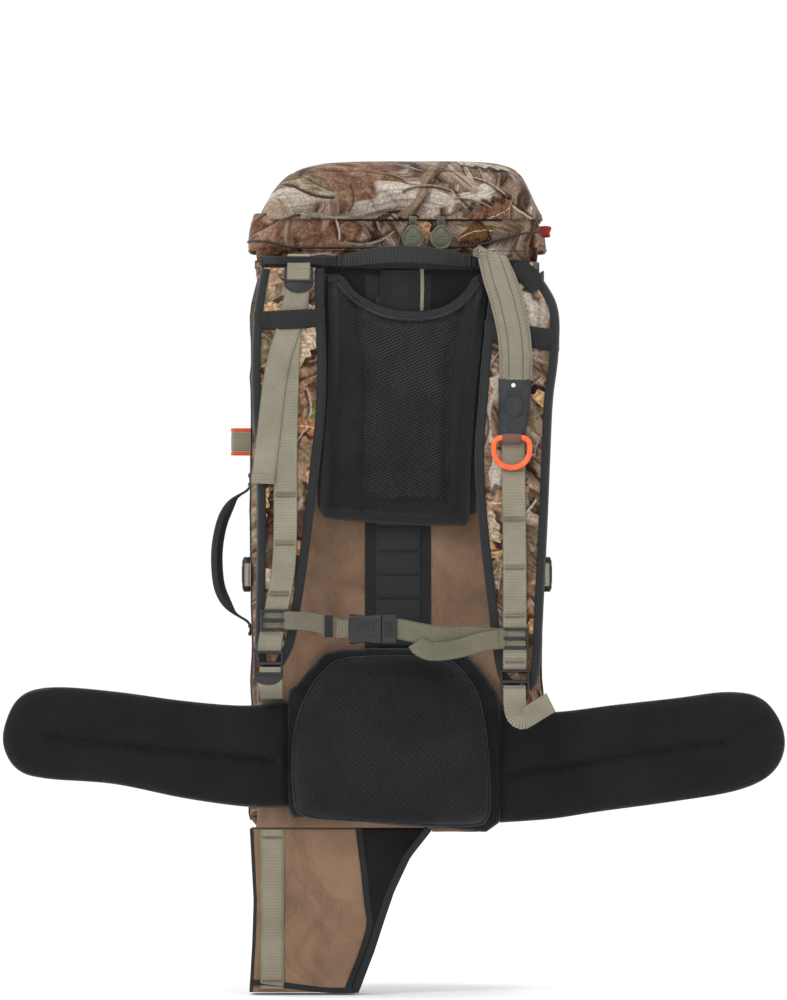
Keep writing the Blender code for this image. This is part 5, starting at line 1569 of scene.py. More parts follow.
def build_lid_straps():
    """The lid's two straps at the front, with their clips and the sockets that these snap into."""
    for name, x in (("lid_strap_left", -0.085), ("lid_strap_right", 0.085)):
        soup = Soup()
        path = spline([(x, 0.269, 0.0345), (x, 0.2692, 0.018), (x, 0.269, 0.002), (x, 0.2684, -0.02),
            (x, 0.268, -0.06), (x, 0.268, -0.1), (x, 0.268, -0.1345)], 6)
        soup.add(*tape(path, (1, 0, 0), WEB, WEB_T, 0.004, ripple=0.0003))
        tail = spline([(x, 0.2702, -0.133), (x, 0.2712, -0.118), (x + 0.0006, 0.2706, -0.1),
            (x + 0.001, 0.27, -0.088)], 6)
        soup.add(*tape(tail, (1, 0, 0), WEB, 0.0014, 0.004))
        fold = spline([(x + 0.001, 0.2702, -0.0915), (x + 0.001, 0.271, -0.087), (x + 0.001, 0.272, -0.088),
            (x + 0.001, 0.2718, -0.096)], 5)
        soup.add(*tape(fold, (1, 0, 0), WEB, 0.0013, 0.0016))
        soup.done(name + "_web", OLIVE_WEB, "lid", "olive_webbing", (name,), 50)
        tack = Soup()
        for z in (0.03, 0.016):
            tack.add(*bar_tack((x, 0.2704, z), (1, 0, 0), (0, 0, 1)))
        tack.done(name + "_tacks", OLIVE_THREAD, "lid", "olive_webbing", (), 180)
        matrix = frame_at((x, 0.268, -0.15), (0, 0, 1), (1, 0, 0))
        placed(clip_shape(WEB), matrix).done(name + "_clip", PLASTIC, "lid", "black_plastic", (), 40)
        socket = "lid_socket_" + name[10:]
        placed(socket_shape(WEB), matrix).done(socket + "_body", PLASTIC, "pack", "black_plastic", (socket,), 40)
        anchor = Soup()
        anchor.add(*tape(spline([(x, 0.268, -0.1815), (x, 0.265, -0.1905), (x, 0.258, -0.202),
            (x, 0.2545, -0.21), (x, 0.252, -0.226)], 5), (1, 0, 0), WEB, WEB_T, 0.003))
        anchor.add(*web_wrap(Vector((x, 0.268, -0.1822)), (0, 0, -1), (1, 0, 0), WEB - 0.002, 0.012))
        anchor.done(socket + "_web", OLIVE_WEB, "pack", "olive_webbing", (), 50)


def build_lid_hinge():
    """Cloth between the bag's back edge and the lid."""
    rows = []
    for k in range(13):
        s = k / 12
        y = 0.0414 - 0.014 * smooth_step(0.05, 0.75, s) + 0.0008 * math.sin(math.pi * s)
        z = -0.036 + 0.04 * s
        half = 0.1455 + 0.0055 * s
        rows.append([Vector((-half + 2 * half * i / 60, y + 0.0007 * jitter((i * 0.09, s, 0), 1.0, 41), z))
            for i in range(61)])
    obj = solid_sheet("lid_hinge_cloth", rows, 0.0014, CAMO_SKIRT)
    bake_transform(obj)


def solid_sheet(name, rows, thick, mat):
    """A sheet with real thickness from rows of points, not yet riding on anything."""
    mesh = bpy.data.meshes.new(name)
    mesh.from_pydata([tuple(p) for row in rows for p in row], [], grid_faces(len(rows[0]) - 1, len(rows) - 1))
    obj = linked(name, mesh)
    solid = obj.modifiers.new("solid", "SOLIDIFY")
    solid.thickness, solid.offset = thick, 0.0
    apply_modifiers(obj)
    finish_mesh(obj, [mat], 50)
    return obj


def flat_out(p, size):
    """Away from the lid's middle, level."""
    d = Vector((p.x * 0.75, p.y - LID_MIDDLE, 0))
    return d.normalized() * size if d.length > 1e-9 else Vector()


def outer_at(rings, levels, k, z):
    for low in range(len(levels) - 1):
        if levels[low] <= z <= levels[low + 1]:
            t = (z - levels[low]) / (levels[low + 1] - levels[low])
            return rings[low][k].lerp(rings[low + 1][k], t)
    return rings[0 if z < levels[0] else -1][k].copy()


def back_run(ring, reach):
    """The indices of a ring's back stretch in order from left to right."""
    picked = [k for k, p in enumerate(ring) if p.y < 0.075 and abs(p.x) < reach + 0.03]
    return sorted(picked, key=lambda k: math.atan2(ring[k].x, LID_MIDDLE - ring[k].y))


def smoothed(path, closed=False, rounds=2):
    for _ in range(rounds):
        made = []
        for i, p in enumerate(path):
            if not closed and i in (0, len(path) - 1):
                made.append(p)
            else:
                made.append((path[i - 1] + p * 2 + path[(i + 1) % len(path)]) / 4)
        path = made
    return path


def snapped(tree, p, lift):
    hit = tree.find_nearest(p)
    return hit[0] + hit[1] * lift if hit[0] is not None else p


# ---- rifle sleeve -------------------------------------------------------------------------------------------
SLEEVE_LOW, SLEEVE_TOP = -0.6128, -0.0124
# the sleeve's two sides are camouflage cloth from here outwards and upwards
CAMO_SIDE_X, CAMO_SIDE_LOW = 0.1385, -0.585


def sleeve_plan():
    out, front, back = 0.15, SLEEVE_FRONT, 0.0414
    path = [(-out, back), (-out, 0.016), (-out, front + 0.007)] + arc((-out + 0.007, front + 0.007), 0.007,
        180, 270, 6)[1:] + arc((out - 0.007, front + 0.007), 0.007, 270, 360, 6) + [(out, 0.016), (out, back)]
    return [Vector((a, b, 0)) for a, b in path]


def build_sleeve():
    plan = even(sleeve_plan(), 0.0042)
    n = len(plan)
    normals = []
    for i in range(n):
        d = (plan[min(i + 1, n - 1)] - plan[max(i - 1, 0)]).normalized()
        normals.append(Vector((d.y, -d.x, 0)))
    levels = [SLEEVE_LOW + (SLEEVE_TOP - SLEEVE_LOW) * k / 130 for k in range(131)]
    outer, inner = [], []
    for z in levels:
        row, back_row = [], []
        for p, out in zip(plan, normals):
            x = p.x
            calm = max(1 - smooth_step(0.04, 0.062, abs(x)), smooth_step(-0.045, -0.02, z),
                1 - smooth_step(-0.612, -0.595, z))
            near_web = max(math.exp(-((x + 0.133) / 0.016) ** 2),
                math.exp(-((x - 0.124) / 0.016) ** 2)) * smooth_step(-0.45, -0.48, z)
            calm = max(calm, near_web)
            # slanting tension folds, deepest beside the ladder
            lean = 1.0 if x > 0 else -1.0
            folds = 0.5 + 0.5 * math.sin((z * 52 + x * lean * 34) + 2.2 * jitter((x, 0, z), 12.0, 51))
            rumple = 0.5 + 0.5 * jitter((x * 2.2, p.y, z * 1.0), 30.0, 52)
            fine = 0.5 + 0.5 * jitter((x * 1.2, p.y, z * 2.2), 70.0, 53)
            depth = (folds * folds * 0.0034 + rumple * 0.0038 + fine * 0.001) * (1 - calm) + 0.0001
            row.append(Vector((p.x, p.y, z)) - out * depth)
            back_row.append(Vector((p.x, p.y, z)) - out * (depth + 0.002))
        outer.append(row)
        inner.append(back_row)
    rings = [row + back[::-1] for row, back in zip(outer, inner)]
    soup = Soup()
    verts, faces = lofted(rings)
    soup.add(verts, faces)
    cloth = soup.done("sleeve_cloth", [BROWN, CAMO_SKIRT], "pack", "brown_cloth", ("sleeve_front",), 60)
    for polygon in cloth.data.polygons:
        if abs(polygon.center.x) > CAMO_SIDE_X and polygon.center.z > CAMO_SIDE_LOW:
            polygon.material_index = 1


def build_sleeve_mouth():
    """Ribbed black band along the mouth, and the edges of the cloth beside it."""
    y = SLEEVE_FRONT - 0.0017
    path = spline([(-0.143, y, -0.0112), (-0.09, y - 0.0002, -0.0116), (-0.03, y - 0.0004, -0.0128),
        (0.04, y - 0.0004, -0.0136), (0.1, y, -0.014)], 8)
    Soup().add(*tape(path, (0, 0, 1), lambda s: 0.0105 + 0.003 * smooth_step(0.1, 0.6, s), 0.0016, 0.004,
        ripple=0.0003)).done("sleeve_band", BLACK_WEB, "pack", "black_webbing", ("sleeve_top_band",), 50)
    trim = Soup()
    for dz in (-0.003, 0.003):
        trim.add(*dashes([p + Vector((0, -0.0009, dz)) for p in even(path, 0.004)], 0.0036, 0.62, 0.00034))
    trim.done("sleeve_band_stitching", BLACK_THREAD, "pack", "black_webbing", (), 180)
    # the cloth edge of the mouth behind the band, at the right of it
    lip = Soup()
    lip.add(*tape(spline([(0.098, -0.015, -0.017), (0.125, -0.015, -0.0178), (0.142, -0.0146, -0.019),
        (0.1496, -0.009, -0.02), (0.1506, 0.002, -0.021), (0.1506, 0.03, -0.021)], 5), (0, 0, 1), 0.015,
        0.0014, 0.004))
    lip.add(*tape(spline([(-0.1425, -0.015, -0.015), (-0.149, -0.01, -0.015), (-0.1504, 0.0, -0.015),
        (-0.1504, 0.03, -0.015)], 5), (0, 0, 1), 0.009, 0.0014, 0.004))
    lip.done("sleeve_mouth_binding", BINDING, "pack", "black_webbing", (), 50)
    gusset = Soup()
    corner = spline([(0.118, -0.016, -0.04), (0.135, -0.0161, -0.04), (0.144, -0.0152, -0.04),
        (0.1512, -0.0085, -0.04), (0.1518, 0.004, -0.04), (0.153, 0.022, -0.04), (0.156, 0.04, -0.0395)], 5)
    gusset.add(*tape(corner, (0, 0, 1), lambda s: 0.027 + 0.011 * s, 0.0012, 0.004, ripple=0.0005))
    gusset.done("sleeve_corner_gusset", MESH_BOOT, "pack", "black_mesh", (), 60)


def build_grab_handle():
    bow = spline([(-0.068, -0.0203, -0.0118), (-0.052, -0.0225, -0.0105), (-0.034, -0.0322, -0.0078),
        (-0.012, -0.0392, -0.0054), (0.008, -0.041, -0.0046), (0.028, -0.0392, -0.0054),
        (0.05, -0.0322, -0.0078), (0.068, -0.0225, -0.0108), (0.083, -0.0203, -0.0125)], 6)
    Soup().add(*tape(bow, (0, 0, 1), lambda s: 0.012 + 0.0062 * math.sin(math.pi * s), 0.0024, 0.003,
        crown=0.0005)).done("grab_handle_web", HANDLE_WEB, "grab_handle", "black_webbing", ("grab_handle",), 50)
    tack = Soup()
    for x in (-0.064, -0.0585, 0.0735, 0.079):
        tack.add(*bar_tack((x, -0.0226, -0.0123), (0, 0, 1), (1, 0, 0), 0.016))
    tack.done("grab_handle_tacks", BLACK_THREAD, "grab_handle", "black_webbing", (), 180)


def build_neck_patch():
    """Mesh and strips on the sleeve, which show through the harness's neck."""
    outline = even_line(((-0.085, -0.0155), (-0.083, -0.12), (0.086, -0.12), (0.102, -0.0155)), 0.006, True)
    rings = []
    for y, draw in ((-0.01555, 0.0004), (-0.0158, 0.0), (-0.0162, 0.0), (-0.01635, 0.0004)):
        rings.append([Vector((x, y, z)) for x, z in inset(outline, draw)])
    Soup().add(*lofted(rings)).done("sleeve_neck_patch", MESH_BOOT, "pack", "black_mesh", (), 60)
    strip = Soup()
    strip.add(*tape([(0.003, -0.0197, -0.021), (0.003, -0.0198, -0.045), (0.003, -0.0197, -0.066)], (1, 0, 0),
        0.042, 0.001, 0.004, ripple=0.0004))
    strip.add(*tape([(0.0265, -0.018, -0.02), (0.0268, -0.0184, -0.042), (0.0262, -0.0184, -0.064)], (1, 0, 0),
        0.0045, 0.0022, 0.004, ripple=0.0004), 1)
    strip.done("neck_strip", [ELASTIC, KHAKI_WEB], "pack", "black_webbing", (), 60)


LADDER_X = 0.001


def build_ladder():
    """The strip that sets the torso length: a backing web, and a second web tacked down into loops."""
    back = Soup()
    y = SLEEVE_FRONT - 0.001
    back.add(*tape([(LADDER_X, y, -0.026), (LADDER_X, y, -0.2), (LADDER_X, y, -0.424)], (1, 0, 0), 0.07,
        0.0011, 0.006, ripple=0.0002))
    back.done("ladder_backing", BLACK_WEB, "pack", "black_webbing", (), 50)
    rungs = Soup()
    tacks = Soup()
    top, low, pitch = -0.026, -0.42, 0.025
    z = low
    path = []
    while z + pitch <= top + 1e-6:
        path += [Vector((LADDER_X, y - 0.0012, z + 0.0012)), Vector((LADDER_X, y - 0.0021, z + 0.0055)),
            Vector((LADDER_X, y - 0.0023, z + pitch / 2)), Vector((LADDER_X, y - 0.0021, z + pitch - 0.0045))]
        for off in (0.0, 0.0012):
            tacks.add(*bar_tack((LADDER_X, y - 0.0021, z + off), (1, 0, 0), (0, 0, 1), 0.044, 0.0016))
        z += pitch
    rungs.add(*tape(spline(path, 3), (1, 0, 0), 0.048, 0.001, 0.0022))
    rungs.done("ladder_rungs", LADDER_WEB, "pack", "black_webbing", ("torso_ladder",), 50)
    tacks.done("ladder_tacks", BLACK_THREAD, "pack", "black_webbing", (), 180)
    edge = Soup()
    for x in (-0.0305, 0.0325):
        edge.add(*dashes([(x, y - 0.0006, -0.028 - 0.395 * k / 60) for k in range(61)], *FINE_STITCH))
    edge.done("ladder_stitching", BLACK_THREAD, "pack", "black_webbing", (), 180)


# ---- boot ---------------------------------------------------------------------------------------------------
BOOT_TOP, BOOT_BACK, BOOT_AROUND = -0.6139, 0.041, 150
BOOT_RIGHT = [(0.035, BOOT_TOP), (0.012, -0.643), (-0.0053, -0.68), (-0.017, -0.7145), (-0.0265, -0.744),
    (-0.0435, -0.788)]
BOOT_LEFT = [(-0.156, -0.779), (-0.1535, -0.735), (-0.152, -0.69), (-0.156, BOOT_TOP)]
BOOT_SEAM = [(-0.0405, BOOT_TOP), (-0.035, -0.657), (-0.0308, -0.7), (-0.0275, -0.712), (-0.03, -0.723),
    (-0.038, -0.749), (-0.0535, -0.7873)]
BOOT_LEVELS = [BOOT_TOP - 0.1735 * k / 56 for k in range(57)]


def boot_edges(z):
    """The boot's left edge, seam and right edge at height z."""
    made = []
    for line in (BOOT_LEFT[::-1], BOOT_SEAM, BOOT_RIGHT):
        x = line[0][0]
        for (x0, z0), (x1, z1) in zip(line, line[1:]):
            if z1 <= z <= z0 or (z < z1 and (x1, z1) == line[-1]):
                t = (z - z0) / (z1 - z0)
                x = x0 + (x1 - x0) * t
                if z >= z1:
                    break
        made.append(x)
    return made


def build_boot():
    rings_out, rings_in = [], []
    for z in BOOT_LEVELS:
        left, seam, right = boot_edges(z)
        # plan: left side, front, right side, back; the sides draw in a little towards the foot
        corner = 0.006
        plan = rounded((right - left) / 2, SLEEVE_FRONT, BOOT_BACK, corner, corner, 5, middle=(left + right) / 2)
        ring = even2(plan, BOOT_AROUND)
        k = min(range(BOOT_AROUND), key=lambda i: (ring[i][0] - (left + right) / 2) ** 2
            + (ring[i][1] - BOOT_BACK) ** 2)
        ring = ring[k:] + ring[:k]
        small = inset(ring, 0.004)
        out_row, in_row = [], []
        for (x, y), (ix, iy) in zip(ring, small):
            out = Vector((x - ix, y - iy, 0)).normalized()
            calm = max(smooth_step(-0.64, -0.616, z), smooth_step(-0.772, -0.787, z),
                1 - smooth_step(0.002, 0.014, min(x - left, right - x)))
            folds = 0.5 + 0.5 * jitter((x * 1.3, y, z * 1.0), 22.0, 61)
            sag = 0.5 + 0.5 * math.sin(z * 70 + x * 30 + 2 * jitter((x, y, z), 14, 62))
            depth = (folds * 0.0042 + sag * sag * 0.0022) * (1 - calm * 0.9)
            out_row.append(Vector((x, y, z)) - out * depth)
            in_row.append(Vector((x, y, z)) - out * (depth + 0.0022))
        rings_out.append(out_row)
        rings_in.append(in_row)
    foot = [[Vector((p.x + (m - p.x) * f, p.y + (0.0128 - p.y) * f, p.z - 0.0002 + 0.0012 * f))
        for p in rings_out[-1]] for m, f in ((-0.105, 0.1), (-0.105, 0.5), (-0.105, 0.9))]
    foot_in = [[p + Vector((0, 0, 0.0022)) for p in ring] for ring in foot[::-1]]
    rings = rings_in[:1] + rings_out + foot + foot_in + rings_in[::-1][:-1]
    soup = Soup()
    verts, faces = lofted(rings, closed_v=True)
    mats = []
    flat = [p for ring in rings for p in ring]
    for face in faces:
        c = sum((flat[i] for i in face), Vector()) / len(face)
        _, seam, _ = boot_edges(c.z)
        row = min(face) // BOOT_AROUND
        mats.append(2 if row > len(rings_out) + 1 else (1 if c.x > seam and c.y < 0.006 else 0))
    soup.add(verts, faces, None, mats)
    soup.done("boot_pouch", [BROWN, MESH_BOOT, LINING], "boot", "brown_cloth",
        ("boot_shell", "boot_front", "boot_mesh"), 180)


def build_boot_trim():
    trim = Soup()
    tree = surface_of(bpy.data.objects["boot_pouch"])

    def edge_of(index, shift=0.0):
        made = []
        for z in BOOT_LEVELS[:-1][::2] + [BOOT_LEVELS[-1]]:
            x = boot_edges(z)[index] + shift
            p = projected(tree, x, z, 0.0, SLEEVE_FRONT)
            made.append(Vector((x, min(p.y, -0.0075) if index == 2 else p.y, z)))
        return made
    seam = [p + Vector((0, -0.0007, 0)) for p in smoothed(edge_of(1))]
    trim.add(*tape(seam, (1, 0, 0), 0.0072, 0.0012, 0.004))
    right = [Vector((boot_edges(z)[2] - 0.0015, -0.0138, z)) for z in BOOT_LEVELS[::2]]
    trim.add(*tape(right, (1, 0.55, 0), 0.0095, 0.0013, 0.004))
    left = [Vector((boot_edges(z)[0] + 0.0015, -0.0138, z)) for z in BOOT_LEVELS[::2]]
    trim.add(*tape(left, (1, -0.55, 0), 0.0042, 0.0012, 0.004))
    foot_line = [Vector((x, -0.0158, -0.7855 + 0.0085 * (1 - smooth_step(-0.156, -0.06, x))))
        for x in [-0.1545 + 0.111 * k / 20 for k in range(21)]]
    trim.add(*tape([p + Vector((0, 0.0002, 0)) for p in foot_line], (0, 0.3, 1), 0.0062, 0.0013, 0.004))
    trim.done("boot_binding", BINDING, "boot", "black_webbing", (), 60)
    strip = Soup()
    run = [projected(tree, -0.1325, z, 0.0012, SLEEVE_FRONT) for z in [BOOT_TOP - 0.001 - 0.169 * k / 40
        for k in range(41)]]
    strip.add(*tape(smoothed(run), (1, 0, 0), 0.025, 0.0014, 0.004))
    strip.done("boot_strip", KHAKI_WEB, "boot", "olive_webbing", (), 50)
    stitch = Soup()
    for dx in (-0.0108, 0.0108):
        stitch.add(*dashes([p + Vector((dx, -0.0009, 0)) for p in smoothed(run)], *FINE_STITCH))
    for k in (0, 2):
        stitch.add(*bar_tack(run[2 + k * 18] + Vector((0, -0.001, 0)), (1, 0, 0), (0, 0, 1)))
    stitch.done("boot_strip_stitching", OLIVE_THREAD, "boot", "olive_webbing", (), 180)


def build_boot_hinge():
    """Cloth that joins the boot to the sleeve's floor."""
    rows = []
    for k in range(7):
        s = k / 6
        rows.append([Vector((-0.15 + 0.17 * i / 30, 0.04 + 0.001 * math.sin(math.pi * s), -0.612 - 0.011 * s))
            for i in range(31)])
    obj = solid_sheet("boot_hinge_cloth", rows, 0.0012, BROWN)
    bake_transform(obj)


# ---- shoulder straps ----------------------------------------------------------------------------------------
STRAP_T, STAND_OFF_TOP, STAND_OFF, STAND_OFF_RUN = 0.012, -0.0235, 0.062, 0.4
STRAP_LEFT = [
    (-0.019, -0.143, -0.078), (-0.06, -0.15, -0.078), (-0.11, -0.153, -0.076), (-0.17, -0.152, -0.077),
    (-0.23, -0.148, -0.083), (-0.3, -0.147, -0.091), (-0.37, -0.148, -0.101), (-0.415, -0.149, -0.109),
    (-0.437, -0.1455, -0.119), (-0.4455, -0.139, -0.127),
]
STRAP_RIGHT = [
    (-0.019, 0.101, 0.146), (-0.06, 0.097, 0.169), (-0.11, 0.091, 0.17), (-0.16, 0.087, 0.164),
    (-0.22, 0.083, 0.161), (-0.29, 0.087, 0.158), (-0.37, 0.096, 0.154), (-0.43, 0.103, 0.151),
    (-0.456, 0.11, 0.1475), (-0.4665, 0.119, 0.14),
]


def strap_back(z):
    share = min(max((-0.02 - z) / STAND_OFF_RUN, 0.0), 1.0)
    return STAND_OFF_TOP - STAND_OFF * math.sin(math.pi / 2 * share)


def strap_front(z):
    return strap_back(z) - STRAP_T


def on_strap(line, lift, per=4):
    return [Vector((p.x, strap_front(p.y) - lift, p.y)) for p in spline([(x, z, 0) for x, z in line], per)]


def strap_frame(x, z, lift):
    slope = (strap_front(z + 0.004) - strap_front(z - 0.004)) / 0.008
    along = Vector((0, slope, 1)).normalized()
    out = along.cross(Vector((1, 0, 0)))
    return frame_at(Vector((x, strap_front(z), z)) - out * lift, along, (1, 0, 0))


def strap_face(z, gap, sign):
    """Y of a shoulder strap's front (sign -1) or back (sign 1) at a distance from its edge."""
    middle = (strap_back(z) + strap_front(z)) / 2
    return middle + sign * (STRAP_T / 2) * (0.22 + 0.78 * quarter(gap, 0.0085)) if gap > 0 else middle + sign * 0.0012


def build_strap(side, rows, camo):
    fine = even(spline([Vector(r) for r in rows], 8), 0.0045)
    n = 20
    rings = []
    for z, x0, x1 in fine:
        ring = []
        width = x1 - x0
        for sign, order in ((-1, range(n + 1)), (1, range(n - 1, 0, -1))):
            for k in order:
                t = k / n
                t = t * 0.45 + 0.55 * (0.5 - 0.5 * math.cos(math.pi * t))
                x = x0 + width * t
                gap = min(x - x0, x1 - x)
                y = strap_face(z, gap, sign)
                dent = (0.5 + 0.5 * jitter((x * 1.5, 0, z), 26.0, 71)) * 0.0011 + (0.5
                    + 0.5 * jitter((x, 0, z * 2.5), 50.0, 72)) * 0.0006
                y -= sign * dent * smooth_step(0.0, 0.01, gap)
                ring.append(Vector((x, y, z)))
        rings.append(ring)
    last = rings[-1]
    end = [Vector((p.x * 0.6 + 0.4 * (last[0].x + last[n].x) / 2,
        (strap_back(fine[-1].x) + strap_front(fine[-1].x)) / 2
        + (p.y - (strap_back(fine[-1].x) + strap_front(fine[-1].x)) / 2) * 0.4, p.z - 0.0022)) for p in last]
    rings.append(end)
    verts, faces = lofted(rings)
    count = 2 * n
    mats = []
    for face in faces:
        low = min(i % count for i in face)
        mats.append(1 if len(face) == 4 and low >= n and max(i % count for i in face) > n else 0)
    soup = Soup().add(verts, faces, None, mats)
    strap = soup.done("shoulder_strap_body_" + side, [camo, MESH_FINE], "shoulder_straps", "camouflage_cloth",
        ("shoulder_strap_" + side,), 180)

    # binding folded over the edge, down one side, round the end and up the other
    left = [(x0, z) for z, x0, x1 in fine]
    right = [(x1, z) for z, x0, x1 in fine]
    low_z = fine[-1].x
    bottom = [((left[-1][0] * (1 - t) + right[-1][0] * t), low_z - 0.003 * math.sin(math.pi * t))
        for t in (0.2, 0.4, 0.6, 0.8)]
    path = left + bottom + right[::-1]
    inward = []
    count = len(path)
    for i in range(count):
        a, b = path[max(i - 1, 0)], path[min(i + 1, count - 1)]
        d = Vector((b[0] - a[0], b[1] - a[1])).normalized()
        inward.append((-d.y, d.x))
    front = lambda x, z, gap: strap_face(z, gap, -1)
    back = lambda x, z, gap: strap_face(z, gap, 1)
    Soup().add(*bound_edge(path, inward, front, back, 0.0088, 0.0006)).done("strap_binding_" + side, BINDING,
        "shoulder_straps", "black_webbing", (), 60)
    stitch = Soup()
    line = [Vector((x + nx * 0.0075, strap_face(z, 0.0075, -1) - 0.0009, z + nz * 0.0075)) for (x, z),
        (nx, nz) in zip(path, inward)]
    stitch.add(*dashes(line, *FINE_STITCH))
    stitch.done("strap_binding_stitching_" + side, BLACK_THREAD, "shoulder_straps", "black_webbing", (), 180)
    return fine


def strap_edges(fine, z):
    for a, b in zip(fine, fine[1:]):
        if b.x <= z <= a.x:
            t = (z - a.x) / (b.x - a.x) if b.x != a.x else 0
            return a.y + (b.y - a.y) * t, a.z + (b.z - a.z) * t
    return fine[-1].y, fine[-1].z


def daisy(name, line, nodes, tacks_at, mat=None):
    """Ladder webbing: straight runs tacked at set heights, standing a little proud between the tacks."""
    path = even(on_strap(line, WEB_T / 2 + GAP, 8), 0.003)
    marks = sorted(tacks_at, reverse=True)
    made = []
    for p in path:
        above = [m for m in marks if m >= p.z]
        below = [m for m in marks if m < p.z]
        rise = 0.0
        if above and below:
            t = (above[-1] - p.z) / (above[-1] - below[0])
            rise = 0.0014 * math.sin(math.pi * t) ** 0.7
        made.append(p + Vector((0, -rise, 0)))
    Soup().add(*tape(made, (1, 0, 0), WEB, WEB_T, 0.003, ripple=0.0002)).done(name, mat or OLIVE_WEB,
        "shoulder_straps", "olive_webbing", nodes, 50)
    tack = Soup()
    for m in marks:
        near = min(path, key=lambda p: abs(p.z - m))
        slope = (strap_front(m + 0.004) - strap_front(m - 0.004)) / 0.008
        tack.add(*bar_tack(near + Vector((0, -WEB_T / 2 - 0.0004, 0)), (1, 0, 0), (0, slope, 1)))
        tack.add(*bar_tack(near + Vector((0, -WEB_T / 2 - 0.0004 + 0.0035 * slope, 0.0035)), (1, 0, 0),
            (0, slope, 1)))
    tack.done(name + "_tacks", OLIVE_THREAD, "shoulder_straps", "olive_webbing", (), 180)


def lock_shape(width, height, thick=0.005, tongue=0.0):
    """A moulded ladder lock in its own axes: X is its height. Round-edged frame, three bars, and a thumb tongue."""
    half_w, half_h = width / 2, height / 2
    soup = Soup()
    for side in (-1, 1):
        soup.add(*tape([(-half_h, side * (half_w - 0.0013), 0),
            (half_h - 0.0008, side * (half_w - 0.0013), 0)], (0, 1, 0), 0.0026, thick * 0.92, 0.003, soft=0.0008))
    soup.add(*tape([(half_h - 0.0016, -half_w + 0.0004, 0), (half_h - 0.0016, half_w - 0.0004, 0)], (1, 0, 0),
        0.0034, thick * 0.9, 0.003, soft=0.001))
    soup.add(*tube([(0.0, -half_w + 0.001, -0.0004), (0.0, half_w - 0.001, -0.0004)], 0.002, 10))
    soup.add(*tape([(-half_h + 0.0016, -half_w + 0.0004, 0.0), (-half_h + 0.0016, half_w - 0.0004, 0.0)],
        (1, 0, 0), 0.0036, thick * 0.9, 0.003, soft=0.001))
    for k in range(9):
        y = (-0.4 + 0.1 * k) * (width - 0.006)
        soup.add(*tube([(-0.0016, y, 0.0016), (0.0016, y, 0.0016)], 0.0005, 5))
    if tongue:
        line = [(-half_h + 0.002, half_w - 0.0008)]
        line += [(-half_h - tongue * math.sin(math.radians(a)), (half_w - 0.0012) * math.cos(math.radians(a)))
            for a in range(0, 181, 12)]
        line += [(-half_h + 0.002, -half_w + 0.0008)]
        soup.add(*slab(line[::-1], -0.0008, 0.0012, 0.0007))
        rim = [Vector((a, b, 0.0006)) for a, b in line[1:-1]]
        soup.add(*tube(rim, 0.0012, 8))
        for k in range(3):
            a = -half_h - 0.0022 - 0.0019 * k
            reach = half_w * (0.62 - 0.12 * k)
            soup.add(*tube([(a, -reach, 0.0014), (a, reach, 0.0014)], 0.0005, 6))
    return soup


def keeper(name, fine, left_top, left_low, right_top, right_low, extra=0.0, rise=0.003):
    """A black elastic band across a strap: heights of its upper and lower edge at the strap's two edges."""
    z_left, z_right = (left_top + left_low) / 2, (right_top + right_low) / 2
    x_left, _ = strap_edges(fine, z_left)
    _, x_right = strap_edges(fine, z_right)
    wide = ((left_top - left_low) + (right_top - right_low)) / 2
    path = []
    for k in range(25):
        t = k / 24
        x = x_left - 0.0012 + (x_right - x_left + 0.0024) * t
        z = z_left + (z_right - z_left) * t
        gap = max(min(x - x_left, x_right - x), 0.0)
        y = strap_face(z, max(gap, 0.0005), -1) - 0.001
        over = 1 - smooth_step(0.0125, 0.019, abs(x - extra)) if extra else 0.0
        path.append(Vector((x, y - over * rise, z)))
    path = [path[0] + Vector((0.0008, 0.006, 0))] + path + [path[-1] + Vector((-0.0008, 0.006, 0))]
    Soup().add(*tape(smoothed(path), (0, 0.0, 1), wide, 0.0012, 0.003, ripple=0.0003)).done(name, ELASTIC,
        "shoulder_straps", "black_webbing", (), 60)


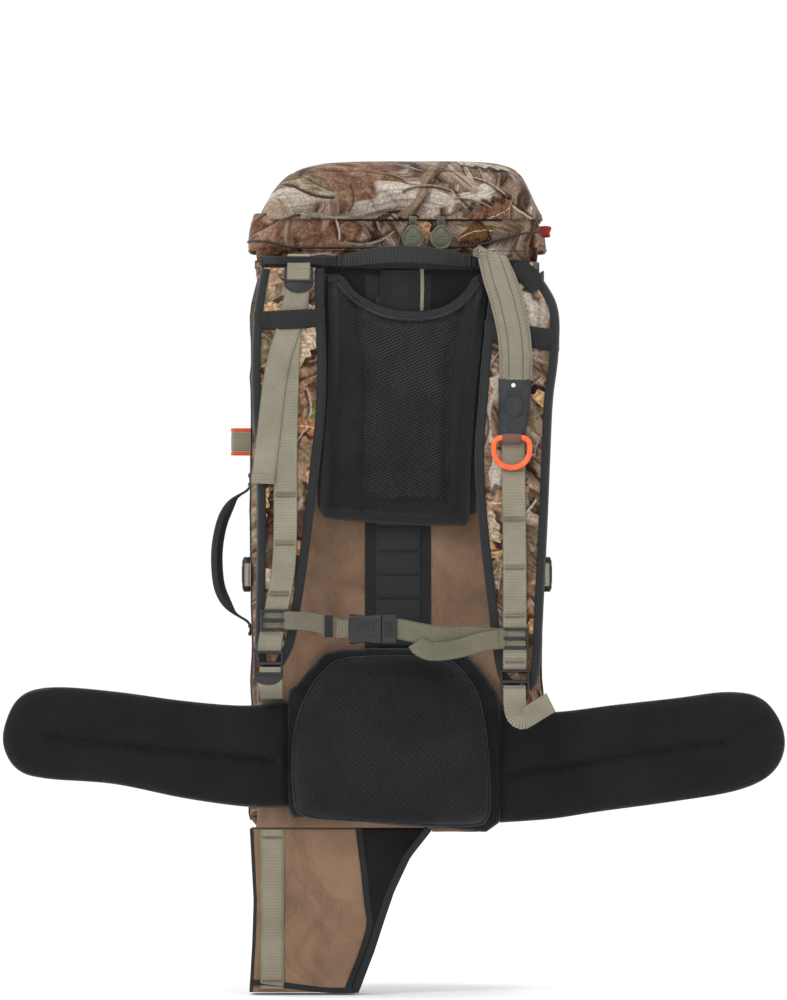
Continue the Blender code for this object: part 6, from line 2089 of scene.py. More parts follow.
def build_straps():
    fine_left = build_strap("left", STRAP_LEFT, CAMO_STRAP_L)
    fine_right = build_strap("right", STRAP_RIGHT, CAMO_STRAP_R)
    left = [(-0.104, -0.036), (-0.107, -0.06), (-0.114, -0.09), (-0.1175, -0.2), (-0.1185, -0.32),
        (-0.127, -0.38), (-0.1335, -0.413), (-0.1345, -0.4245)]
    daisy("daisy_web_left", left, ("strap_webbing_left",), [-0.06, -0.262, -0.313, -0.364])
    right = [(0.118, -0.07), (0.122, -0.15), (0.123, -0.24), (0.124, -0.33), (0.124, -0.41), (0.124, -0.445)]
    daisy("daisy_web_right", right, ("strap_webbing_right",), [-0.18, -0.235, -0.286, -0.337, -0.388, -0.436])

    # left lifter: its lock, and the tail that hangs over the daisy chain
    lock = placed(lock_shape(0.031, 0.017, 0.005, 0.01), strap_frame(-0.104, -0.0275, 0.0045))
    lock.done("lifter_lock", PLASTIC, "shoulder_straps", "black_plastic", ("lifter_lock_left",), 40)
    tail = Soup()
    start = strap_front(-0.03)
    path = [Vector((-0.104, start - 0.0058, -0.02)), Vector((-0.1045, start - 0.0062, -0.03)),
        Vector((-0.1052, start - 0.005, -0.042))]
    path += on_strap([(-0.1095, -0.06), (-0.115, -0.085)], 0.0034,
        5) + on_strap([(-0.12, -0.1), (-0.1255, -0.12), (-0.1305, -0.15), (-0.1355, -0.195),
        (-0.1415, -0.245)], 0.0046, 6)
    tail.add(*tape(spline(path, 3), (1, 0.0, -0.16), WEB, 0.0014, 0.004, ripple=0.0006, seed=3))
    fold = path[-1]
    tail.add(*tape([fold + Vector((0.0002, -0.0002, 0.007)), fold + Vector((0.0, -0.0018, 0.002)),
        fold + Vector((0, -0.0024, -0.0012)), fold + Vector((0, -0.0018, -0.0024))], (1, 0, -0.16), WEB,
        0.0013, 0.0012))
    tail.done("lifter_tail", OLIVE_WEB, "shoulder_straps", "olive_webbing", (), 50)
    keeper("strap_keeper_left", fine_left, -0.0655, -0.0865, -0.0625, -0.082, -0.114, 0.007)
    keeper("strap_keeper_right", fine_right, -0.0746, -0.0963, -0.085, -0.1085, 0.12, 0.0022)

    for name, x, z in (("left", -0.1355, -0.437), ("right", 0.124, -0.4565)):
        lock = placed(lock_shape(0.031, 0.026, 0.005, 0.009), strap_frame(x, z, 0.0035))
        lock.done("strap_lock_body_" + name, PLASTIC, "shoulder_straps", "black_plastic", ("strap_lock_" + name,), 40)

    build_pull()


def build_pull():
    """The quick release at the right: padded pull strap, rubber tab with a rivet, and the orange ring."""
    pull = [Vector((0.097, -0.0268, -0.0085)), Vector((0.0975, -0.03, -0.005)),
        Vector((0.101, -0.034, -0.0078)), Vector((0.107, strap_front(-0.03) - 0.0065, -0.026))]
    pull += on_strap([(0.115, -0.05), (0.123, -0.085), (0.1255, -0.115), (0.1255, -0.1385)], 0.0058, 3)
    soup = Soup()
    lean = lambda s: Vector((1, 0, -0.52 * (1 - smooth_step(0.0, 0.6, s))))
    soup.add(*tape(spline(pull, 5), lean, 0.035, 0.003, 0.003, crown=0.0012, soft=0.0014))
    soup.done("pull_strap_body", OLIVE_WIDE, "shoulder_straps", "olive_webbing", ("pull_strap",), 50)
    route = even(spline(pull, 5), 0.003)
    stitch = Soup()
    for off in (-0.0152, -0.0075, 0.0075, 0.0152):
        line = []
        total = lengths(route)
        for i, p in enumerate(route):
            d = (route[min(i + 1, len(route) - 1)] - route[max(i - 1, 0)]).normalized()
            side = lean(total[i] / total[-1])
            side = (side - d * d.dot(side)).normalized()
            out = d.cross(side).normalized()
            rise = 0.0015 + 0.0012 * (1 - (off / 0.0185) ** 2) + 0.0001
            line.append(p + side * off + out * rise)
        stitch.add(*dashes(line[2:], 0.004, 0.62, 0.0004))
    stitch.done("pull_strap_stitching", OLIVE_THREAD, "shoulder_straps", "olive_webbing", (), 180)

    # rubber tab: a soft plate with a raised rim and a plain recessed oval
    tab = Soup()
    line = on_strap([(0.1245, -0.1375), (0.124, -0.16), (0.1225, -0.18), (0.1215, -0.1975)], 0.0058, 8)
    tab.add(*tape(line, (1, 0, 0), lambda s: 0.0345 - 0.0062 * s ** 2,
        lambda s: 0.0038 - 0.0008 * smooth_step(0.75, 1.0, s), 0.0022, crown=0.0005, soft=0.0012))
    inner = []
    for k in range(44):
        a = 2 * math.pi * k / 44
        z = -0.165 + 0.0125 * math.sin(a)
        x = 0.1235 + 0.0102 * math.cos(a)
        inner.append(Vector((x, strap_front(z) - 0.0082, z)))
    tab.add(*tube(inner, 0.0008, 8, True))
    edge = []
    for k in range(17):
        z = -0.1402 - 0.0545 * k / 16
        s = (-0.1375 - z) / 0.06
        edge.append((z, (0.0345 - 0.0062 * s ** 2) / 2 - 0.0022, 0.1245 - 0.003 * s))
    rim = [Vector((x - w, strap_front(z) - 0.0078, z)) for z, w,
        x in edge] + [Vector((x + w, strap_front(z) - 0.0078, z)) for z, w, x in edge[::-1]]
    tab.add(*tube(rim, 0.0007, 8, True))
    tab.done("pull_tab_body", RUBBER, "shoulder_straps", "grey_rubber", ("pull_tab",), 50)
    rivet = Soup()
    base = Vector((0.123, strap_front(-0.144) - 0.0076, -0.144))
    rings = []
    for r, h in ((0.0024, 0.0), (0.0024, 0.0005), (0.002, 0.001), (0.0012, 0.0013), (0.0004, 0.0014)):
        rings.append([base + Vector((r * math.cos(a * math.pi / 10), -h, r * math.sin(a * math.pi / 10)))
            for a in range(20)])
    rivet.add(*lofted(rings))
    rivet.done("pull_tab_rivet", STEEL, "shoulder_straps", "stay_aluminium", (), 60)
    # short web that holds the ring under the tab
    hold = Soup()
    z = -0.201
    y = strap_front(z) - 0.0085
    hold.add(*tape(spline([(0.1215, strap_front(-0.186) - 0.003, -0.186), (0.1213, y + 0.0034, -0.196),
        (0.1212, y + 0.0043, -0.201), (0.1212, y + 0.0032, -0.2048), (0.1212, y, -0.2052),
        (0.1212, y - 0.0034, -0.203), (0.1212, y - 0.004, -0.1995),
        (0.1213, strap_front(-0.1955) - 0.0098, -0.1955)], 4), (1, 0, 0), 0.02, 0.0013, 0.0016))
    hold.done("pull_ring_web", RING_WEB, "shoulder_straps", "grey_rubber", (), 50)
    ring = Soup()
    matrix = strap_frame(0.121, -0.201, 0.0085)
    lean_m = matrix.to_3x3() @ Matrix(((0, 0, 1), (1, 0, 0), (0, 1, 0)))
    turn = Matrix.Translation(matrix.translation) @ lean_m.to_4x4()
    half = 0.019
    bow = arc((0, -0.013), half, 180, 360, 28)
    top = arc((half - 0.008, -0.008), 0.008, 0, 90, 7) + [(0.0, 0.0)] + arc((-half + 0.008, -0.008), 0.008, 90,
        180, 7)
    line = even([(a, 0, b) for a, b in bow + top[1:-1]], 0.0022, True)[:-1]
    ring.add(*moved(tube(line, 0.003, 14, True), turn))
    ring.done("pull_ring_body", ORANGE, "pull_ring", "orange_plastic", ("pull_ring",), 180)


# ---- sternum strap ------------------------------------------------------------------------------------------
STERNUM_WEB = 0.02


def build_sternum():
    left_x, left_z, right_x, right_z = -0.129, -0.392, 0.124, -0.411
    web_y = strap_front(left_z) - 0.0085
    for name, x, z in (("left", left_x, left_z), ("right", right_x, right_z)):
        soup = placed(lock_shape(0.03, 0.023, 0.0045), strap_frame(x, z, WEB_T + 0.0034))
        soup.done("sternum_slider_body_" + name, PLASTIC, "sternum_strap", "black_plastic",
            ("sternum_slider_" + name,), 40)
    socket_x, socket_z = -0.017, -0.401
    matrix = frame_at((socket_x, web_y - 0.001, socket_z), (1, 0, 0),
        (0, 1, 0)) @ Matrix.Rotation(math.radians(90), 4, "X")
    placed(socket_shape(STERNUM_WEB), matrix).done("sternum_socket_body", PLASTIC, "sternum_strap",
        "black_plastic", ("sternum_socket",), 40)
    placed(clip_shape(STERNUM_WEB), matrix).done("sternum_clip_body", PLASTIC, "sternum_clip", "black_plastic",
        ("sternum_clip",), 40)
    left = Soup()
    path = spline([(left_x + 0.01, web_y + 0.003, left_z), (left_x + 0.0135, web_y + 0.0012, left_z),
        (left_x + 0.0185, web_y, left_z), (-0.09, web_y - 0.0004, left_z - 0.0015),
        (-0.068, web_y - 0.0008, socket_z + 0.002), (-0.049, web_y - 0.001, socket_z)], 5)
    left.add(*tape(path, (0, 0, 1), 0.019, WEB_T, 0.003, ripple=0.0004))
    left.add(*web_wrap(Vector((-0.05, web_y - 0.001, socket_z)), (-1, 0, 0), (0, 0, 1), 0.018, 0.014))
    left.done("sternum_web_left", OLIVE_STERNUM, "sternum_strap", "olive_webbing", (), 50)
    keep = Soup()
    ring = []
    for k in range(20):
        a = k * math.pi / 10
        bulge = math.copysign(0.003, math.cos(a)) * abs(math.cos(a)) ** 0.35
        ring.append(Vector((-0.072, web_y - 0.0008 + bulge, socket_z + 0.003 + 0.0115 * math.sin(a))))
    keep.add(*tape(ring + [ring[0]], (1, 0, 0), 0.0085, 0.0012, 0.002))
    keep.done("sternum_keeper", ELASTIC, "sternum_strap", "black_webbing", (), 60)
    # the right web runs from the clip to the slider
    right = Soup()
    start_x = socket_x + 0.015
    path = spline([(start_x, web_y - 0.001, socket_z), (0.004, web_y - 0.0022, socket_z - 0.0002),
        (0.02, web_y - 0.006, -0.4045), (0.045, web_y - 0.008, -0.4085), (0.075, web_y - 0.005, -0.408),
        (right_x - 0.0185, web_y, right_z), (right_x - 0.0135, web_y + 0.0012, right_z),
        (right_x - 0.01, web_y + 0.003, right_z)], 6)
    right.add(*tape(path, lambda s: Vector((0, 0.1 * math.sin(math.pi * s), 1)), 0.022, WEB_T, 0.003,
        ripple=0.0005, seed=5))
    right.done("sternum_web_right_body", OLIVE_STERNUM, None, "olive_webbing", ("sternum_web_right",), 50,
        blend=("sternum_clip", "sternum_strap", (0.0, web_y, socket_z), (0.085, web_y, socket_z)))
    # slack of the right web, folded back on itself below it
    slack = Soup()
    path = spline([(0.106, web_y - 0.002, right_z - 0.001), (0.09, web_y - 0.0075, -0.414),
        (0.064, web_y - 0.0125, -0.4215), (0.038, web_y - 0.0135, -0.4245), (0.025, web_y - 0.0125, -0.42),
        (0.0205, web_y - 0.0105, -0.4145)], 6)
    slack.add(*tape(path, lambda s: Vector((0.1 * s, 0.25 * s, 1)), 0.02, 0.0014, 0.003, ripple=0.0006, seed=6))
    slack.done("sternum_web_tail", OLIVE_STERNUM, "sternum_strap", "olive_webbing", (), 50)


# ---- upper back pad -----------------------------------------------------------------------------------------
PAD_REAR = -0.0228
NECK = [(-0.0725, -0.0265), (-0.058, -0.0285), (-0.043, -0.046), (-0.015, -0.061), (0.019, -0.066),
    (0.051, -0.06), (0.071, -0.045), (0.082, -0.029), (0.096, -0.0265)]
PAD_RIGHT = [(0.096, -0.0265), (0.09, -0.09), (0.0825, -0.16), (0.078, -0.225), (0.0765, -0.278), (0.0735, -0.289)]
PAD_LEFT = [(-0.0725, -0.0265), (-0.0725, -0.09), (-0.073, -0.16), (-0.078, -0.22), (-0.081, -0.27), (-0.0785, -0.28)]
PAD_LOW = [(-0.0785, -0.28), (-0.07, -0.284), (0.0, -0.29), (0.066, -0.2915), (0.0735, -0.289)]
GROOVE_LEFT = [(-0.0455, -0.055), (-0.041, -0.08), (-0.0368, -0.105), (-0.0335, -0.15), (-0.0345, -0.2),
    (-0.037, -0.262)]
GROOVE_RIGHT = [(0.069, -0.066), (0.0625, -0.09), (0.0575, -0.115), (0.0545, -0.165), (0.0535, -0.21),
    (0.053, -0.266)]
GROOVE_LOW = [(-0.037, -0.262), (0.0, -0.268), (0.053, -0.266)]


def groove_x(line, z, otherwise):
    """Where a groove that runs down the pad is at height z."""
    for a, b in zip(line, line[1:]):
        if b[1] <= z <= a[1] and a[1] != b[1]:
            return a[0] + (b[0] - a[0]) * (z - a[1]) / (b[1] - a[1])
    return otherwise


def build_back_pad():
    top, bottom = measured(NECK, 4), measured(PAD_LOW, 3)
    left, right = measured(PAD_LEFT[::-1], 4), measured(PAD_RIGHT[::-1], 4)
    rows = coons(top, bottom, left, right, 64, 84, 0.35)
    grooves = [smooth2(line) for line in (GROOVE_LEFT, GROOVE_RIGHT, GROOVE_LOW)]
    neck_line = smooth2(NECK)

    def height(x, z, gap):
        full = quarter(gap, 0.01)
        near = min(edge_distance(x, z, g, False) for g in grooves)
        dip = math.exp(-(near / 0.0062) ** 2) * 0.3
        under_neck = edge_distance(x, z, neck_line, False)
        band = 0.4 * (1 - smooth_step(0.01, 0.02, under_neck))
        ridge = 0.0
        if x < -0.036 or x > 0.056:
            ridge = 0.12 * smooth_step(-0.07, -0.11, z)
        crown = 0.88 + ridge + 0.05 * math.sin(math.pi * smooth_step(-0.28, -0.08, z))
        return full * max(0.12, crown - dip - band)

    def rear(x, z, gap):
        return PAD_REAR

    def front(x, z, gap):
        lump = jitter((x, 0, z), 28.0, 81) * 0.0007 + jitter((x * 2, 0, z), 60.0, 82) * 0.0004
        return PAD_REAR - 0.0006 - 0.0196 * height(x, z, gap) - lump * quarter(gap, 0.02) if gap > 0 else -0.0234

    soup, _ = pad_soup(rows, front, rear)
    # coarser open mesh in the middle panel, finer on the ridges and the band
    mats = []
    for face in soup.faces:
        c = sum((soup.verts[i] for i in face), Vector()) / len(face)
        inside = groove_x(grooves[0], c.z, -0.045) < c.x < groove_x(grooves[1], c.z, 0.068)
        mats.append(1 if -0.262 < c.z < -0.078 and inside else 0)
    soup.mats = mats
    pad = soup.done("upper_back_pad_body", [MESH_FINE, MESH], "back_pad", "black_mesh", ("upper_back_pad",),
        180, merge=1e-6)
    surface = lambda x, z, gap: front(x, z, max(gap, 0.0004))
    for name, line, wide in (("left", PAD_LEFT, 0.0105), ("right", PAD_RIGHT, 0.0105), ("low", PAD_LOW, 0.012),
        ("neck", NECK, 0.007)):
        path = even_line(smooth2(line, 6), 0.004)
        inward = inward_of(path, (0.0, -0.16))
        Soup().add(*bound_edge(path, inward, surface, rear, wide, 0.0006)).done("back_pad_binding_" + name,
            BINDING, "back_pad", "black_webbing", (), 60)
    # piping inside the neck's binding, and top-stitching along the grooves
    trim = Soup()
    inner_neck = inset_open(neck_line, 0.0088)
    tree = surface_of(pad)
    trim.add(*tube(smoothed([projected(tree, x, z, 0.0004, -0.03) for x, z in inner_neck[3:-3]]), 0.0014, 8))
    trim.done("back_pad_piping", BLACK_PIPING, "back_pad", "black_webbing", (), 180)
    stitch = Soup()
    for g in grooves[:2]:
        stitch.add(*dashes([projected(tree, x, z, 0.0002, -0.03) for x, z in g], 0.0036, 0.62, 0.00034))
    stitch.done("back_pad_stitching", BLACK_THREAD, "back_pad", "black_webbing", (), 180)
    # the yoke behind the pad, which the straps are sewn to
    yoke = [
        (-0.14, -0.0245), (-0.141, -0.075), (-0.11, -0.092), (-0.0855, -0.11), (-0.0845, -0.2),
        (-0.084, -0.275), (0.083, -0.28), (0.088, -0.2), (0.093, -0.11), (0.115, -0.092),
        (0.1505, -0.075), (0.1505, -0.0245), (0.102, -0.0245), (0.086, -0.045), (0.056, -0.063),
        (0.019, -0.072), (-0.023, -0.064), (-0.055, -0.048), (-0.075, -0.0245),
    ]
    outline = even_line(yoke, 0.006, True)
    plate = Soup()
    rings = []
    for y, draw in ((-0.0201, 0.0006), (-0.0206, 0.0), (-0.0218, 0.0), (-0.0225, 0.0006)):
        rings.append([Vector((x, y + 0.0003 * jitter((x, z, 0), 40, 9), z)) for x, z in inset(outline, draw)])
    plate.add(*lofted(rings))
    yoke_cloth = plate.done("yoke_cloth", LINING, "back_pad", "black_mesh", (), 60)


def inset_open(line, depth):
    """An open 2D line moved to the side that faces down the pack."""
    made = []
    for i in range(len(line)):
        a, b = Vector(line[max(i - 1, 0)]), Vector(line[min(i + 1, len(line) - 1)])
        d = (b - a).normalized()
        n = Vector((-d.y, d.x))
        if n.y > 0:
            n = -n
        made.append((line[i][0] + n.x * depth, line[i][1] + n.y * depth))
    return made


# ---- hip belt -----------------------------------------------------------------------------------------------
WING_LEFT = [
    (-0.115, -0.48), (-0.161, -0.485), (-0.226, -0.48), (-0.3, -0.47), (-0.365, -0.4655), (-0.398, -0.475),
    (-0.4135, -0.503),
    (-0.4145, -0.528), (-0.4, -0.55), (-0.37, -0.5585), (-0.3, -0.564), (-0.226, -0.579), (-0.161, -0.588),
    (-0.115, -0.589),
]
WING_RIGHT = [
    (0.109, -0.487), (0.163, -0.492), (0.233, -0.484), (0.296, -0.477), (0.35, -0.4705), (0.385, -0.477),
    (0.405, -0.502),
    (0.4085, -0.53), (0.394, -0.555), (0.358, -0.5715), (0.29, -0.583), (0.2125, -0.5935), (0.163, -0.601),
    (0.109, -0.605),
]
CORE = [
    (-0.114, -0.59), (-0.114, -0.48), (-0.104, -0.462), (-0.085, -0.44), (-0.06, -0.426), (0.055, -0.426),
    (0.082, -0.441), (0.098, -0.463), (0.108, -0.488), (0.108, -0.6045), (0.05, -0.61), (-0.03, -0.605),
    (-0.09, -0.598),
]
LUMBAR_LEFT = [(-0.096, -0.5985), (-0.1065, -0.59), (-0.1095, -0.541), (-0.1045, -0.498), (-0.09, -0.464),
    (-0.074, -0.444)]
LUMBAR_TOP = [(-0.074, -0.444), (-0.062, -0.4365), (-0.04, -0.4328), (0.0, -0.4318), (0.04, -0.4335),
    (0.058, -0.4385), (0.07, -0.448)]
LUMBAR_RIGHT = [(0.091, -0.607), (0.0968, -0.595), (0.0965, -0.56), (0.0935, -0.519), (0.0855, -0.476),
    (0.07, -0.448)]
LUMBAR_LOW = [(-0.096, -0.5985), (-0.08, -0.6015), (-0.029, -0.6045), (0.046, -0.609), (0.078, -0.609),
    (0.091, -0.607)]
CHANNELS = {"left": [(-0.366, -0.5165), (-0.3, -0.524), (-0.226, -0.532), (-0.131, -0.542)],
    "right": [(0.119, -0.556), (0.2, -0.543), (0.28, -0.531), (0.345, -0.522)]}


def build_lumbar():
    rows = coons(measured(LUMBAR_TOP, 4), measured(LUMBAR_LOW, 4), measured(LUMBAR_LEFT, 4),
        measured(LUMBAR_RIGHT, 4), 52, 48, 0.5)

    def front(x, z, gap):
        crown = 0.8 + 0.2 * quarter(gap, 0.06)
        return -0.031 - 0.04 * quarter(gap, 0.019) * crown if gap > 0 else -0.0312
    soup, border = pad_soup(rows, front, lambda x, z, gap: -0.0308)
    pad = soup.done("lumbar_pad_body", MESH_LUMBAR, "pack", "black_mesh", ("lumbar_pad",), 180, merge=1e-6)
    inflate(pad, lambda x, y, z: 1.0 if y > -0.036 else 0.05, 0.004, 4.0)
    pad.data.shade_smooth()
    limit = -0.074
    sculpt(pad, lambda p, n: Vector((0, max(0.0, limit - p.y) * 0.7 + min(0.0, -0.0305 - p.y), 0)))
    line = even2(border, 220)
    Soup().add(*tube([(x, -0.0335, z) for x, z in inset(line, -0.0006)], 0.0017, 8,
        True)).done("lumbar_piping", BLACK_PIPING, "pack", "black_webbing", (), 180)

    # belt core: a flat padded plate with piping round its front edge
    outline = even2(smooth2(CORE, 3, True), 200)
    rings = []
    for y, draw in ((-0.0168, 0.0025), (-0.0172, 0.001), (-0.019, 0.0), (-0.0262, 0.0), (-0.0285, 0.001),
        (-0.0298, 0.003), (-0.0303, 0.008), (-0.0303, 0.02)):
        rings.append([Vector((x, y - 0.0004 * jitter((x, y, z), 40, 91), z)) for x, z in inset(outline, draw)])
    core = Soup().add(*lofted(rings)).done("belt_core_body", MESH_FINE, "pack", "black_mesh", ("belt_core",), 180)
    trim = Soup()
    trim.add(*tube([(x, -0.0272, z) for x, z in inset(outline, -0.0004)], 0.0019, 8, True))
    trim.add(*dashes([(x, -0.0306, z) for x, z in inset(outline, 0.0058)], 0.0038, 0.62, 0.00036, True), None, 1)
    trim.done("belt_core_piping", [BLACK_PIPING, BLACK_THREAD], "pack", "black_webbing", (), 180)


def build_wing(name, points):
    outline = smooth2(points, 5)
    # split into top, tip and bottom for the grid
    top = points[:5]
    tip = points[4:10]
    low = points[9:]
    root = [points[-1], ((points[-1][0] + points[0][0]) / 2, (points[-1][1] + points[0][1]) / 2), points[0]]
    top_l, low_l = measured(top, 5), measured(low[::-1], 5)
    tip_l, root_l = measured(tip[::-1], 5), measured(root, 5)
    rows = coons(top_l, low_l, root_l, tip_l, 96, 44, 0.35)
    channel = smooth2(CHANNELS[name], 6)
    half, mid = 0.01, -0.028

    def full(x, z, gap):
        near = edge_distance(x, z, channel, False)
        dip = 0.5 * math.exp(-(near / 0.0042) ** 2)
        lobe = 0.9 + 0.14 * math.exp(-((near - 0.016) / 0.012) ** 2)
        pucker = 0.05 * math.sin(x * 420 + z * 90) * math.exp(-(near / 0.01) ** 2)
        return quarter(gap, 0.0135) * (lobe - dip + pucker)

    def front(x, z, gap):
        lump = jitter((x, 0, z), 22.0, 101) * 0.0007
        return mid - half * full(x, z, gap) - lump * quarter(gap, 0.03) if gap > 0 else mid

    def back(x, z, gap):
        return mid + (half - 0.0006) * quarter(gap, 0.0135) * 0.95 if gap > 0 else mid
    soup, border = pad_soup(rows, front, back)
    wing = bare(soup, "belt_wing_body_" + name, MESH_DASH)
    inflate(wing, lambda x, y, z: max(1.0 if edge_distance(x, z, border) < 0.0065 else 0.02,
        1.0 if edge_distance(x, z, channel, False) < 0.004 and y < mid else 0.0), 0.002, 3.0)
    sculpt(wing, lambda p, n: Vector((0, 0.0024 * math.exp(-(edge_distance(p.x, p.z, channel, False)
        / 0.0022) ** 2) if p.y < mid else 0.0, 0)))
    sculpt(wing, lambda p, n: Vector((0, max(0.0, -0.0402 - p.y) * 0.8 - max(0.0, p.y + 0.0178), 0)))
    wing.data.shade_smooth()
    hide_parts("belt_wing_" + name)
    tree = surface_of(wing)
    trim = Soup()
    trim.add(*tube([(x, mid - 0.0004, z) for x, z in even_line(outline, 0.005)], 0.0021, 8))
    trim_obj = bare(trim, "wing_piping_" + name, BLACK_PIPING)
    stitch = Soup()
    for off in (-0.0012, 0.0012):
        stitch.add(*dashes([projected(tree, x, z + off, 0.0002, -0.036) for x, z in even_line(channel, 0.003)],
            0.0038, 0.62, 0.0004))
    stitch_obj = bare(stitch, "wing_stitching_" + name, BLACK_THREAD)
    for obj in (wing, trim_obj, stitch_obj):
        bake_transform(obj)


def bare(soup, name, mat):
    """A mesh from a Soup that isn't riding on a body yet."""
    mesh = bpy.data.meshes.new(name)
    mesh.from_pydata([tuple(v) for v in soup.verts], [], soup.faces)
    bm = bmesh.new()
    bm.from_mesh(mesh)
    bmesh.ops.remove_doubles(bm, verts=bm.verts, dist=1e-6)
    bmesh.ops.recalc_face_normals(bm, faces=bm.faces)
    bm.to_mesh(mesh)
    bm.free()
    obj = linked(name, mesh)
    finish_mesh(obj, [mat], 180)
    return obj


BELT_WEB = 0.038


def build_belt():
    build_lumbar()
    build_wing("left", WING_LEFT)
    build_wing("right", WING_RIGHT)
    y = -0.0125
    for name, side, tip, z in (("left", -1, -0.395, -0.516), ("right", 1, 0.389, -0.521)):
        soup = Soup()
        end = tip - side * 0.1245 if side < 0 else tip - side * 0.124
        soup.add(*tape(spline([(tip - side * 0.001, y, z), (tip - side * 0.04, y + 0.0003, z),
            (tip - side * 0.08, y - 0.0002, z), (end, y, z)], 6), (0, 0, 1), BELT_WEB, 0.0018, 0.004, ripple=0.0003))
        soup.done("belt_web_" + name, OLIVE_BELT, "belt_strap_" + name, "olive_webbing", (), 50)
        tack = Soup()
        for k in range(2):
            tack.add(*bar_tack((tip - side * (0.006 + 0.004 * k), y - 0.0011, z), (0, 0, 1), (1, 0, 0), 0.032))
        tack.done("belt_web_tacks_" + name, OLIVE_THREAD, "belt_strap_" + name, "olive_webbing", (), 180)
        # the web's sewn end on the wing
        Soup().add(*tape(spline([(tip + side * 0.006, y - 0.0036, z), (tip + side * 0.002, y - 0.0014, z),
            (tip - side * 0.002, y, z)], 4), (0, 0, 1), 0.0375, 0.0014, 0.002)).done("belt_web_anchor_" + name,
            OLIVE_BELT, "wing_" + name, "olive_webbing", (), 50)
        if side < 0:
            matrix = frame_at((tip + 0.155, y, z), (1, 0, 0), (0, 0, 1))
            shape = socket_shape(BELT_WEB)
        else:
            matrix = frame_at((tip - 0.138, y, z), (1, 0, 0), (0, 0, 1))
            shape = clip_shape(BELT_WEB)
        placed(shape, matrix).done("belt_buckle_" + name, PLASTIC, "belt_strap_" + name, "black_plastic",
            ("belt_strap_" + name,), 40)


# ---- webs that cross the harness joints ---------------------------------------------------------------------
def build_anchor_webs():
    low = SLEEVE_FRONT - 0.0013
    for name, x, lock_z, over in (("left", -0.133, -0.459, -0.474), ("right", 0.124, -0.4785, -0.481)):
        start = strap_front(lock_z) - 0.002
        path = [
            (x, start - 0.0012, lock_z + 0.018), (x, start - 0.0006, lock_z + 0.008),
            (x, start + 0.001, lock_z - 0.001), (x, start + 0.02, (lock_z + over) / 2 - 0.0015), (x, -0.045, over),
            (x, -0.0225, over - 0.0005), (x, low, over - 0.007), (x, low, over - 0.02), (x, low, -0.5),
            (x, low, -0.56),
        ]
        Soup().add(*tape(spline(path, 5), (1, 0, 0), 0.024, WEB_T, 0.003,
            ripple=0.0003)).done("lower_web_body_" + name, OLIVE_WEB, None, "olive_webbing",
            ("lower_web_" + name,), 50, blend=("shoulder_straps", "back_pad", (x, -0.09, -0.47), (x, -0.016, -0.48)))
    # the right web's spare length, folded into a bundle below the lock
    tail = Soup()
    x, y = 0.124, strap_front(-0.4785)
    path = spline([(x, y - 0.006, -0.464), (x, y - 0.0085, -0.476), (x + 0.001, y - 0.012, -0.487),
        (x + 0.004, y - 0.014, -0.493), (x + 0.011, y - 0.015, -0.4945), (x + 0.023, y - 0.013, -0.487),
        (x + 0.038, y - 0.01, -0.478)], 6)
    tail.add(*tape(path, lambda s: Vector((1.0 - 0.75 * smooth_step(0.3, 0.7, s),
        -0.15 * smooth_step(0.3, 0.7, s), -0.15 + 1.0 * smooth_step(0.3, 0.7, s))), 0.024, 0.0015, 0.003,
        ripple=0.0006, seed=8))
    tail.done("lower_web_tail_right", OLIVE_WEB, "shoulder_straps", "olive_webbing", (), 50)
    for name, side_x, front_x in (("left", -0.104, -0.104), ("right", 0.103, 0.1055)):
        path = [(side_x, 0.0405, -0.0085), (side_x, 0.034, -0.0058), (side_x, 0.012, -0.005),
            (front_x, -0.008, -0.0046), (front_x, -0.02, -0.0049)]
        Soup().add(*tape(spline(path, 5), (1, 0, 0), WEB, WEB_T, 0.003,
            ripple=0.0003)).done("lifter_web_body_" + name, OLIVE_WEB, None, "olive_webbing",
            ("lifter_web_" + name,), 50, blend=("pack", "back_pad", (front_x, -0.0174, -0.005),
            (front_x, -0.0198, -0.005)))
    soup = Soup()
    front = strap_front(-0.03)
    path = [(-0.104, -0.0198, -0.0047), (-0.104, -0.027, -0.0056), (-0.104, -0.034, -0.0088),
        (-0.104, front - 0.0038, -0.0165), (-0.104, front - 0.0048, -0.0235)]
    soup.add(*tape(spline(path, 5), (1, 0, 0), WEB - 0.0005, WEB_T, 0.003))
    soup.done("lifter_web_front_left", OLIVE_WEB, None, "olive_webbing", (), 50,
        blend=("back_pad", "shoulder_straps", (-0.104, -0.02, -0.005), (-0.104, -0.036, -0.01)))


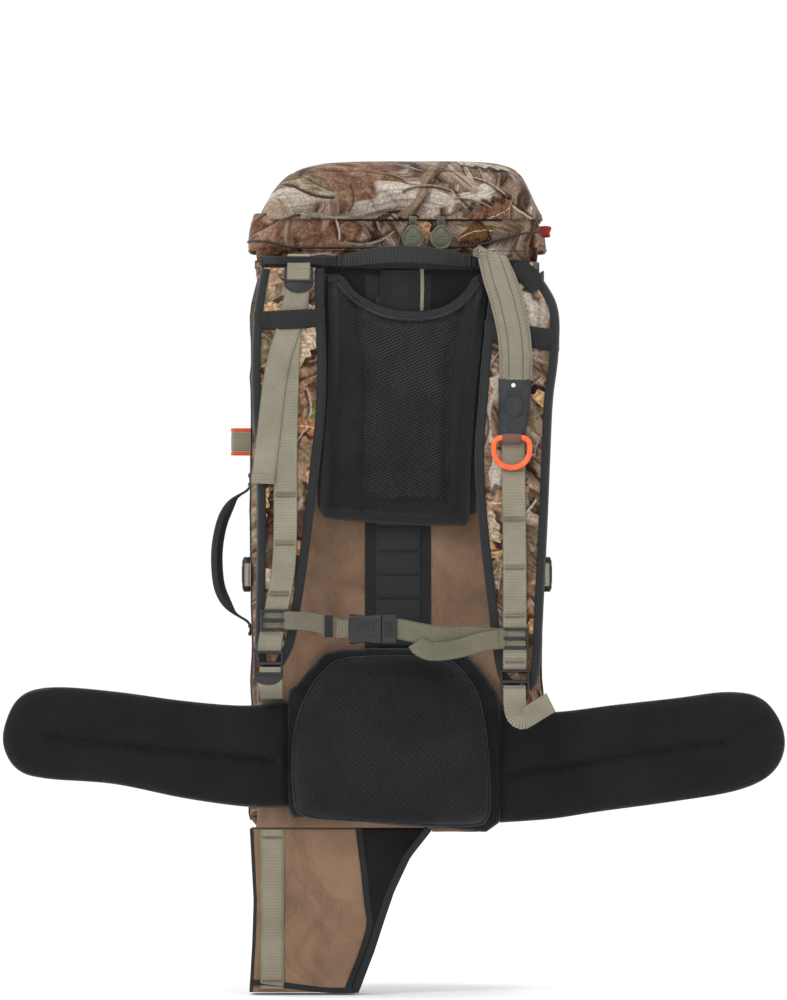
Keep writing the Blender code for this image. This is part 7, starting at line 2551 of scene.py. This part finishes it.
def build_yoke_edge():
    """Binding over the yoke's top edge at the left, which holds the lifter web down."""
    Soup().add(*tape(spline([(-0.142, -0.0243, -0.0108), (-0.136, -0.03, -0.0108), (-0.124, -0.039, -0.0108),
        (-0.104, -0.0405, -0.011), (-0.086, -0.0385, -0.0112), (-0.076, -0.029, -0.0114),
        (-0.068, -0.0224, -0.0116)], 6), (0, -0.25, 1), 0.0085, 0.0013, 0.003)).done("yoke_edge_left", BINDING,
        "shoulder_straps", "black_webbing", (), 50)
    Soup().add(*tape(on_strap([(0.123, -0.0215), (0.134, -0.024), (0.142, -0.031), (0.148, -0.043)], 0.0014,
        5), (0.75, 0, 0.65), lambda s: 0.015 + 0.008 * math.sin(math.pi * s), 0.0012,
        0.004)).done("strap_corner_binding", BINDING, "shoulder_straps", "black_webbing", (), 50)


# ---- parts of the CAD that stay, with better finishes -------------------------------------------------------
def dress_cad():
    for node, mat in (("frame_sheet", SHEET_PLASTIC), ("frame_stay", ALUMINIUM), ("cord_lock_body", PLASTIC),
        ("cord_lock_button", PLASTIC)):
        obj = next(o for o in bpy.data.objects if o.name == node or o.name.startswith(node + "."))
        for slot in obj.material_slots:
            slot.material = mat
        if not obj.material_slots:
            obj.data.materials.append(mat)


# ---- the lower right corner ---------------------------------------------------------------------------------
DRAWN_UP = 0.0155


def draw_up(names):
    """The lower right corner of the bag and the sleeve is drawn up behind the belt's wing."""
    for name in names:
        obj = bpy.data.objects.get(name)
        if obj is not None:
            for v in obj.data.vertices:
                v.co.z += DRAWN_UP * smooth_step(0.084, 0.116, v.co.x) * smooth_step(-0.545, -0.612, v.co.z)


build_bag()
build_collar()
build_front_pocket()
build_sides()
build_lid_pocket()
build_lid_zip(*build_lid_band())
build_lid_tab()
build_lid_straps()
build_lid_hinge()
build_sleeve()
build_sleeve_mouth()
build_grab_handle()
build_neck_patch()
build_ladder()
build_boot()
build_boot_trim()
build_boot_hinge()
build_straps()
build_sternum()
build_back_pad()
build_belt()
build_anchor_webs()
build_yoke_edge()
draw_up(("bag_body", "bag_seams", "sleeve_cloth", "sleeve_floor"))
dress_cad()
